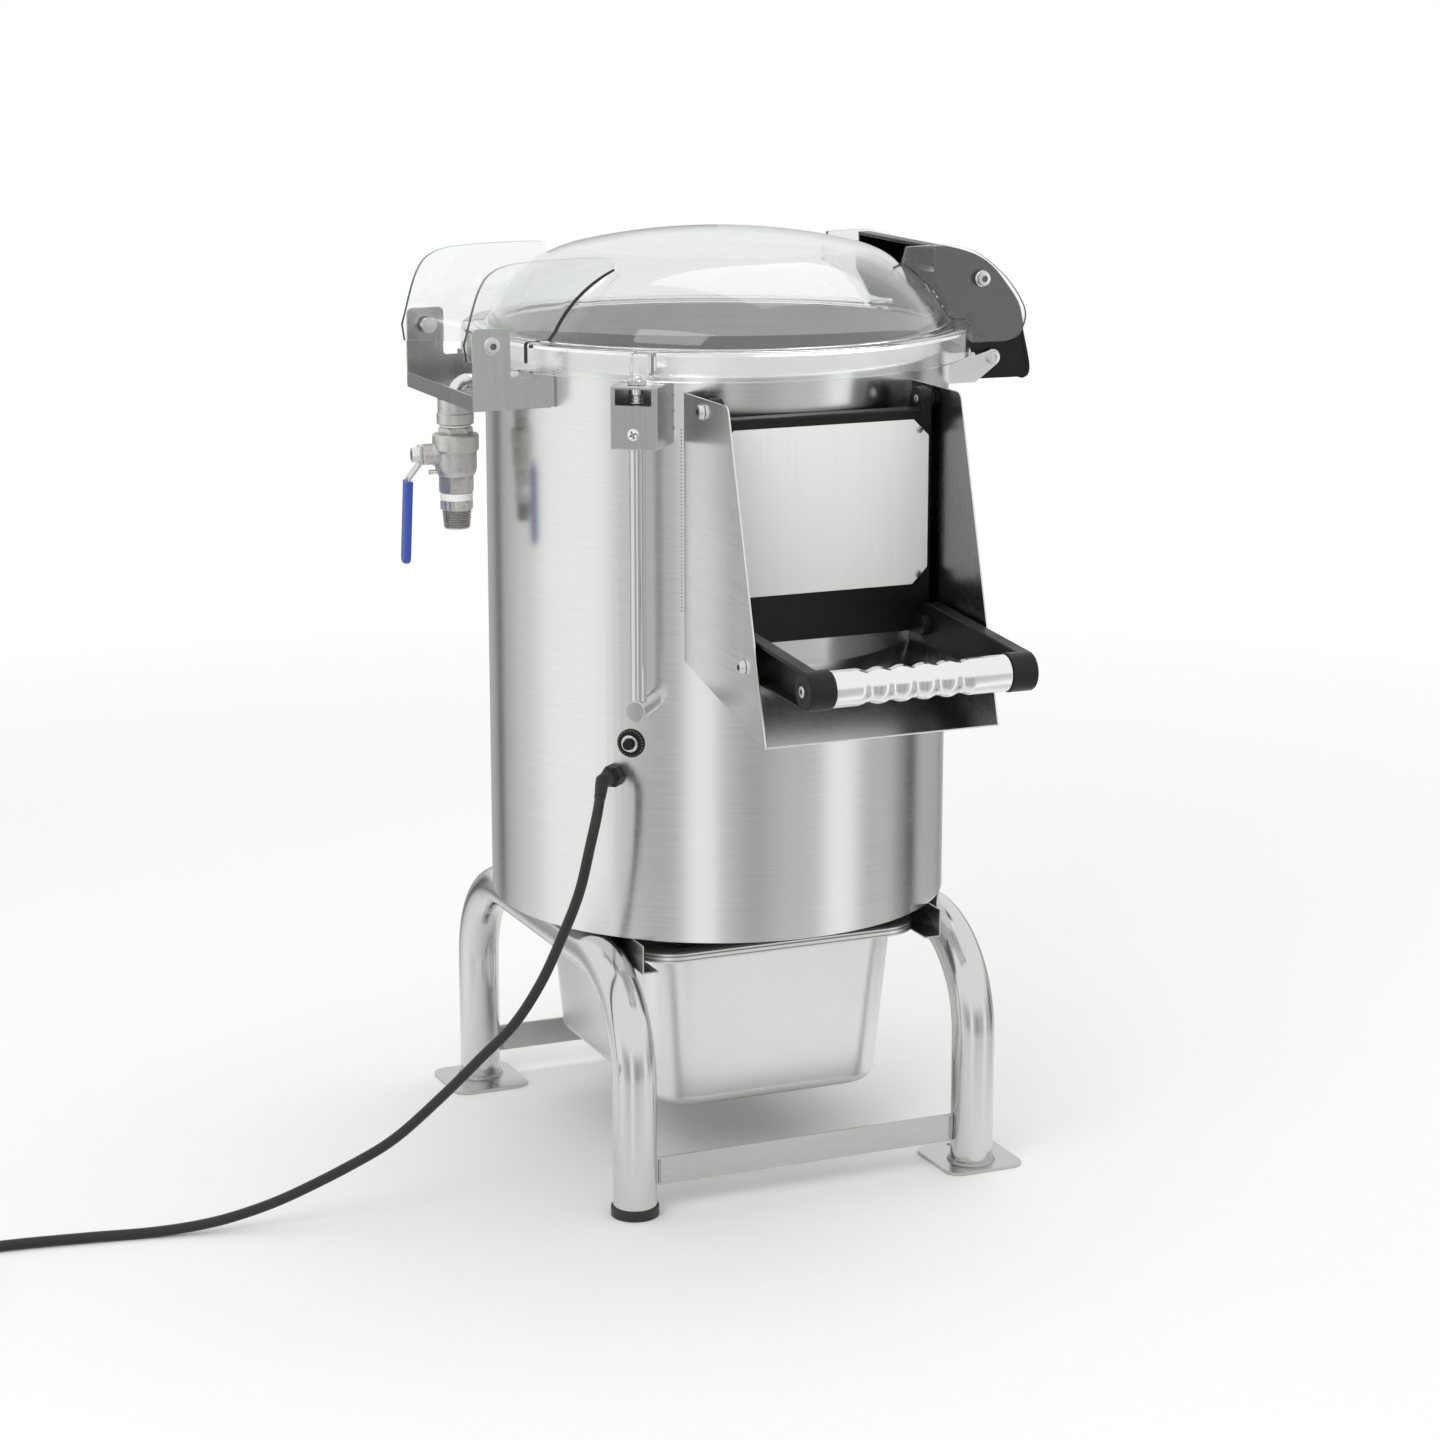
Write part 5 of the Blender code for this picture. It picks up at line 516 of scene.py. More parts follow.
def ease(thing: Thing, width: float, wanted: EdgeTest, segments: int = 2) -> Thing:
    """Round off the edges that a test accepts.

    Args:
        thing: The object.
        width: How wide the rounding is.
        wanted: A test of an edge's two ends.
        segments: How many facets the rounding has.

    Returns:
        The same object.
    """
    mark_edges(thing, wanted)
    bpy.ops.mesh.bevel(offset=width, segments=segments, affect="EDGES")
    leave_edit()
    return thing


def apply(thing: Thing, kind: str, **settings: object) -> Thing:
    """Add a modifier, set it and apply it.

    Args:
        thing: The object.
        kind: The modifier's type.
        **settings: Its settings by name.

    Returns:
        The same object.
    """
    pick(thing)
    step = thing.modifiers.new(kind.lower(), kind)
    for key, value in settings.items():
        setattr(step, key, value)
    bpy.ops.object.modifier_apply(modifier=step.name)
    return thing


def cut(thing: Thing, *tools: Thing, how: str = "DIFFERENCE") -> Thing:
    """Cut, or meet, a piece with tools, which are removed, and return it."""
    for tool in tools:
        apply(thing, "BOOLEAN", operation=how, solver="EXACT", object=tool)
        bpy.data.objects.remove(tool, do_unlink=True)
    return thing


def melt(thing: Thing, *others: Thing) -> Thing:
    """Melt other solids into one and return it."""
    return cut(thing, *others, how="UNION")


def gather(name: str, *things: Thing) -> Thing:
    """Join separate solids that stay apart into one piece.

    Args:
        name: The piece's name.
        *things: The solids.

    Returns:
        The joined piece.
    """
    deselect()
    for thing in things:
        thing.select_set(True)
    bpy.context.view_layer.objects.active = things[0]
    bpy.ops.object.join()
    return fresh(name)


def twin(thing: Thing, name: str, place: Matrix) -> Thing:
    """Copy a piece with its own mesh, and put the copy elsewhere.

    Args:
        thing: The piece that is copied.
        name: The copy's name.
        place: Where the copy goes.

    Returns:
        The copy.
    """
    pick(thing)
    bpy.ops.object.duplicate(linked=False)
    other = fresh(name)
    other.data.transform(place)
    return other


def moved(x: float = 0.0, y: float = 0.0, z: float = 0.0) -> Matrix:
    """Return a plain shift."""
    return Matrix.Translation((x, y, z))


def turned(degrees: float, axis: str = "Z") -> Matrix:
    """Return a turn about an axis through the origin."""
    return Matrix.Rotation(math.radians(degrees), 4, axis)


def facing(way: Facing, at: Point3) -> Matrix:
    """Return the place of a piece made on Z that points another way."""
    return Matrix.Translation(at) @ Vector(way.value).to_track_quat("Z", "Y").to_matrix().to_4x4()


def put(thing: Thing, place: Matrix) -> Thing:
    """Move a piece's own mesh and return the piece."""
    thing.data.transform(place)
    return thing


def aim(thing: Thing, way: Facing, at: Point3 = (0, 0, 0)) -> Thing:
    """Turn a piece made on Z to point another way, move it and return it."""
    return put(thing, facing(way, at))


def arc(centre: Point2, radius: float, start: float, stop: float, steps: int) -> list[Point2]:
    """List points on an arc between two angles in degrees, both ends included."""
    turns = [math.radians(start + (stop - start) * i / steps) for i in range(steps + 1)]
    return [(centre[0] + radius * math.cos(a), centre[1] + radius * math.sin(a)) for a in turns]


def rounded(corners: Sequence[Point2], radii: float | Sequence[float],
            steps: int = 6) -> list[Point2]:
    """Round the corners of an outline.

    Args:
        corners: The outline's corners in order.
        radii: One radius, or one for each corner.
        steps: How many steps each rounding takes.

    Returns:
        The rounded outline.
    """
    sizes = [radii] * len(corners) if isinstance(radii, (int, float)) else list(radii)
    outline: list[Point2] = []
    for i, corner in enumerate(corners):
        here = Vector(corner)
        back = (Vector(corners[i - 1]) - here).normalized()
        ahead = (Vector(corners[(i + 1) % len(corners)]) - here).normalized()
        half = back.angle(ahead) / 2
        if sizes[i] <= 0 or half > math.radians(89.5):
            outline.append(tuple(here))
            continue
        reach = sizes[i] / math.tan(half)
        middle = here + (back + ahead).normalized() * sizes[i] / math.sin(half)
        first, last = here + back * reach - middle, here + ahead * reach - middle
        for k in range(steps + 1):
            spoke = first.slerp(last, k / steps).normalized() * sizes[i]
            outline.append(tuple(middle + spoke))
    return outline


def smoothed(points: Sequence[Point2], steps: int) -> list[Point2]:
    """Return points on a smooth curve through an open run of points."""
    run = [Vector(point) for point in points]
    run = [run[0] * 2 - run[1], *run, run[-1] * 2 - run[-2]]
    result = []
    for i in range(1, len(run) - 2):
        for k in range(steps):
            result.append(tuple(catmull(run[i - 1:i + 3], k / steps)))
    return result + [tuple(run[-2])]


def catmull(four: Sequence[Vector], share: float) -> Vector:
    """Return a point between the middle two of four points on their smooth curve."""
    a, b, c, d = four
    return ((b * 2) + (c - a) * share + (a * 2 - b * 5 + c * 4 - d) * share ** 2
            + (b * 3 - a - c * 3 + d) * share ** 3) / 2


def close_tip(rise: float) -> None:
    """Extrude the selected ring upwards and draw it together."""
    pull(0, 0, rise)
    bpy.ops.mesh.merge(type="CENTER")


def select_rims() -> None:
    """Select the open edges of the mesh in edit mode."""
    bpy.ops.mesh.select_mode(type="EDGE")
    bpy.ops.mesh.select_all(action="DESELECT")
    bpy.ops.mesh.select_non_manifold()


def lathe(name: str, profile: Sequence[Point2], sides: int = 64, closed: bool = False) -> Thing:
    """Raise a round piece on Z, ring by ring, from a circle.

    Args:
        name: The piece's name.
        profile: (radius, height) of each ring in order, or the axis at a pointed end.
        sides: How many sides each ring has.
        closed: Whether the last ring joins the first, round a bore, or both ends close.

    Returns:
        The new piece.
    """
    rings = [ring for ring in profile if ring[0] > 0]
    deselect()
    bpy.ops.mesh.primitive_circle_add(vertices=sides, radius=rings[0][0], fill_type="NOTHING")
    thing = fresh(name)
    edit()
    bpy.ops.transform.translate(value=(0, 0, rings[0][1]))
    for (radius, height), (wider, higher) in zip(rings, rings[1:]):
        pull(0, 0, higher - height)
        bpy.ops.transform.resize(value=(wider / radius, wider / radius, 1))
    if closed:
        select_rims()
        bpy.ops.mesh.bridge_edge_loops()
    else:
        close_tip(profile[-1][1] - rings[-1][1])
        select_rims()
        close_tip(profile[0][1] - rings[0][1])
    return tidy(thing, 32)


def slab(name: str, outline: Iterable[Point2], thickness: float, soft: float = 0.0,
         segments: int = 2) -> Thing:
    """Cut a flat plate to an outline in XY and give it thickness upwards.

    Args:
        name: The piece's name.
        outline: The plate's outline.
        thickness: How thick it is.
        soft: How wide its rims are rounded.
        segments: How many facets the rounding has.

    Returns:
        The new plate, its underside at height zero.
    """
    points = list(outline)
    deselect()
    bpy.ops.mesh.primitive_circle_add(vertices=len(points), radius=1, fill_type="NGON")
    thing = fresh(name)
    for corner, (across, along) in zip(thing.data.vertices, points):
        corner.co = (across, along, 0)
    edit("FACE")
    bpy.ops.mesh.extrude_region_move(TRANSFORM_OT_translate={"value": (0, 0, thickness)})
    edit_all_outwards()
    if soft:
        ease(thing, soft, lambda a, b: abs(a.z - b.z) < thickness / 9, segments)
    return tidy(thing)


def dowel(name: str, radius: float, low: float, high: float, sides: int = 32) -> Thing:
    """Make a plain round rod on Z between two heights."""
    return lathe(name, ((radius, low), (radius, high)), sides)


def drum_core(low: float = 0.4) -> Thing:
    """Make the cutter that fits a piece against the drum's wall."""
    return dowel("drum_core", DRUM_RADIUS + FIT, low, 0.9, 192)


STAND_XZ = Matrix(((1, 0, 0, 0), (0, 0, -1, 0), (0, 1, 0, 0), (0, 0, 0, 1)))
STAND_YZ = Matrix(((0, 0, 1, 0), (1, 0, 0, 0), (0, 1, 0, 0), (0, 0, 0, 1)))


def upright(thing: Thing, middle: float, thickness: float) -> Thing:
    """Stand a plate in the XZ plane with its middle at a given Y."""
    return put(thing, moved(0, middle + thickness / 2, 0) @ STAND_XZ)


def sideways(thing: Thing, middle: float, thickness: float) -> Thing:
    """Stand a plate in the YZ plane with its middle at a given X."""
    return put(thing, moved(middle - thickness / 2, 0, 0) @ STAND_YZ)


def pair(stand: Stand, name: str, outline: Sequence[Point2], middle: float, thickness: float,
         soft: float = 0.0004) -> list[Thing]:
    """Cut a plate twice and stand one on each side of the machine's middle."""
    return [stand(slab(name, outline, thickness, soft), side * middle, thickness)
            for side in (-1, 1)]


def block(name: str, low: Point3, high: Point3, soft: float = 0.0005, segments: int = 2) -> Thing:
    """Make a bar or block between two corners, its edges rounded.

    Args:
        name: The piece's name.
        low: Its lowest corner.
        high: Its highest corner.
        soft: How wide its edges are rounded.
        segments: How many facets the rounding has.

    Returns:
        The new block.
    """
    deselect()
    bpy.ops.mesh.primitive_cube_add(size=1)
    thing = fresh(name)
    size = Vector(high) - Vector(low)
    put(thing, Matrix.Translation((Vector(low) + Vector(high)) / 2) @ Matrix.Diagonal((*size, 1)))
    if soft:
        ease(thing, soft, lambda a, b: True, segments)
    return tidy(thing)


def folded(name: str, path: Sequence[Point2], width: float, thickness: float,
           side: float = 0.0, soft: float = 0.0003) -> Thing:
    """Fold a strip of sheet along a path in XZ, its width lying along Y.

    Args:
        name: The piece's name.
        path: The strip's side view.
        width: How wide it is.
        thickness: How thick it is.
        side: The side of the path that the thickness lies on: -1, 0 or 1.
        soft: How wide its edges are rounded.

    Returns:
        The new strip.
    """
    deselect()
    bpy.ops.mesh.primitive_plane_add(size=1)
    thing = fresh(name)
    (x0, z0), (x1, z1) = path[:2]
    half = width / 2
    for corner, place in zip(thing.data.vertices,
                             ((x0, -half, z0), (x1, -half, z1), (x0, half, z0), (x1, half, z1))):
        corner.co = place
    mark_edges(thing, lambda a, b: abs(a.x - x1) + abs(a.z - z1) + abs(b.x - x1) + abs(b.z - z1)
               < 0.000001)
    for (ax, az), (bx, bz) in zip(path[1:], path[2:]):
        pull(bx - ax, 0, bz - az)
    leave_edit()
    tidy(thing)
    apply(thing, "SOLIDIFY", thickness=thickness, offset=side, use_even_offset=True)
    if soft:
        apply(thing, "BEVEL", width=soft, segments=2, limit_method="ANGLE",
              angle_limit=math.radians(50))
    return tidy(thing, 30)


def curved(name: str, points: Sequence[Point3], radius: float, rings: int,
           shares: Sequence[float] = ()) -> Thing:
    """Lay a round line along points.

    Args:
        name: The piece's name.
        points: Its centre line.
        radius: Its radius.
        rings: How round it is.
        shares: The radius at each point as a share, if it tapers.

    Returns:
        The line as a curve.
    """
    line = bpy.data.curves.new(name, "CURVE")
    line.dimensions = "3D"
    line.bevel_depth = radius
    line.bevel_resolution = rings
    line.use_fill_caps = True
    run = line.splines.new("POLY")
    run.points.add(len(points) - 1)
    for spot, place, share in zip(run.points, points, shares or [1.0] * len(points)):
        spot.co = (*place, 1)
        spot.radius = share
    return hang(name, line)


def hang(name: str, data: bpy.types.ID) -> Thing:
    """Put new data in the scene as an object and return it."""
    thing = bpy.data.objects.new(name, data)
    bpy.context.scene.collection.objects.link(thing)
    return thing


def piped(name: str, points: Sequence[Point3], radius: float, rings: int = 6,
          shares: Sequence[float] = ()) -> Thing:
    """Run a round rod along points, as curved does, and return it as a mesh."""
    pick(curved(name, points, radius, rings, shares))
    bpy.ops.object.convert(target="MESH")
    return tidy(fresh(name), 40)


def dress(finish: Surface, *nodes: str) -> None:
    """Give CAD nodes a finish in place of their plain one."""
    for name in nodes:
        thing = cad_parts[name]
        thing.data.materials.clear()
        thing.data.materials.append(finish.material())


def line_with(thing: Thing, finish: Finish, inside: EdgeTest) -> None:
    """Give the faces that a test picks, by centre and normal, a second finish."""
    thing.data.materials.append(finish.material())
    for face in thing.data.polygons:
        if inside(face.center - HOME, face.normal):
            face.material_index = 1


def seat(thing: Thing, finish: Surface, body: str = "machine", node: str = "",
         place: Optional[Matrix] = None) -> Thing:
    """Put a finished piece in the machine.

    Args:
        thing: The piece, in the machine's own frame with the drum's axis as its Z.
        finish: Its surface finish.
        body: The moving body that it rides on.
        node: The CAD node that it replaces, if it stands for one.
        place: A turn or shift before it goes into the machine.

    Returns:
        The piece.
    """
    deselect()
    put(thing, Matrix.Translation(HOME) @ (place or Matrix.Identity(4)))
    thing.data.materials.append(finish.material())
    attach(thing, body)
    if node:
        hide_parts(node)
    pick(thing)
    edit("EDGE")
    bpy.ops.mesh.fill_holes(sides=LARGEST_GAP)
    edit_all_outwards()
    apply(thing, "WEIGHTED_NORMAL", keep_sharp=True)
    deselect()
    LOG.info("%s: %d faces on %s", thing.name, len(thing.data.polygons), body)
    return thing


# The studio and the lead


@dataclass
class Studio:
    """The pale floor, the soft lights, the surroundings and the camera."""

    camera_place: Point3 = (-1.22, -2.833, 1.1005)
    camera_turn: Point3 = (76.829, 0.0, -23.348)
    lens: float = 87.652
    camera_bearing: float = -113.3
    floor_radius: float = 2.4
    level: float = 0.78
    bands: Outline = (
        (-180, 0.45), (-165, 0.47), (-152, 0.42), (-140, 0.1), (-133, 0.45), (-112, 0.66),
        (-88, 0.98), (-62, 1.0), (-45, 0.62), (-30, 0.46), (-20, 0.5), (-12, 1.0), (-4, 1.0),
        (5, 0.54), (18, 0.4), (36, 0.55), (50, 0.57), (60, 1.0), (70, 0.98), (80, 0.52),
        (96, 0.54), (108, 0.26), (116, 0.03), (123, 0.5), (145, 0.44), (156, 0.3), (168, 0.6),
    )

    def build(self) -> None:
        """Make the camera first, then the surroundings, the lights and the floor."""
        self.make_camera()
        self.make_surroundings()
        self.make_lights()
        self.make_floor()

    def make_camera(self) -> None:
        """Stand the camera where the photograph was taken."""
        lens = bpy.data.cameras.new("photo_view")
        lens.lens = self.lens
        lens.sensor_width = 36.0
        lens.clip_start, lens.clip_end = 0.05, 60.0
        camera = hang("photo_view", lens)
        camera.location = Vector(self.camera_place) + HOME
        camera.rotation_euler = [math.radians(turn) for turn in self.camera_turn]
        bpy.context.scene.camera = camera
        bpy.context.scene.view_settings.view_transform = "Standard"

    def make_surroundings(self) -> None:
        """Build a white studio with soft panels and dark gaps that polished metal mirrors."""
        world = bpy.data.worlds.new("studio_surroundings")
        bpy.context.scene.world = world
        world.use_nodes = True
        wires = Wiring(world.node_tree)
        way = wires.add("SeparateXYZ", {0: wires.add("TexCoord").outputs["Generated"]}).outputs
        turn = wires.calc("MULTIPLY", wires.calc("ARCTAN2", way["Y"], way["X"]), 1 / math.tau)
        share = wires.calc("FRACT", wires.calc("ADD", turn, 0.5 - self.camera_bearing / 360))
        panels = wires.add("ValToRGB", {"Fac": share})
        panels.color_ramp.interpolation = "EASE"
        stops = panels.color_ramp.elements
        while len(stops) > 1:
            stops.remove(stops[0])
        for i, (angle, level) in enumerate(self.bands):
            stop = stops[0] if i == 0 else stops.new(angle / 360 + 0.5)
            stop.position = angle / 360 + 0.5
            stop.color = (level, level, level, 1)
        above = wires.spread(way["Z"], 0.0, 0.22)
        mirrored = wires.tint(above, panels.outputs["Color"], (0.94, 0.94, 0.94))
        ray = wires.add("LightPath").outputs
        even = wires.tint(ray["Is Glossy Ray"], (self.level, self.level, self.level), mirrored)
        seen = wires.calc("MAXIMUM", ray["Is Camera Ray"], ray["Is Transmission Ray"])
        wires.feed(wires.tree.nodes["Background"],
                   {"Color": wires.tint(seen, even, (1.0, 1.0, 1.0))})

    def make_lights(self) -> None:
        """Hang two large soft lamps, left front and overhead right."""
        for name, place, size, power in (("key_panel", (-2.1, -1.9, 2.5), 2.0, 30.0),
                                         ("top_panel", (0.9, 0.4, 3.0), 2.2, 22.0)):
            lamp = bpy.data.lights.new(name, "AREA")
            lamp.size, lamp.energy = size, power
            holder = hang(name, lamp)
            holder.visible_glossy = False
            holder.location = Vector(place) + HOME
            aim_at = HOME + Vector((0, 0, 0.42)) - holder.location
            holder.rotation_euler = aim_at.to_track_quat("-Z", "Y").to_euler()

    def make_floor(self) -> None:
        """Lay a pale floor that fades out before metal can mirror its far edge."""
        deselect()
        bpy.ops.mesh.primitive_circle_add(vertices=96, radius=self.floor_radius, fill_type="NGON")
        floor = put(fresh("floor"), Matrix.Translation(HOME))
        look = bpy.data.materials.new("pale_floor")
        look.use_nodes = True
        wires = Wiring(look.node_tree)
        shader, place = wires.tree.nodes["Principled BSDF"], wires.place()
        pale = wires.tint(wires.noise(place, 90.0, 2.0), (0.93, 0.93, 0.93), (0.95, 0.95, 0.95))
        wires.feed(shader, {"Base Color": pale, "Roughness": 0.9, "Specular IOR Level": 0.1})
        centre = wires.add("Mapping", {"Vector": place, "Location": -HOME}).outputs["Vector"]
        reach = wires.add("VectorMath", {0: centre}, operation="LENGTH").outputs["Value"]
        mirror = wires.add("LightPath").outputs["Is Glossy Ray"]
        near = wires.calc("MULTIPLY", wires.spread(reach, 0.35, 0.9), mirror)
        gone = wires.calc("MAXIMUM", wires.spread(reach, 1.3, 2.3), near)
        clear = wires.add("BsdfTransparent").outputs[0]
        fade = wires.add("MixShader", {"Fac": gone, 1: shader.outputs[0], 2: clear})
        wires.feed(wires.tree.nodes["Material Output"], {"Surface": fade.outputs[0]})
        floor.data.materials.append(look)


@dataclass
class MainsLead:
    """The gland, the lead with the coil that puts its spare length away, and its plug."""

    gland_bearing: float = -48.5
    gland_height: float = 0.374
    hex_radius: float = 0.0098
    hex_depth: float = 0.009
    nose_radius: float = 0.0078
    nose_depth: float = 0.005
    cord_radius: float = 0.0045
    floor_line: float = 0.0048
    step: float = 0.006
    coil_centre: Point2 = (-0.775, -0.12)
    coil_radius: float = 0.0555
    coil_pitch: float = 0.0096
    coil_turns: float = 3.25
    coil_steps: int = 48
    coil_lead: float = 0.01
    coil_tail: float = 0.076
    boot_length: float = 0.028
    plug_radius: float = 0.019
    plug_length: float = 0.042
    plug_neck: float = 0.014
    neck_radius: float = 0.0065
    pin_radius: float = 0.0024
    pin_length: float = 0.019
    pin_spacing: float = 0.0095
    route: tuple[Point3, ...] = (
        (-0.184, -0.1735, 0.3535), (-0.1929, -0.1795, 0.328), (-0.2036, -0.1802, 0.2877),
        (-0.2186, -0.178, 0.25), (-0.2365, -0.173, 0.2097), (-0.2588, -0.166, 0.1736),
        (-0.2856, -0.157, 0.1447), (-0.3164, -0.146, 0.1118), (-0.3556, -0.135, 0.076),
        (-0.3915, -0.125, 0.0539), (-0.4377, -0.112, 0.0308), (-0.472, -0.104, 0.018),
        (-0.51, -0.096, 0.009), (-0.555, -0.087, 0.0048), (-0.61, -0.077, 0.0048),
        (-0.67, -0.068, 0.0048), (-0.725, -0.0645, 0.0048),
    )

    def build(self) -> None:
        """Make the lead, its strain relief and its plug."""
        heading = math.radians(self.gland_bearing - 90)
        out = Vector((math.cos(heading), math.sin(heading), 0))
        nose = DRUM_RADIUS + FIT + self.hex_depth + self.nose_depth
        start = out * (nose + FIT) + Vector((0, 0, self.gland_height))
        points = self.centre_line(start, out)
        cord = self.make_cord(points)
        plug = self.make_plug(points[-1])
        self.make_gland()
        boot = self.make_boot(points)

    def centre_line(self, start: Vector, out: Vector) -> list[Vector]:
        """Return the lead's line from the gland to the plug.

        Args:
            start: Where it leaves the gland.
            out: The way it leaves.

        Returns:
            Points a few millimetres apart.
        """
        cx, cy = self.coil_centre
        coil_start = Vector((cx + self.coil_lead, cy + self.coil_radius, self.floor_line))
        joint = coil_start + Vector((FIT, 0, 0))
        lead_in = joint + Vector((self.cord_radius * 4, 0, 0))
        stations = [start + out * self.cord_radius * 2, *map(Vector, self.route), lead_in]
        run = [stations[0] * 2 - stations[1], *stations, stations[-1] * 2 - stations[-2]]
        line = [start]
        for i in range(1, len(run) - 2):
            steps = max(3, round((run[i + 1] - run[i]).length / self.step))
            line += [catmull(run[i - 1:i + 3], k / steps) for k in range(steps)]
        line += [run[-2], joint, coil_start, *self.coil_line()]
        end = line[-1]
        lift = self.plug_radius + self.floor_line - self.cord_radius
        for i in range(1, 11):
            share = i / 10
            rise = (lift - end.z) * (3 - 2 * share) * share ** 2
            back = (self.coil_tail - self.cord_radius * 3) * share
            line.append(Vector((end.x, end.y - back, end.z + rise)))
        line.append(Vector((end.x, end.y - self.coil_tail, lift)))
        return line

    def coil_line(self) -> list[Vector]:
        """Return the coil's own points: in along the floor, up a layer, and out again."""
        steps = round(self.coil_turns * self.coil_steps)
        half = self.coil_turns / 2
        (cx, cy), points = self.coil_centre, []
        for i in range(steps + 1):
            turn = self.coil_turns * i / steps
            radius = self.coil_radius - self.coil_pitch * (half - abs(half - turn))
            climb = min(1.0, max(0.0, (turn - half) * 2 + 0.5))
            angle = math.pi / 2 + math.tau * turn
            height = self.floor_line + self.coil_pitch * (3 - 2 * climb) * climb ** 2
            points.append(Vector((
                cx + radius * math.cos(angle), cy + radius * math.sin(angle), height)))
        return points

    def make_cord(self, points: Sequence[Vector]) -> Thing:
        """Lay the lead as one round line along its points."""
        cord = curved("mains_lead", [point + HOME for point in points], self.cord_radius, 5)
        cord.data.splines[0].use_smooth = True
        cord.data.materials.append(CABLE_JACKET.material())
        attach(cord, "machine")
        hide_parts("power_cord", "cord_coil")
        return cord

    def make_gland(self) -> None:
        """Make the hexagonal gland with its rounded cap."""
        depth, radius = self.hex_depth, self.hex_radius
        gland = hexagon("cord_gland", radius, depth, 0.0009)
        cap = lathe("gland_cap", (
            (radius - 0.0016, depth - 0.002), (radius - 0.0016, depth),
            (self.nose_radius, depth + 0.0006), (self.nose_radius, depth + 0.003),
            (self.nose_radius - 0.0008, depth + 0.0044),
            (self.nose_radius - 0.0018, depth + 0.005)), 40)
        melt(gland, cap, dowel("gland_barrel", 0.0075, -0.0078, 0.001))
        seat(gland, BLACK_MOULDING, node="cable_gland", place=turned(self.gland_bearing)
             @ facing(Facing.FRONT, (0, -DRUM_RADIUS - FIT, self.gland_height)))

    def make_boot(self, points: Sequence[Vector]) -> Thing:
        """Make the tapered sleeve that saves the lead from kinking where it leaves."""
        walked, line, shares = 0.0, [], []
        for a, b in zip(points, points[1:]):
            for step in (0.0, 0.25, 0.5, 0.75):
                if walked <= self.boot_length:
                    share = walked / self.boot_length
                    line.append(a.lerp(b, step))
                    shares.append(1 - 0.24 * share - 0.03 * (int(share * 9) % 2))
                walked += (b - a).length / 4
        boot = piped("cord_boot", line, self.cord_radius + 0.002, 7, shares)
        return seat(boot, SOFT_RUBBER)

    def make_plug(self, end: Vector) -> Thing:
        """Make the round two-pin plug with its finger ridges.

        Args:
            end: Where the lead meets it.

        Returns:
            The plug.
        """
        length, radius, neck = self.plug_length, self.plug_radius, self.plug_neck
        ridges = []
        for i in range(6):
            at = neck * 1.6 + 0.0006 + i * 0.0016
            swell = radius * (0.8 + 0.2 * (i + 1) / 7)
            ridges += [(swell, at), (swell - 0.0006, at + 0.0006), (swell - 0.0006, at + 0.0011)]
        plug = lathe("mains_plug", (
            (self.neck_radius, 0), (self.neck_radius * 1.05, neck * 0.4),
            (self.neck_radius * 1.25, neck), (radius * 0.7, neck * 1.35), *ridges,
            (radius - 0.0004, length * 0.86), (radius, length * 0.9), (radius, length - 0.0012),
            (radius - 0.0012, length)), 56)
        low, tip, pin = length - 0.004, length + self.pin_length, self.pin_radius
        shape = ((pin, low), (pin, tip - 0.0012), (pin * 0.6, tip))
        pins = [put(lathe("plug_pin", shape, 20), moved(side * self.pin_spacing))
                for side in (-1, 1)]
        place = facing(Facing.FRONT, (end.x, end.y - FIT, end.z))
        seat(plug, BLACK_MOULDING, node="power_plug", place=place)
        seat(gather("plug_pins", *pins), BRIGHT_STEEL, place=place)
        return plug


# Fasteners


def hexagon(name: str, radius: float, depth: float, chamfer: float = 0.0006) -> Thing:
    """Make a hexagonal bar on Z with its corners turned off.

    Args:
        name: The piece's name.
        radius: From its axis to a corner.
        depth: Its height.
        chamfer: How much its corners are turned down at each end.

    Returns:
        The bar, standing on height zero.
    """
    bar = slab(name, arc((0, 0), radius, 0, 300, 5), depth)
    tool = lathe(name + "_turning", (
        (radius - chamfer * 1.6, -chamfer * 0.1), (radius + 0.0001, chamfer),
        (radius + 0.0001, depth - chamfer), (radius - chamfer * 1.6, depth + chamfer * 0.1)), 48)
    return tidy(cut(bar, tool, how="INTERSECT"), 25)


def nut(name: str, radius: float, depth: float, bore: float) -> Thing:
    """Make a hexagonal nut with a bore, standing on height zero."""
    hole = dowel(name + "_bore", bore, -0.001, depth + 0.001)
    return tidy(cut(hexagon(name, radius, depth), hole), 25)


def flat_ring(name: str, bore: float, radius: float, low: float, high: float, soft: float,
         sides: int = 48) -> Thing:
    """Make a flat ring on Z whose outer edges are turned down by a little."""
    return lathe(name, (
        (bore, low), (radius - soft, low), (radius, low + soft), (radius, high - soft),
        (radius - soft, high), (bore, high)), sides, closed=True)


def washer(name: str, radius: float, bore: float, depth: float) -> Thing:
    """Make a washer that stands on height zero."""
    return flat_ring(name, bore, radius, 0, depth, depth / 4)


def cap_screw(name: str, radius: float, height: float) -> Thing:
    """Make a socket screw's head that stands on height zero."""
    soft = radius * 0.12
    head = lathe(name, ((radius, 0), (radius, height - soft), (radius - soft * 0.4,
                        height - soft * 0.3), (radius - soft, height)), 48)
    key = slab(name + "_key", arc((0, 0), radius * 0.5, 0, 300, 5), height)
    return tidy(cut(head, put(key, moved(0, 0, height * 0.35))), 30)


def screw_end(way: Facing, at: Point3, ring: Point2, head: Point2,
              lift: float = 0.0009) -> list[Thing]:
    """Make a washer at a place and the socket head that stands on it."""
    above = Vector(at) + Vector(way.value) * lift
    return [aim(washer("washer", ring[0], 0.0038, ring[1]), way, at),
            aim(cap_screw("screw_head", *head), way, above)]


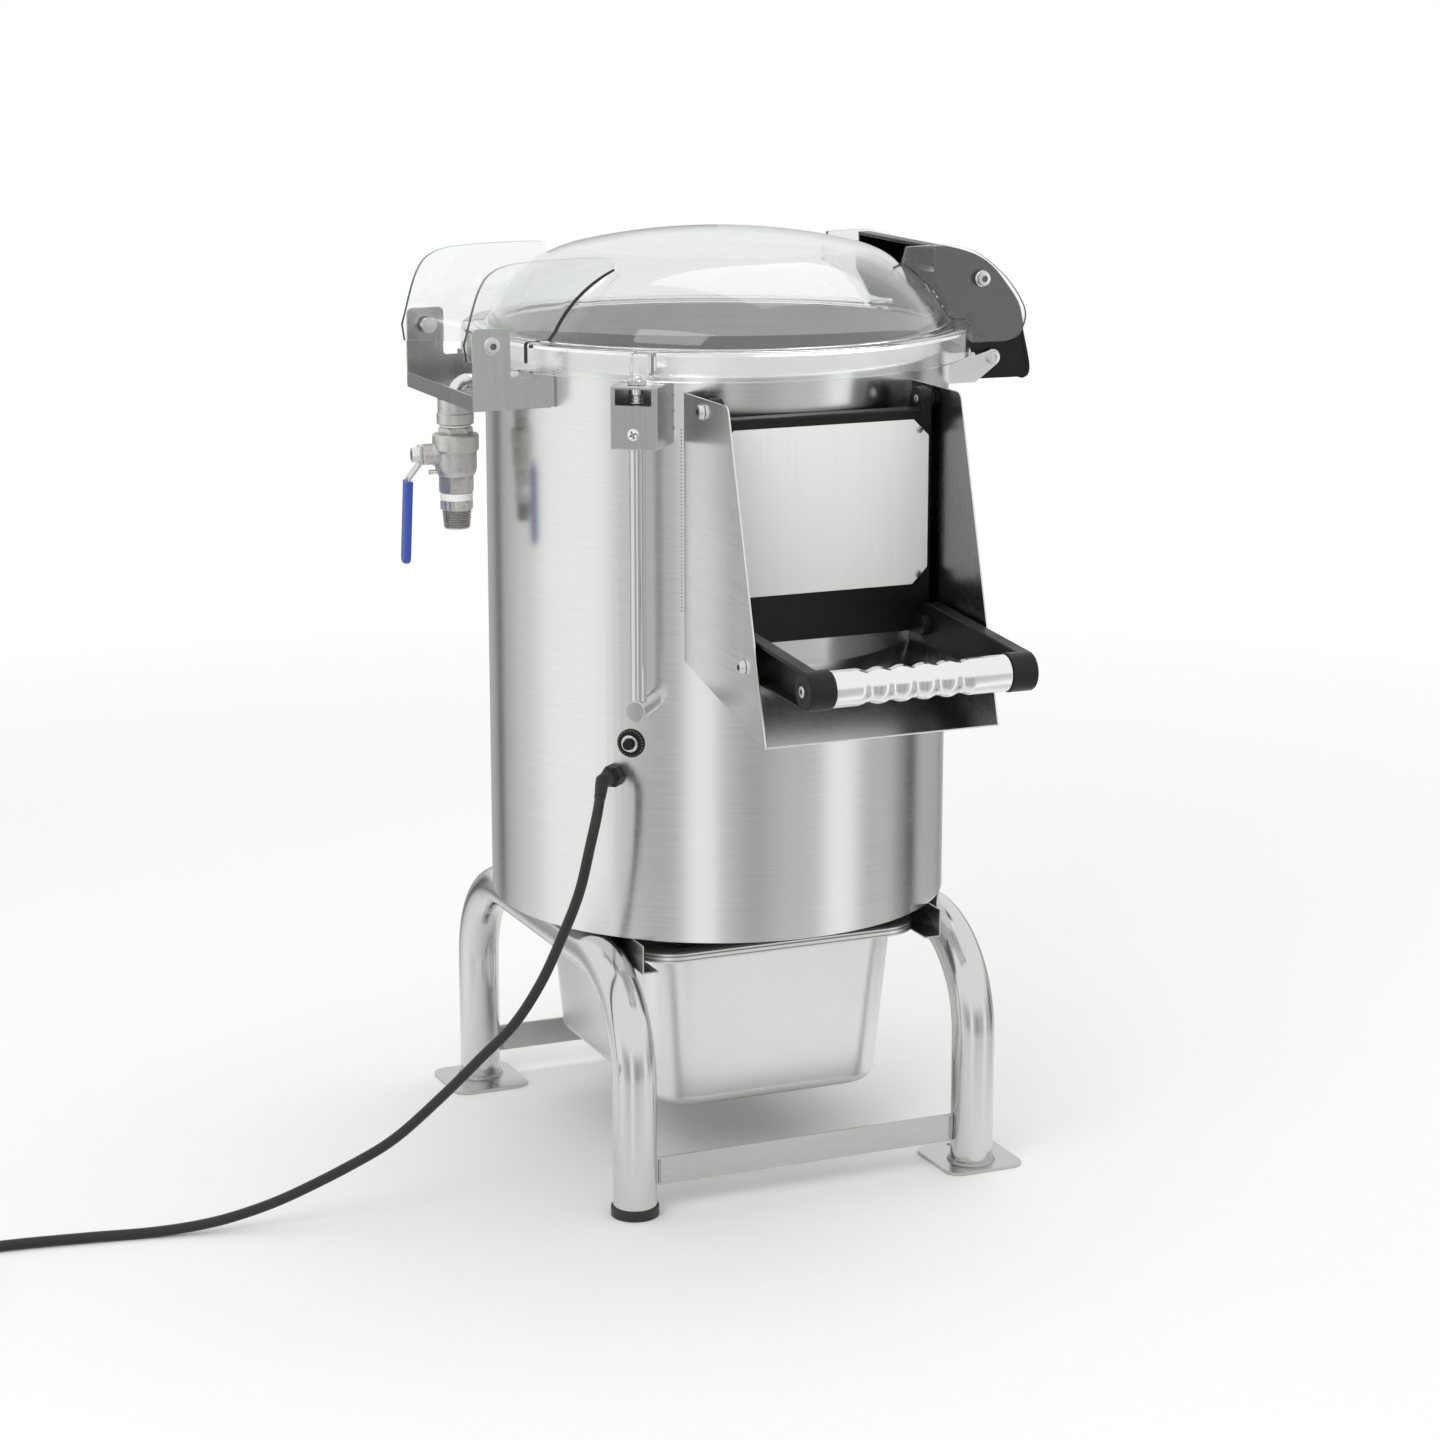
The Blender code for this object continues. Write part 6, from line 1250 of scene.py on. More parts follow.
def bolt_hole(x: float, z: float, radius: float = LEVEL_BOLT_HOLE) -> Thing:
    """Make the cutter for a level hole right through the machine from front to back."""
    return aim(dowel("level_hole", radius, -0.1, 0.1), Facing.BACK, (x, 0, z))


def cross_screw(name: str, radius: float, height: float) -> Thing:
    """Make a low domed cross-head screw that stands on height zero."""
    dome = [(radius * math.cos(a), height * math.sin(a)) for a in
            (math.radians(turn) for turn in (0, 18, 36, 54, 70, 82))]
    head = lathe(name, ((radius, -0.0002), *dome, (0, height)), 40)
    wide, deep = radius * 0.13, radius * 0.62
    for turn in (0, 90):
        slot = block(name + "_slot", (-deep, -wide, height * 0.35), (deep, wide, height * 1.5), 0)
        cut(head, put(slot, turned(turn + 25)))
    return tidy(head, 30)


# The machine

SIDE_WAYS = {-1: Facing.FRONT, 1: Facing.BACK}
HAND_WAYS = {-1: Facing.LEFT, 1: Facing.RIGHT}


@dataclass
class Frame:
    """Two bent leg tubes, their feet, two stretchers and the pan's rails."""

    tube_radius: float = 0.019
    leg_x: float = 0.162
    leg_y: float = 0.198
    bend: float = 0.09
    top: float = 0.2107
    foot: float = 0.0033
    plate_size: Point2 = (0.075, 0.078)
    plate_corner: float = 0.014
    plate_thickness: float = 0.003
    cap_height: float = 0.009
    bar_low: float = 0.0235
    bar_height: float = 0.025
    bar_thickness: float = 0.0035
    rail_sheet: float = 0.0015
    rail_ledge: float = 0.015
    rail_top: float = 0.2297
    rail_low: float = 0.20525
    rail_half: float = 0.17

    def build(self) -> None:
        """Make the frame's pieces."""
        for side, name in HANDS:
            self.make_leg(side, name)
            self.make_rail(side, name)
        for side, name in SIDES:
            self.make_stretcher(side, name)
            self.make_plate(side, name)
            self.make_cap(side, name)

    def make_leg(self, side: int, name: str) -> None:
        """Bend one tube into two legs and the arch between them."""
        deselect()
        bpy.ops.mesh.primitive_circle_add(
            vertices=48, radius=self.tube_radius, fill_type="NOTHING")
        leg = fresh("leg_tube_" + name)
        edit()
        straight = self.top - self.bend - self.foot
        bend_y = self.leg_y - self.bend
        x, z = side * self.leg_x, self.top - self.bend
        bpy.ops.transform.translate(value=(x, -self.leg_y, self.foot))
        pull(0, 0, straight)
        bpy.ops.mesh.spin(steps=18, angle=math.pi / 2, center=(x, -bend_y, z), axis=(1, 0, 0))
        pull(0, bend_y * 2, 0)
        bpy.ops.mesh.spin(steps=18, angle=math.pi / 2, center=(x, bend_y, z), axis=(1, 0, 0))
        pull(0, 0, -straight)
        bpy.ops.mesh.select_all(action="SELECT")
        bpy.ops.mesh.fill_holes(sides=0)
        seat(tidy(leg), TUBE_STEEL, node="frame_tube_" + name)
        pads = [self.weld_pad(x, end * (self.leg_y - self.bend) * 0.86) for end in (-1, 1)]
        seat(gather("drum_welds_" + name, *pads), WELD_STEEL)

    def weld_pad(self, x: float, y: float) -> Thing:
        """Make the small bead between a tube's crown and the drum's base."""
        high = self.top + self.tube_radius
        pad = block("weld_pad", (x - 0.004, y - 0.012, high - 0.0045),
                    (x + 0.004, y + 0.012, high), 0.0015, 3)
        return self.ripple(pad, 0.0003)

    def ripple(self, thing: Thing, depth: float) -> Thing:
        """Roughen a bead's points as a hand-laid weld is."""
        for corner in thing.data.vertices:
            spot = corner.co
            swing = (math.sin(spot.x * 2900 + spot.y * 2300)
                     * math.cos(spot.y * 3700 - spot.z * 900))
            corner.co = spot + Vector((swing, -swing, 0)) * depth
        return thing

    def make_rail(self, side: int, name: str) -> None:
        """Fold one angle rail that the pan slides on."""
        face = side * (self.leg_x - self.tube_radius - FIT)
        web = face - side * self.rail_sheet / 2
        path = ((web, self.rail_top), (web, self.rail_low),
                (face - side * self.rail_ledge, self.rail_low))
        rail = folded("pan_rail_steel_" + name, path, self.rail_half * 2, self.rail_sheet)
        seat(rail, BAR_STEEL, node="pan_rail_" + name)

    def make_stretcher(self, side: int, name: str) -> None:
        """Make one flat bar between the legs, with its weld beads."""
        reach = self.leg_x - self.tube_radius - FIT
        y = side * self.leg_y
        half = self.bar_thickness / 2
        bar = block("stretcher_bar_" + name, (-reach, y - half, self.bar_low),
                    (reach, y + half, self.bar_low + self.bar_height), 0.0008, 3)
        seat(bar, BAR_STEEL, node=name + "_stretcher")
        beads = []
        for end in (-1, 1):
            x = end * (reach - 0.0012)
            low, high = sorted((x, x - end * 0.003))
            bead = block(
                "bead", (low, y - half - 0.0012, self.bar_low + 0.0015),
                (high, y + half + 0.0012, self.bar_low + self.bar_height - 0.0015), 0.0011, 3)
            apply(bead, "SUBSURF", levels=1, render_levels=1)
            beads.append(self.ripple(bead, 0.0002))
        seat(tidy(gather("stretcher_welds_" + name, *beads)), WELD_STEEL)

    def make_plate(self, side: int, name: str) -> None:
        """Make the flat foot under one leg, with its bolt hole and its weld."""
        x, y = -side * self.leg_x, side * self.leg_y
        middle = Vector((x + math.copysign(0.003, x), y - math.copysign(0.009, y)))
        wide, long = self.plate_size[0] / 2, self.plate_size[1] / 2
        outline = rounded([(middle.x - wide, middle.y - long), (middle.x + wide, middle.y - long),
                           (middle.x + wide, middle.y + long), (middle.x - wide, middle.y + long)],
                          self.plate_corner, 10)
        foot = slab("foot_plate_steel_" + name, outline, self.plate_thickness, 0.0006)
        hole_y = middle.y - math.copysign(long - 0.008, y)
        hole = dowel("bolt_hole", 0.0035, -0.001, 0.005)
        cut(foot, put(hole, moved(x, hole_y)))
        seat(tidy(foot), BAR_STEEL, node="foot_plate_" + name)
        low, radius = self.plate_thickness, self.tube_radius
        bead = lathe("foot_weld_" + name, (
            (radius - 0.0008, low + 0.0032), (radius + 0.0004, low + 0.0029),
            (radius + 0.0017, low + 0.0018), (radius + 0.0026, low),
            (radius - 0.0008, low)), 96, closed=True)
        for corner in bead.data.vertices:
            turn = math.atan2(corner.co.y, corner.co.x)
            if corner.co.z > low + 0.001:
                corner.co *= 1 + 0.01 * math.sin(turn * 31) * math.sin(turn * 7 + 1)
        seat(put(bead, moved(x, y)), WELD_STEEL)

    def make_cap(self, side: int, name: str) -> None:
        """Make the ribbed rubber cap on the other leg."""
        inner, outer, high = self.tube_radius + FIT, self.tube_radius + 0.0018, self.cap_height
        cap = lathe("foot_cap_rubber_" + name, (
            (inner, 0.003), (inner, high - 0.0002), (outer - 0.0004, high),
            (outer, high - 0.0006), (outer, 0.003), (outer - 0.0003, 0.0026),
            (outer - 0.0003, 0.002), (outer, 0.0016), (outer, 0.0008), (outer - 0.0008, 0)), 64)
        seat(put(cap, moved(side * self.leg_x, side * self.leg_y)), SOFT_RUBBER,
             node="foot_cap_" + name)


@dataclass
class DrainPan:
    """The deep drawn pan that slides out on its rails."""

    half_width: float = 0.1185
    half_length: float = 0.15
    depth: float = 0.151
    draw: float = 0.01098
    rim_height: float = 0.2135
    shift: float = 0.005
    corner: float = 0.036
    foot_corner: float = 0.013
    rim_width: float = 0.014
    rim_length: float = 0.0125
    lip: float = 0.0072
    sheet: float = 0.0012

    def build(self) -> None:
        """Draw the pan from a block, open its top and flare its stepped rim."""
        deselect()
        bpy.ops.mesh.primitive_cube_add(size=1)
        pan = fresh("deep_drawn_pan")
        for corner in pan.data.vertices:
            across, along, up = corner.co
            draw = self.draw if up < 0 else 0.0
            corner.co = (math.copysign(self.half_width - draw, across),
                         math.copysign(self.half_length - draw, along), up * self.depth)
        ease(pan, self.corner, lambda a, b: abs(a.z - b.z) > self.depth / 2, 12)
        low = -self.depth / 2 + 0.0001
        ease(pan, self.foot_corner, lambda a, b: a.z < low and b.z < low, 7)
        pick(pan)
        edit("FACE", "DESELECT")
        leave_edit()
        for face in pan.data.polygons:
            face.select = face.normal.z > 0.9
        enter_edit()
        bpy.ops.mesh.delete(type="FACE")
        select_rims()
        leave_edit()
        half_step = (self.rim_width * 0.5 - 0.0022, self.rim_length * 0.5 - 0.0022, 0.0)
        for out_x, out_y, up in ((0.0016, 0.0016, 0.0), (0.0006, 0.0006, -0.0004), half_step,
                                 (0.0008, 0.0008, 0.0012), half_step, (0.0011, 0.0011, -0.0008),
                                 (0.0003, 0.0003, -self.lip * 0.95)):
            enter_edit()
            pull(0, 0, up)
            leave_edit()
            for corner in pan.data.vertices:
                if corner.select:
                    corner.co.x += math.copysign(out_x, corner.co.x)
                    corner.co.y += math.copysign(out_y, corner.co.y)
        tidy(pan, 40)
        apply(pan, "SOLIDIFY", thickness=self.sheet, offset=1, use_even_offset=True)
        put(pan, moved(0, self.shift, self.rim_height - self.depth / 2))
        seat(tidy(pan, 40), PAN_STEEL, "pan", "drain_pan")


@dataclass
class Drum:
    """The drum's brushed shell with its row of spot welds, and the liner that shows through the
    lid.
    """

    wall: float = 0.0015
    low: float = 0.23
    high: float = 0.7355
    outlet: Sizes = (0.088, 0.5, 0.68)
    nozzle: Point2 = (0.699, 0.0068)
    breaker: Sizes = (-44.2, 0.4033, 0.0063)
    gland: Sizes = (-48.5, 0.374, 0.0078)
    liner_thickness: float = 0.003
    liner: Point2 = (0.4799, 0.69)
    weld_offset: float = 0.1072
    weld_low: float = 0.52
    weld_pitch: float = 0.003
    weld_count: int = 52

    def build(self) -> None:
        """Roll the shell, cut its openings and fit the liner."""
        outer, inner, soft = DRUM_RADIUS, DRUM_RADIUS - self.wall, 0.0003
        shell = lathe("drum_steel", (
            (outer - soft, self.low), (outer, self.low + soft), (outer, self.high - soft),
            (outer - soft, self.high), (inner + soft, self.high), (inner, self.high - soft),
            (inner, self.low + soft), (inner + soft, self.low)), 192, closed=True)
        cut(shell, self.outlet_tool(), self.hole(-90, *self.nozzle), self.hole(*self.breaker),
            self.hole(*self.gland))
        seat(tidy(shell, 30), DRUM_STEEL, node="drum_shell")
        # Painted light: the drum's inward faces take the lighter, barely metallic inner steel.
        line_with(shell, INNER_LIT_STEEL, lambda at, way: at.x * way.x + at.y * way.y < -0.1)
        inner -= 0.0003
        low, high = self.liner
        liner = lathe("grit_liner", (
            (inner, low), (inner, high), (inner - self.liner_thickness + 0.001, high),
            (inner - self.liner_thickness, high - 0.001), (inner - self.liner_thickness, low)),
            144, closed=True)
        cut(liner, self.outlet_tool())
        seat(tidy(liner, 30), GRIT, node="abrasive_liner")
        self.make_spot_welds()
        dress(BAR_STEEL, "inner_floor", "motor_plate")
        # Painted shade: the base plate takes the dark painted iron so that the gap under the drum
        # looks dark.
        dress(DARK_IRON, "base_plate")

    def outlet_tool(self) -> Thing:
        """Make the cutter for the way out."""
        half, low, high = self.outlet
        return block("outlet_tool", (-half, -DRUM_RADIUS - 0.01, low), (half, -0.12, high), 0.0)

    def hole(self, bearing: float, height: float, radius: float) -> Thing:
        """Make a cutter for a round hole through the wall."""
        tool = dowel("hole_tool", radius, -0.012, 0.012)
        place = facing(Facing.FRONT, (0, -DRUM_RADIUS, height))
        return put(tool, turned(bearing) @ place)

    def make_spot_welds(self) -> None:
        """Make the row of shallow weld marks beside the chute's flange."""
        shape = ((0, 0.00022), (0.0006, 0.00014), (0.0009, -0.0001), (0, -0.0002))
        mark, marks = lathe("spot_weld", shape, 8), []
        bearing = -math.degrees(math.asin(self.weld_offset / DRUM_RADIUS))
        for i in range(self.weld_count):
            spot = (0, -DRUM_RADIUS, self.weld_low + i * self.weld_pitch)
            place = turned(bearing) @ facing(Facing.FRONT, spot)
            marks.append(twin(mark, "spot_weld_copy", place))
        bpy.data.objects.remove(mark, do_unlink=True)
        seat(gather("chute_spot_welds", *marks), WELD_STEEL)


@dataclass
class Drive:
    """The abrasive disc, and the finishes of the drive that the drum hides."""

    disc_radius: float = 0.1949
    low: float = 0.4635
    thickness: float = 0.0105
    boss_radius: float = 0.03
    boss_rise: float = 0.0065
    hump_radius: float = 0.01

    def build(self) -> None:
        """Make the disc with its three humps, and dress the hidden drive."""
        top, radius, boss = self.low + self.thickness, self.disc_radius, self.boss_radius
        disc = lathe("grit_disc", (
            (boss * 0.4, top + self.boss_rise),
            (boss * 0.55, top + self.boss_rise * 0.93), (boss * 0.85, top + self.boss_rise * 0.3),
            (boss, top), (radius - 0.004, top), (radius - 0.001, top - 0.001),
            (radius, top - 0.003), (radius, self.low), (boss, self.low),
            (0.0105, self.low), (0.0105, top)), 96)
        for i in range(3):
            start, stop, r = 0.055, radius - 0.015, self.hump_radius
            hump = lathe("hump", ((0, start), (r * 0.6, start + 0.0006), (r * 0.9, start + 0.004),
                                  (r, start + 0.008), (r, stop - 0.008), (r * 0.9, stop - 0.004),
                                  (r * 0.6, stop - 0.0006), (0, stop)), 32)
            put(hump, turned(120 * i) @ moved(0, 0, top - r / 2) @ turned(90, "Y"))
            melt(disc, hump)
        seat(tidy(disc, 40), GRIT, "disc", "abrasive_disc")
        dress(BRIGHT_STEEL, "drive_shaft")
        dress(DARK_IRON, "bearing_housing", "driven_pulley", "motor_pulley", "motor")
        dress(SOFT_RUBBER, "drive_belt")


@dataclass
class Lid:
    """The clear domed lid with its four wings, and the seal and pin that it carries."""

    wall: float = 0.004
    flange: float = 0.741
    foot: float = 0.2037
    shoulder: Sizes = (0.101288, 0.700231, 0.11)
    shoulder_turn: Point2 = (25.4, 77.17)
    crown: Point2 = (0.255622, 0.566)
    skirt: float = 0.225
    skirt_low: float = 0.7145
    wing: Point2 = (0.079, 0.084)
    rise: float = 0.0665
    hinge_reach: float = 0.264
    latch_reach: float = 0.2626
    hinge_shares: Outline = (
        (0.992, -0.226), (1.0, -0.015), (0.947, 0.662), (0.883, 0.917), (0.758, 0.992),
        (0.519, 1.0), (0.494, 0.941))
    latch_shares: Outline = (
        (0.7905, -0.323), (0.925, -0.323), (0.975, -0.248), (1.0, -0.015), (0.984, 0.205),
        (0.921, 0.534), (0.817, 0.857), (0.716, 0.977), (0.552, 0.977))
    feet: Outline = ((0.12568, 0.741), (0.15705, 0.739), (0.1996, 0.739), (0.2076, 0.739))
    hinge_heel: Point2 = (0.2076, 0.7225)
    hinge_hole: Point2 = (-0.2415, 0.7388)
    latch_hole: Point2 = (0.218, 0.7757)
    boss_turn: float = -39.4

    def build(self) -> None:
        """Blow the dome, melt its wings and boss on, and fit the seal and the pin."""
        lid = self.make_dome()
        for side in (-1, 1):
            melt(lid, self.make_wing(side, True), self.make_wing(side, False))
        melt(lid, self.make_boss())
        for hole in (self.hinge_hole, self.latch_hole):
            cut(lid, bolt_hole(*hole))
        apply(lid, "BEVEL", width=0.0005, segments=2, limit_method="ANGLE",
              angle_limit=math.radians(60), harden_normals=False)
        seat(tidy(lid, 28), CLEAR_LID, "lid", "lid")
        seal = lathe("lid_seal_ring", (
            (0.2031, 0.7358), (0.2031, 0.7364), (0.2034, 0.7367), (0.2094, 0.7367),
            (0.2099, 0.7364), (0.2099, 0.7358)), 144, closed=True)
        seat(seal, SOFT_RUBBER, "lid", "lid_seal")
        self.make_pin()

    def dome_outline(self, offset: float) -> list[Point2]:
        """Return the dome's rounded side, from its crown down to its foot.

        Args:
            offset: How far inside the outer face the line runs.

        Returns:
            (radius, height) points.
        """
        z, radius = self.crown
        x, up, small = self.shoulder
        low, high = self.shoulder_turn
        join = math.degrees(math.asin((x + small * math.cos(math.radians(high))) / radius))
        crown = arc((0, z), radius - offset, 90, 90 - join, 10)[:-1]
        return [(0, crown[0][1]), *crown[1:], *arc((x, up), small - offset, high, low, 18)]

    def make_dome(self) -> Thing:
        """Turn the dome, its flange and its skirt as one shell."""
        wall, flange, edge = self.wall, self.flange, 0.0016
        outer = self.dome_outline(0)
        inner = self.dome_outline(wall)
        foot_low = flange - wall
        profile = [
            *outer, (self.foot + 0.0006, flange + 0.0012), (self.foot + 0.0022, flange),
            (0.2145, flange), (0.2149, flange - 0.0007),
            *arc((self.skirt - 0.003, flange - 0.0037), 0.003, 90, 0, 6),
            (self.skirt, self.skirt_low + 0.0008), (self.skirt - 0.0008, self.skirt_low),
            (self.skirt - wall, self.skirt_low), (self.skirt - wall, foot_low - edge),
            (self.skirt - wall - edge, foot_low), (self.foot - 0.0036, foot_low), *reversed(inner)]
        return lathe("clear_lid", profile, 160)

    def make_wing(self, side: int, at_hinge: bool) -> Thing:
        """Cut one wing and trim it to the outside of the dome.

        Args:
            side: -1 for the front wing, 1 for the rear one.
            at_hinge: Whether it is one of the two at the hinge.

        Returns:
            The wing.
        """
        low, high = self.wing
        reach = self.hinge_reach if at_hinge else self.latch_reach
        hand = -1 if at_hinge else 1
        edge = [(hand * reach * x, self.flange + self.rise * z)
                for x, z in (self.hinge_shares if at_hinge else self.latch_shares)]
        feet = [(hand * x, z) for x, z in self.feet]
        if at_hinge:
            feet.append((hand * self.hinge_heel[0], self.hinge_heel[1]))
        outline = [edge[0], *smoothed(edge[1:], 6), *feet]
        middle, thick = side * (low + high) / 2, high - low
        wing = upright(slab("lid_wing", outline, thick, 0), middle, thick)
        core = lathe("dome_core", [*self.dome_outline(self.wall / 2),
                                   (self.foot - self.wall / 2, self.flange - self.wall / 2),
                                   (self.foot - self.wall / 2, 0.7)], 96)
        return cut(wing, core)

    def make_boss(self) -> Thing:
        """Make the moulded boss that presses the switch."""
        boss = block("switch_boss", (-0.004, -0.245, 0.7214), (0.013, -0.223, 0.7397), 0.0016, 3)
        return put(boss, turned(self.boss_turn))

    def make_pin(self) -> None:
        """Make the latch's pin: a rod with a socket head at each end and a washer."""
        x, z = self.latch_hole
        parts = [aim(dowel("pin_rod", 0.004, -0.0848, 0.0848), Facing.BACK, (x, 0, z))]
        for side, way in SIDE_WAYS.items():
            parts += screw_end(way, (x, side * 0.0844, z), (0.0072, 0.0009), (0.0061, 0.0039))
        seat(tidy(gather("latch_pin_steel", *parts), 30), BRIGHT_STEEL, "lid", "latch_pin")


@dataclass
class HingeBracket:
    """The folded steel tray at the back of the drum that the lid hinges on."""

    outside: float = 0.087
    sheet: float = 0.002
    low: float = 0.6845
    ear: Sizes = (-0.2585, -0.225, 0.7535)
    arm_top: float = 0.7115
    corner: float = 0.005
    lip_top: float = 0.6975
    bolt: Point2 = (-0.2415, 0.7388)
    inlet: Point2 = (-0.2445, 0.0068)

    def build(self) -> None:
        """Cut the cheeks, fold the tray and fit the bolts and the water nozzle."""
        left, right, top = self.ear
        reach = DRUM_RADIUS * 0.925
        outline = rounded(
            [(left, self.low), (-reach, self.low), (-reach, self.arm_top), (right, self.arm_top),
             (right, top), (left, top)], [0.002, 0, 0, 0.003, self.corner, self.corner], 6)
        cheeks = pair(upright, "hinge_cheek", outline, self.outside - self.sheet / 2, self.sheet)
        back, level = left + self.sheet / 2, self.low + self.sheet / 2
        tray = folded(
            "hinge_bracket_steel", ((-reach, level), (back, level), (back, self.lip_top)),
            self.outside * 2 - self.sheet, self.sheet)
        bracket = melt(tray, *cheeks)
        for side in (-1, 1):
            near, far = sorted((side * 0.07, side * 0.0862))
            melt(bracket, block("hinge_flange", (-0.212, near, self.low + 0.001),
                                (-0.182, far, self.arm_top + 0.0045)))
        cut(bracket, drum_core())
        x, z = self.bolt
        inlet = dowel("inlet_hole", self.inlet[1], 0.66, 0.69, 40)
        cut(bracket, bolt_hole(x, z, 0.0042), put(inlet, moved(self.inlet[0])))
        seat(tidy(bracket, 30), PLATE_STEEL, node="hinge_bracket")
        for side, name in SIDES:
            self.make_bolt(side, name)
        self.make_nozzle()

    def make_bolt(self, side: int, name: str) -> None:
        """Make one hinge bolt with its washer and its nut."""
        x, z = self.bolt
        way = SIDE_WAYS[side]
        parts = [aim(dowel("hinge_shank", 0.004, 0.0726, 0.088), way, (x, 0, z)),
                 *screw_end(way, (x, side * 0.0873, z), (0.0074, 0.0009), (0.0062, 0.0033)),
                 aim(nut("hinge_nut", 0.0075, 0.0056, 0.0038), way, (x, side * 0.0726, z))]
        seat(tidy(gather("hinge_bolt_steel_" + name, *parts), 30), BRIGHT_STEEL,
             node="hinge_bolt_" + name)

    def make_nozzle(self) -> None:
        """Bend the water nozzle from the tray's hole to the drum's."""
        x, bend, high = self.inlet[0], 0.012, 0.699
        line = [(x, 0, 0.685),
                *[(px, 0, pz) for px, pz in arc((x + bend, high - bend), bend, 180, 90, 8)],
                (-0.1945, 0, high)]
        pipe = piped("water_nozzle_steel", line, 0.0064, 8)
        bore = piped("nozzle_bore", [(-0.21, 0, high), (-0.19, 0, high)], 0.0045, 6)
        seat(tidy(cut(pipe, bore), 35), BRIGHT_STEEL, node="spray_nozzle")


@dataclass
class Latch:
    """The black folded handle that locks the lid, and the catch that it hooks on."""

    pivot: Point2 = (0.218, 0.7757)
    half_width: float = 0.0775
    sheet: float = 0.003
    reach: float = 0.2626
    rise: float = 0.0665
    flange: float = 0.741
    shares: Outline = (
        (0.663, 0.937), (0.716, 0.932), (0.81, 0.82), (0.868, 0.68), (0.911, 0.507),
        (0.972, 0.188), (0.99, -0.038), (1.0, -0.233), (1.024, -0.639), (1.021, -0.789),
        (1.0, -0.83))
    cheek_shares: Outline = ((0.663, 0.571), (0.717, 0.15), (0.7665, 0.069), (0.811, 0.045))
    hook_low: float = 0.6862
    hook_x: float = 0.2185
    throat_x: float = 0.2135
    slot: float = 0.0055
    catch: Point2 = (0.2303, 0.7053)
    rod: float = 0.0045
    arm_middle: float = 0.081
    arm_thickness: float = 0.004

    def build(self) -> None:
        """Make the handle and its catch."""
        self.make_handle()
        self.make_catch()

    def place(self, share: Point2) -> Point2:
        """Return a place on the latch's side view from its share of the wing's size."""
        return (share[0] * self.reach, self.flange + share[1] * self.rise)

    def make_handle(self) -> None:
        """Fold the handle's back and cut its two hooked cheeks."""
        path = [self.place(share) for share in self.shares]
        handle = folded(
            "latch_handle_sheet", smoothed(path, 3), self.half_width * 2, self.sheet, 0, 0.0004)
        pivot, rod = Vector(self.pivot), Vector(self.catch)
        arm = rod - pivot
        heading = math.degrees(math.atan2(arm.y, arm.x))
        wide, tight = arm.length + self.slot, arm.length - self.slot
        hook = -math.degrees(math.acos((self.hook_x - pivot.x) / wide))
        throat = -math.degrees(math.acos((self.throat_x - pivot.x) / tight))
        outline = [(self.hook_x, self.hook_low), *reversed(path),
                   *(self.place(share) for share in self.cheek_shares),
                   *arc(pivot, tight, throat, heading, 8),
                   *arc(rod, self.slot, heading + 180, heading, 12)[1:],
                   *arc(pivot, wide, heading, hook, 8)[1:-1]]
        face = self.half_width - 0.0005
        cheeks = pair(upright, "latch_cheek", outline, face - self.sheet / 2, self.sheet, 0.0003)
        lip = block(
            "latch_lip", (self.hook_x, -self.half_width + self.sheet, self.hook_low + 0.0003),
            (self.catch[0], self.half_width - self.sheet, self.hook_low + self.sheet), 0.0003)
        cheeks.append(lip)
        hub = []
        for side in (-1, 1):
            low, high = sorted((side * (face - self.sheet / 2), side * (face - 0.011)))
            boss = dowel("latch_hub", 0.008, low, high, 40)
            hub.append(aim(boss, Facing.BACK, (self.pivot[0], 0, self.pivot[1])))
        cut(melt(handle, *cheeks, *hub), bolt_hole(*self.pivot))
        seat(tidy(handle, 34), BLACK_PAINT, "latch", "latch_handle")

    def make_catch(self) -> None:
        """Make the catch: two arms from the drum, the rod between them and its screws."""
        x, z = self.catch
        nose = arc((x, z), 0.0075, -60, 125, 14)
        outline = [(0.1636, 0.684), (0.2136, 0.684), *nose, (0.2136, 0.70815), (0.2117, 0.711),
                   (0.1636, 0.711)]
        arms = pair(upright, "catch_arm", outline, self.arm_middle, self.arm_thickness)
        rod = dowel("catch_rod", self.rod, -0.085, 0.085, 40)
        catch = cut(gather("catch_arms", *arms), drum_core())
        parts = [melt(catch, aim(rod, Facing.BACK, (x, 0, z)))]
        for side, way in SIDE_WAYS.items():
            parts.append(aim(cap_screw("catch_head", 0.0056, 0.0036), way, (x, side * 0.0833, z)))
        seat(tidy(gather("latch_catch_steel", *parts), 30), BRIGHT_STEEL, node="catch_bracket")


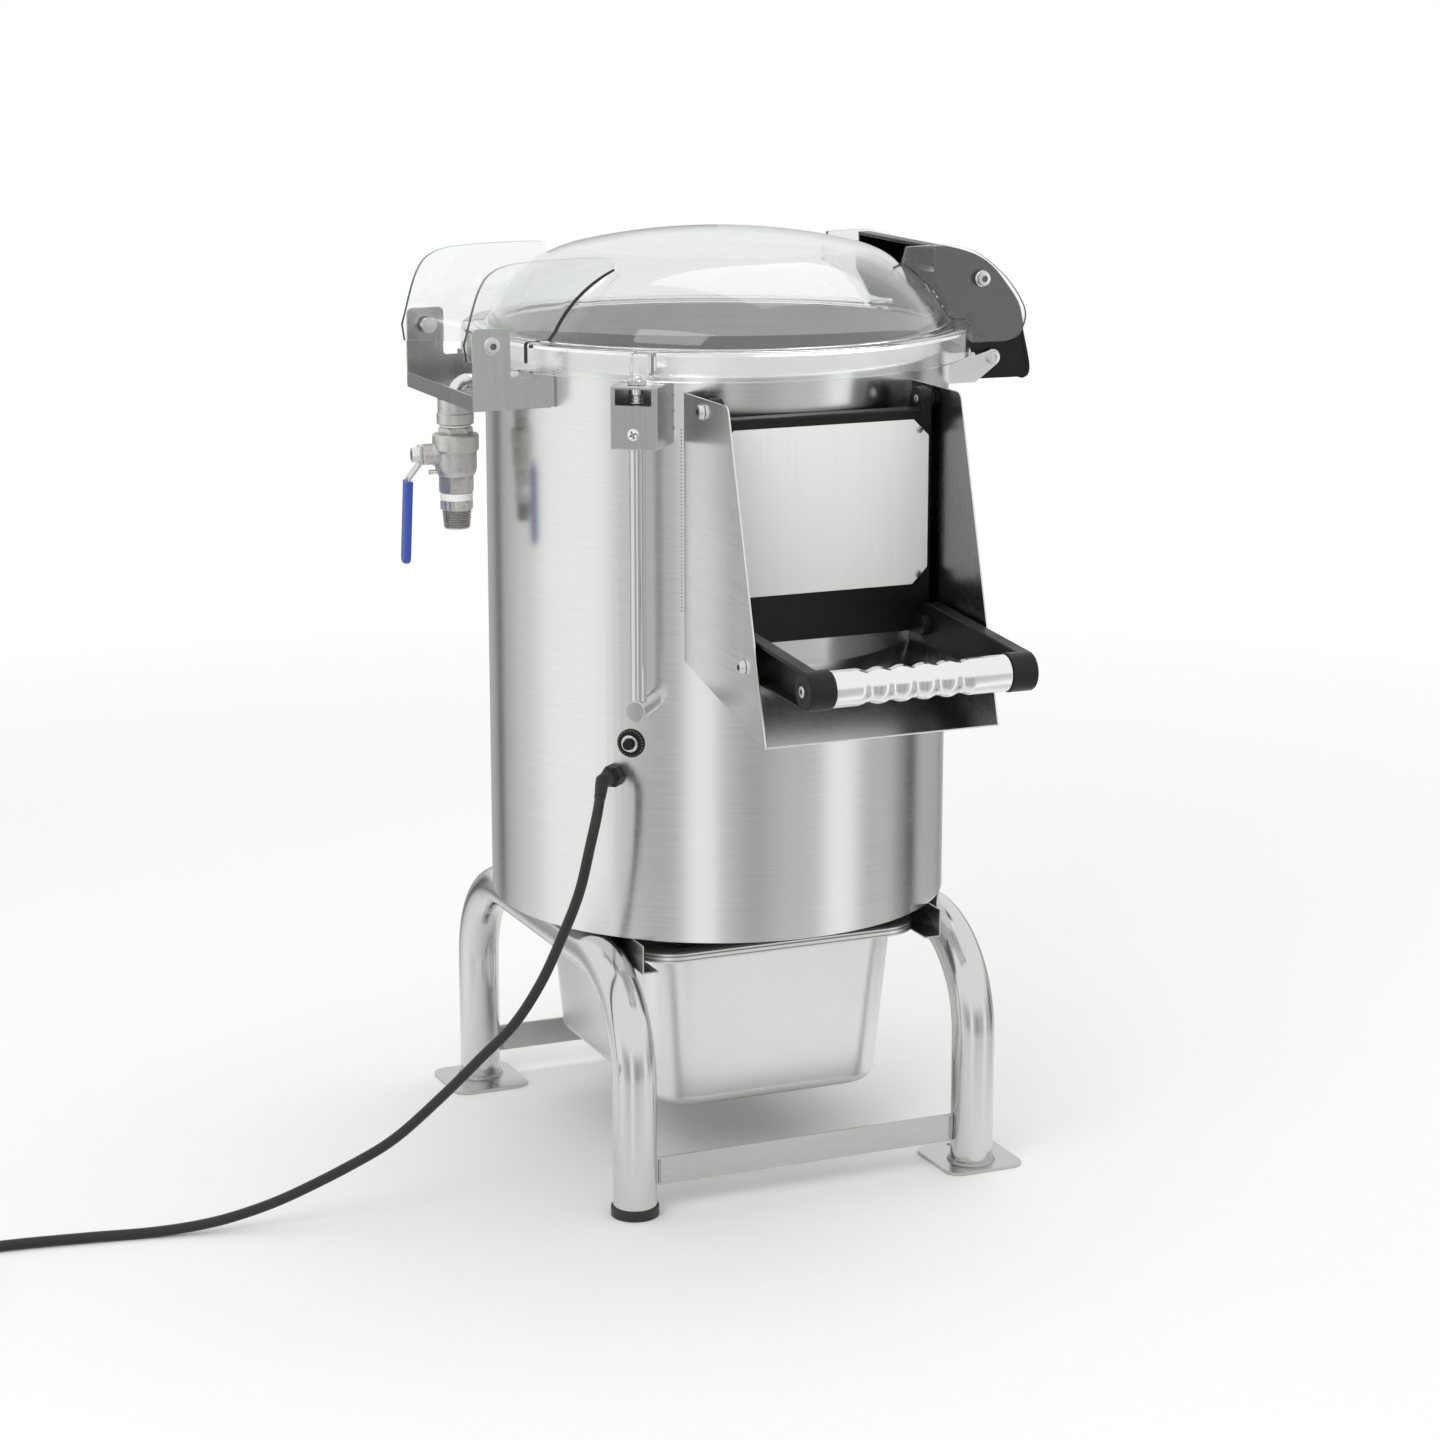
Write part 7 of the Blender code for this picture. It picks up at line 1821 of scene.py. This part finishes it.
@dataclass
class Chute:
    """The outlet chute: two side plates, a sloping floor and its four bolts."""

    half_width: float = 0.1055
    sheet: float = 0.0015
    side: Outline = ((-0.1597, 0.704), (-0.266, 0.704), (-0.343, 0.4367), (-0.1597, 0.48085))
    corner: float = 0.008
    slope: float = 13.54
    floor_ends: Point2 = (-0.3415, -0.1534)
    door_bolt: Point2 = (-0.2143, 0.6929)
    catch_bolt: Point2 = (-0.2983, 0.4965)

    def build(self) -> None:
        """Cut the side plates and the floor, and fit the bolts."""
        outline = rounded(self.side, [0, self.corner, 0.0015, 0], 7)
        plates = pair(
            sideways, "chute_side", outline, self.half_width - self.sheet / 2, self.sheet)
        far, near = self.floor_ends
        fall = math.tan(math.radians(self.slope))
        chute = folded("outlet_chute_steel", ((0, 0), (near - far, 0)),
                       self.half_width * 2 - 0.002, self.sheet)
        lift = (far - self.side[2][0]) * fall
        put(chute, Matrix.Translation((0, far, self.side[2][1] + lift + self.sheet * 0.63))
            @ turned(self.slope, "X") @ turned(90))
        cut(melt(chute, *plates), drum_core(0.3))
        seat(tidy(chute, 30), CHUTE_STEEL, node="chute")
        # Painted shade: the side plates' inner faces take the dark copy of the chute steel.
        line_with(chute, SHADED_STEEL, lambda at, way: at.x * way.x < -0.09)
        for hand, name in HANDS:
            self.make_bolt("door_bolt", hand, name, self.door_bolt, 0.0068, 0.089)
            self.make_bolt("catch_bolt", hand, name, self.catch_bolt, 0.0063, 0.094)

    def make_bolt(self, kind: str, hand: int, name: str, at: Point2, radius: float,
                  inner: float) -> None:
        """Make one bolt through a side plate, with its washer and socket head."""
        way = HAND_WAYS[hand]
        shank = lathe("shank", ((0.0036, inner), (0.004, inner + 0.0006), (0.004, 0.1056)), 32)
        parts = [aim(shank, way, (0, *at)),
                 *screw_end(way, (hand * (self.half_width + FIT), *at), (radius + 0.0004, 0.0008),
                            (radius - 0.0008, 0.0034), 0.0007)]
        seat(tidy(gather(f"{kind}_steel_{name}", *parts), 30), BRIGHT_STEEL, node=f"{kind}_{name}")


@dataclass
class Door:
    """The black door frame on its ears, and the bare steel plate on its face."""

    half_width: float = 0.1
    depth: Point2 = (-0.2245, -0.2065)
    height: Point2 = (0.497, 0.686)
    edge: float = 0.002
    ear: Sizes = (-0.2143, 0.6929, 0.0105)
    lug: Sizes = (-0.2445, 0.506, 0.0087)
    plate_half: float = 0.096
    plate_height: Point2 = (0.5375, 0.6775)
    plate_corner: float = 0.014
    plate_depth: Point2 = (-0.226, -0.2248)

    def build(self) -> None:
        """Cast the frame with its ears and lugs, and screw the plate on."""
        panel = block("door_frame_sheet", (-self.half_width, self.depth[0], self.height[0]),
                      (self.half_width, self.depth[1], self.height[1]), self.edge, 4)
        for hand, way in HAND_WAYS.items():
            y, z, radius = self.ear
            ear = [(y + radius, 0.672), (y + radius, z), *arc((y, z), radius, 0, 180, 14),
                   (y - radius, 0.672)]
            piece = sideways(slab("ear", ear, 0.01, 0.0008), hand * 0.094, 0.01)
            spacer = dowel("spacer", 0.0075, 0.0985, 0.1035)
            y2, z2, radius2 = self.lug
            lug = [(-0.22, z2 - radius2 * 0.98), (-0.22, z2 + radius2 * 0.98),
                   *arc((y2, z2), radius2, 90, 270, 14)]
            hinge = sideways(slab("lug", lug, 0.0075, 0.0008), hand * 0.08395, 0.0075)
            pin = dowel("lug_pin", 0.003, 0.086, 0.092, 24)
            melt(panel, piece, aim(spacer, way, (0, y, z)), hinge, aim(pin, way, (0, y2, z2)))
            bore = dowel("ear_bore", 0.0043, 0.08, 0.12)
            cut(panel, aim(bore, way, (0, y, z)))
        seat(tidy(panel, 34), BLACK_PAINT, "door", "door")
        self.make_plate()

    def make_plate(self) -> None:
        """Cut the bare plate with its clipped corners and set a screw in each."""
        half, (low, high), clip = self.plate_half, self.plate_height, self.plate_corner
        thick = self.plate_depth[1] - self.plate_depth[0]
        outline = [
            (half, low + clip), (half, high - clip), (half - clip, high), (-half + clip, high),
            (-half, high - clip), (-half, low + clip), (-half + clip, low), (half - clip, low)]
        plate = slab("door_plate_steel", rounded(outline, 0.002, 3), thick, 0.00025)
        upright(plate, sum(self.plate_depth) / 2, thick)
        seat(plate, FACE_STEEL, "door", "door_plate")
        screws = []
        for x in (-1, 1):
            for z in (low + clip * 0.62, high - clip * 0.62):
                screw = cross_screw("plate_screw", 0.0031, 0.0014)
                spot = (x * (half - clip * 0.62), self.plate_depth[0], z)
                screws.append(aim(screw, Facing.FRONT, spot))
        seat(tidy(gather("door_plate_screws", *screws), 30), CAST_STEEL, "door")


@dataclass
class DoorLever:
    """The black lever that shuts the door, and the polished waved grip across it."""

    inner: float = 0.088
    outer: float = 0.1005
    pivot: Sizes = (-0.2445, 0.506, 0.0178)
    end: Sizes = (-0.403, 0.497, 0.0158)
    web: float = 0.0025
    rim: float = 0.0025
    notch: float = -0.3045
    grip_half: float = 0.0777
    grip_radius: float = 0.015
    waves: int = 5
    wave_depth: float = 0.0023
    wave_ends: Point2 = (-0.0555, 0.045)

    def build(self) -> None:
        """Make both arms, the rod between them, and the grip."""
        parts = [self.make_arm(hand, way) for hand, way in HAND_WAYS.items()]
        y, z, _ = self.end
        rod = dowel("lever_rod", 0.006, -0.0895, 0.0895)
        lever = melt(*parts, aim(rod, Facing.RIGHT, (0, y, z)))
        seat(tidy(lever, 34), BLACK_MOULDING, "lever", "door_lever")
        screws = [aim(cap_screw("lever_screw", 0.0048, 0.0022), way, (hand * 0.1, y, z))
                  for hand, way in HAND_WAYS.items()]
        seat(tidy(gather("lever_end_screws", *screws), 30), BRIGHT_STEEL, "lever")
        self.make_grip()

    def make_outline(self, inset: float) -> list[Point2]:
        """Return the arm's side view: a long link between two rounded ends.

        Args:
            inset: How far inside the arm's edge the line runs.

        Returns:
            (y, z) points.
        """
        (ya, za, ra), (yb, zb, rb) = self.pivot, self.end
        ra, rb = ra - inset, rb - inset
        line = math.degrees(math.atan2(zb - za, yb - ya))
        lean = math.degrees(math.acos((ra - rb) / math.hypot(yb - ya, zb - za)))
        return [*arc((ya, za), ra, line + lean, line + 360 - lean, 24),
                *arc((yb, zb), rb, line - lean, line + lean, 20)]

    def make_arm(self, hand: int, way: Facing) -> Thing:
        """Make one arm: a rimmed plate, hollowed from outside, with a round end cap."""
        thick = self.outer - self.inner
        middle = hand * (self.inner + self.outer) / 2
        plate = slab("door_lever_moulding", self.make_outline(0), thick, 0.0014, 3)
        arm = sideways(plate, middle, thick)
        deep = thick - self.web
        pocket = sideways(slab("lever_pocket", self.make_outline(self.rim), deep + 0.002, 0.0008),
                          hand * (self.inner + self.web + (deep + 0.002) / 2), deep + 0.002)
        y, z, _ = self.end
        low, high = sorted((hand * (self.inner + self.web - 0.001), hand * (self.outer + 0.01)))
        notch = block("lever_notch", (low, self.notch, 0.48),
                      (high, self.pivot[0] + 0.03, self.pivot[1] - self.pivot[2] + 0.0028), 0)
        cut(arm, pocket, notch)
        cap = lathe("lever_cap", (
            (0.015, 0.0782), (0.01605, 0.0792), (0.01605, 0.099), (0.015, 0.1002),
            (0.01, 0.1002), (0.0092, 0.0996)), 56)
        hub = lathe("lever_hub",
                    ((0.0092, 0.0895), (0.0092, 0.0975), (0.0084, 0.0983),
                     (0.005, 0.0983), (0.005, 0.0955)), 40)
        bore = dowel("pivot_bore", 0.0033, 0.08, 0.093, 24)
        melt(arm, aim(cap, way, (0, y, z)), aim(hub, way, (0, *self.pivot[:2])))
        return cut(arm, aim(bore, way, (0, *self.pivot[:2])))

    def make_grip(self) -> None:
        """Turn the grip with its finger waves."""
        half, radius = self.grip_half, self.grip_radius
        steps = self.waves * 12
        start, stop = self.wave_ends
        profile = [(radius - 0.0012, -half), (radius - 0.0003, -half + 0.0004),
                   (radius, -half + 0.0012)]
        for i in range(steps + 1):
            turn = math.tau * self.waves * i / steps
            dip = (0.5 - 0.5 * math.cos(turn)) ** 1.25
            profile.append((radius - self.wave_depth * dip, start + (stop - start) * i / steps))
        profile += [(radius, half - 0.0012), (radius - 0.0003, half - 0.0004),
                    (radius - 0.0012, half)]
        y, z, _ = self.end
        grip = lathe("lever_grip_metal", profile, 72)
        seat(grip, GRIP_METAL, "lever", "lever_grip", facing(Facing.RIGHT, (0, y, z)))


@dataclass
class WaterInlet:
    """The socket, the ball valve with its blue lever, the seals and the threaded nipple."""

    x: float = -0.2445
    turn: float = -8.0
    centre: float = 0.637
    bore: float = 0.006
    socket: Outline = (
        (0.015, 0.6842), (0.015, 0.6725), (0.016, 0.6718), (0.016, 0.6634), (0.0152, 0.6626))
    seal: Sizes = (0.01325, 0.6603, 0.6623)
    low_seal: Sizes = (0.014, 0.5968, 0.6032)
    hex_radius: float = 0.0152
    nipple_hex: Sizes = (0.01435, 0.5885, 0.5965)
    thread: Sizes = (0.0128, 0.0115, 0.5885, 0.572)
    ball: float = 0.0129
    boss: Point2 = (0.009, 0.0298)
    strip: Outline = ((-0.03135, 0.008), (-0.03135, -0.007), (-0.042, -0.0205), (-0.0452, -0.089))
    strip_width: float = 0.014
    strip_thickness: float = 0.0025
    sleeve_width: float = 0.018
    sleeve_thickness: float = 0.0065
    nut_radius: float = 0.0068
    nut_depth: float = 0.006

    def build(self) -> None:
        """Make the fixed pieces from the top down, then the lever."""
        place = moved(self.x) @ turned(self.turn)
        socket = lathe("inlet_socket_cast",
                       [*self.socket, (self.bore, 0.6626), (self.bore, 0.6842)], 64, closed=True)
        seat(socket, CAST_STEEL, node="inlet_socket", place=place)
        for name, node, (radius, low, high) in (
            ("upper_seal_ring", "inlet_seal", self.seal),
            ("lower_seal_ring", "nipple_seal", self.low_seal),
        ):
            seal = flat_ring(name, self.bore, radius, low, high, 0.0004, 64)
            seat(seal, WHITE_NYLON, node=node, place=place)
        self.make_valve()
        self.make_nipple()
        self.make_lever()
        dress(BRIGHT_STEEL, "valve_ball")

    def make_valve(self) -> None:
        """Make the valve's body: two hexagons, a collar, a barrel and the stem's boss."""
        radius = self.hex_radius
        body = lathe("valve_body_cast", (
            (radius - 0.0006, 0.018), (0.019, 0.0172), (0.02, 0.016),
            (0.02, 0.004), (0.0192, 0.003), (0.0184, 0.0022), (0.018, 0.001),
            (0.018, -0.012), (0.0174, -0.015), (0.016, -0.018), (0.0148, -0.0192)), 72)
        top = put(hexagon("valve_top_hex", radius, 0.0105, 0.001), moved(0, 0, 0.0125))
        low = put(hexagon("valve_low_hex", radius, 0.016, 0.001), moved(0, 0, -0.0335))
        size, reach = self.boss
        boss = lathe("valve_boss", (
            (size + 0.0012, 0.01), (size + 0.0012, 0.019), (size + 0.0004, 0.0202),
            (size, 0.0212), (size, reach - 0.0008), (size - 0.0008, reach)), 48)
        melt(body, top, low, aim(boss, Facing.LEFT))
        bore = dowel("valve_bore", self.bore, -0.05, 0.05)
        globe = [(0, -self.ball), *arc((0, 0), self.ball, -80, 80, 16), (0, self.ball)]
        seat_tool = lathe("valve_seat", globe, 40)
        stem = dowel("stem_hole", 0.0043, 0.005, 0.04, 24)
        cut(body, bore, seat_tool, aim(stem, Facing.LEFT))
        place = moved(self.x, 0, self.centre) @ turned(self.turn)
        seat(tidy(body, 30), CAST_STEEL, node="valve_body", place=place)
        stop = lathe("valve_stop", ((0.0021, 0.0172), (0.0021, 0.0232), (0.0016, 0.0238)), 24)
        seat(aim(stop, Facing.LEFT, (0, 0.0002, -0.0155)), BRIGHT_STEEL, place=place)

    def make_nipple(self) -> None:
        """Make the nipple: its hexagon and its tapered, threaded tail."""
        radius, low, high = self.nipple_hex
        wide, narrow, top, end = self.thread
        turns = 10
        profile = [(self.bore, high), (radius - 0.0012, high), (radius - 0.0012, top),
                   (wide - 0.001, top), (wide - 0.001, top - 0.001)]
        pitch = (top - 0.001 - end - 0.0008) / turns
        for i in range(turns):
            at = top - 0.001 - pitch * i
            crest = wide + (narrow - wide) * (i + 0.5) / turns
            profile += [(crest - 0.0009, at - pitch * 0.08), (crest, at - pitch * 0.42),
                        (crest, at - pitch * 0.58), (crest - 0.0009, at - pitch * 0.92)]
        profile += [(narrow - 0.0012, end), (self.bore, end)]
        tail = lathe("threaded_nipple", profile, 72, closed=True)
        collar = put(nut("nipple_collar", radius, high - low, radius - 0.0014), moved(0, 0, low))
        nipple = melt(tail, collar)
        seat(tidy(nipple, 30), CAST_STEEL, node="hose_nipple",
             place=moved(self.x) @ turned(self.turn))

    def make_lever(self) -> None:
        """Fold the lever's strip, fit its nut and dip its end in blue vinyl."""
        place = moved(self.x, 0, self.centre) @ turned(self.turn)
        path = rounded(self.strip, [0, 0.004, 0.006, 0], 4)
        strip = folded(
            "valve_lever_strip", path, self.strip_width, self.strip_thickness, 0, 0.0005)
        face = -self.strip[0][0] - self.strip_thickness / 2
        hole = dowel("stem_hole", 0.0043, 0, 0.06, 24)
        cut(strip, aim(hole, Facing.LEFT))
        outer = nut("lever_nut", self.nut_radius, self.nut_depth, 0.0039)
        under = washer("lever_washer", 0.007, 0.0043, 0.0008)
        parts = [strip, aim(under, Facing.LEFT, (-face - self.strip_thickness * 0.98, 0, 0)),
                 aim(outer, Facing.LEFT, (-face - self.strip_thickness - 0.0002, 0, 0))]
        seat(tidy(gather("valve_lever_steel", *parts), 30), BRIGHT_STEEL, "valve", "valve_lever",
             place)
        knee, end = Vector(self.strip[2]), Vector(self.strip[3])
        along = (end - knee).normalized()
        start, stop = knee + along * 0.0015, end + along * 0.005
        length = (stop - start).length
        half, deep = self.sleeve_width / 2, self.sleeve_thickness / 2
        sleeve = block("blue_lever_sleeve", (-deep, -half, 0), (deep, half, length), 0)
        ease(sleeve, 0.007, lambda a, b: min(a.z, b.z) > length - 0.00001
             and abs(a.y - b.y) < 0.00001, 6)
        apply(sleeve, "BEVEL", width=0.0022, segments=4, limit_method="ANGLE",
              angle_limit=math.radians(50))
        melt(sleeve, block("sleeve_lip", (-deep, -half, 0), (deep, half, 0.003), 0.0012, 3))
        pocket = block("sleeve_pocket", (-0.00155, -self.strip_width / 2 - 0.0003, -0.002),
                       (0.00155, self.strip_width / 2 + 0.0003, length - 0.0045), 0)
        cut(sleeve, pocket)
        lean = Vector((along.x, 0, along.y)).rotation_difference(Vector((0, 0, 1))).inverted()
        seat(tidy(sleeve, 40), BLUE_VINYL, "valve", "lever_sleeve",
             place @ Matrix.Translation((start.x, 0, start.y)) @ lean.to_matrix().to_4x4())


@dataclass
class LidSwitch:
    """The switch box, its guide nut, the spring-loaded plunger and the wires' pipe."""

    turn: float = -39.4
    side: Point2 = (-0.019, 0.0215)
    face: float = -0.25
    height: Point2 = (0.6615, 0.714)
    sheet: float = 0.0015
    window: Sizes = (-0.0147, 0.01645, 0.698, 0.7115)
    axis: float = -0.2365
    nut: Sizes = (0.0085, 0.7143, 0.7183)
    sleeve: float = 0.0055
    plunger: Sizes = (0.004, 0.69, 0.7211)
    pipe: Sizes = (0.0069, 0.441, 0.68)
    pipe_end: float = 0.00925
    box_back: float = -0.1534

    def build(self) -> None:
        """Fold the box, fit the nut, the plunger and its spring, and run the pipe."""
        place = turned(self.turn)
        self.make_box(place)
        self.make_nut(place)
        self.make_plunger(place)
        self.make_pipe(place)

    def make_box(self, place: Matrix) -> None:
        """Fold the open-bottomed box with its window and its cross-head screw."""
        (left, right), (low, high), sheet = self.side, self.height, self.sheet
        box = block("switch_box_steel", (left, self.face, low), (right, self.box_back, high),
                    0.0012, 3)
        hollow = block("switch_hollow", (left + sheet, self.face + sheet, low - 0.01),
                       (right - sheet, self.box_back + 0.0171, high - sheet), 0.0006)
        near, far, sill, top = self.window
        window = block("switch_window", (near, self.face - 0.01, sill),
                       (far, self.face + sheet + 0.0003, top), 0)
        hole = dowel("sleeve_hole", self.sleeve + 0.0003, high - 0.01, high + 0.01)
        cut(box, hollow, window, put(hole, moved(0, self.axis)), drum_core())
        seat(tidy(box, 30), PLATE_STEEL, node="switch_box", place=place)
        shape = ((0, 0.0004), (0.0011, 0.0003), (0.0017, -0.0006))
        beads = [aim(lathe("box_weld", shape, 16), Facing.RIGHT, (right, -0.2062, z))
                 for z in (0.6745, 0.688, 0.7015)]
        seat(gather("switch_box_welds", *beads), WELD_STEEL, place=place)
        screw = cross_screw("switch_box_screw", 0.0052, 0.002)
        seat(aim(screw, Facing.FRONT, (0.001, self.face, 0.6743)), BRIGHT_STEEL, place=place)

    def make_nut(self, place: Matrix) -> None:
        """Make the guide nut on its threaded sleeve."""
        radius, low, high = self.nut
        bore = self.plunger[0] + 0.0003
        top = put(nut("guide_hex", radius, high - low - 0.0003, self.sleeve - 0.0004),
                  moved(0, 0, low))
        sleeve = lathe("switch_guide_nut", (
            (bore, 0.7065), (self.sleeve, 0.7065), (self.sleeve, high),
            (self.sleeve - 0.0004, high + 0.0002), (bore, high + 0.0002)), 40, closed=True)
        guide = melt(put(sleeve, moved(0, 0, -0.0002)), top)
        seat(put(tidy(guide, 30), moved(0, self.axis)), BRIGHT_STEEL, node="switch_nut",
             place=place)

    def make_plunger(self, place: Matrix) -> None:
        """Make the plunger with its rounded tip, and the spring round it."""
        radius, low, high = self.plunger
        pin = lathe("switch_plunger_pin", (
            (radius - 0.0004, low), (radius, low + 0.0004), (radius, high - 0.0016),
            (radius * 0.9, high - 0.0007), (radius * 0.6, high - 0.0001), (0, high)), 36)
        seat(put(pin, moved(0, self.axis)), BRIGHT_STEEL, "plunger", "switch_plunger", place)
        turns, wound = 5, []
        for i in range(turns * 20 + 1):
            angle = math.tau * i / 20
            wound.append((0.0054 * math.cos(angle), self.axis + 0.0054 * math.sin(angle),
                          0.6915 + 0.014 * i / (turns * 20)))
        seat(piped("plunger_spring", wound, 0.0005, 2), BRIGHT_STEEL, place=place)

    def make_pipe(self, place: Matrix) -> None:
        """Run the pipe down from the box and turn it into the drum through its end fitting."""
        radius, low, high = self.pipe
        pipe = dowel("wire_pipe_steel", radius, low, high, 56)
        put(pipe, moved(0, self.axis))
        end = self.pipe_end
        fitting = lathe("pipe_fitting", (
            (end, 0.186), (end, 0.2453), (end - 0.0004, 0.2461), (end - 0.0012, 0.2465)), 64)
        aim(fitting, Facing.FRONT, (0, 0, low))
        seat(tidy(cut(melt(pipe, fitting), drum_core()), 30), TUBE_STEEL, node="conduit_pipe",
             place=place)


@dataclass
class Breaker:
    """The reset breaker on the drum's front: a bare ring, a bright nut and the button."""

    turn: float = -44.2
    height: float = 0.4033
    ring: Sizes = (0.0123, 0.2048, 0.2063)
    nut: Point2 = (0.00735, 0.2091)
    button: Point2 = (0.00425, 0.2146)
    bore: float = 0.0063
    ticks: int = 24
    knurls: int = 12

    def build(self) -> None:
        """Turn the ring, the nut with its barrel, and the button."""
        place = turned(self.turn) @ facing(Facing.FRONT, (0, 0, self.height))
        wide, low, high = self.ring
        ring = lathe(
            "breaker_ring_moulding",
            ((self.bore, low), (wide, low), (wide, high - 0.0006), (wide - 0.0002, high - 0.0002),
             (wide - 0.0007, high), (wide - 0.0022, high), (wide - 0.0024, high - 0.0002),
             (wide - 0.0028, high - 0.0002), (wide - 0.003, high), (self.bore, high)), 72,
            closed=True)
        seat(ring, BLACK_MOULDING, node="breaker_ring", place=place)
        ticks = []
        for i in range(self.ticks):
            tick = block("tick", (wide - 0.0018, -0.00012, high - 0.0001),
                         (wide - 0.0009, 0.00012, high + 0.00004), 0)
            ticks.append(put(tick, turned(360 / self.ticks * i)))
        seat(tidy(gather("breaker_ring_ticks", *ticks)), PALE_PRINT, place=place)
        outer, face = self.nut
        bore = self.button[0] + 0.0005
        body = lathe("breaker_barrel", (
            (0.01, 0.19), (0.01, 0.2021), (0.006, 0.2021),
            (0.006, high + FIT), (outer - 0.0003, high + FIT),
            (outer, high + FIT + 0.0003), (outer, face - 0.0006), (outer - 0.0006, face),
            (bore + 0.0004, face), (bore, face - 0.0004), (bore, face - 0.0074)), 64)
        for i in range(self.knurls):
            notch = block("knurl", (outer - 0.0003, -0.0002, face - 0.0024),
                          (outer + 0.0006, 0.0002, face + 0.0001), 0)
            cut(body, put(notch, turned(360 / self.knurls * i)))
        seat(tidy(body, 28), BRIGHT_STEEL, node="breaker_body", place=place)
        size, tip = self.button
        button = lathe("reset_button_moulding", (
            (size, face - 0.004), (size, tip - 0.001),
            (size - 0.0003, tip - 0.0004), (size - 0.0009, tip - 0.0001), (size * 0.4, tip)), 48)
        seat(button, BLACK_MOULDING, "button", "reset_button", place)


def main() -> None:
    """Build the studio and every part of the machine in order."""
    parts = (Studio(), MainsLead(), Frame(), DrainPan(), Drum(), Drive(), Lid(), HingeBracket(),
             Latch(), Chute(), Door(), DoorLever(), WaterInlet(), LidSwitch(), Breaker())
    for part in parts:
        LOG.info("building: %s", type(part).__name__)
        part.build()
    deselect()


if __name__ == "__main__":
    main()
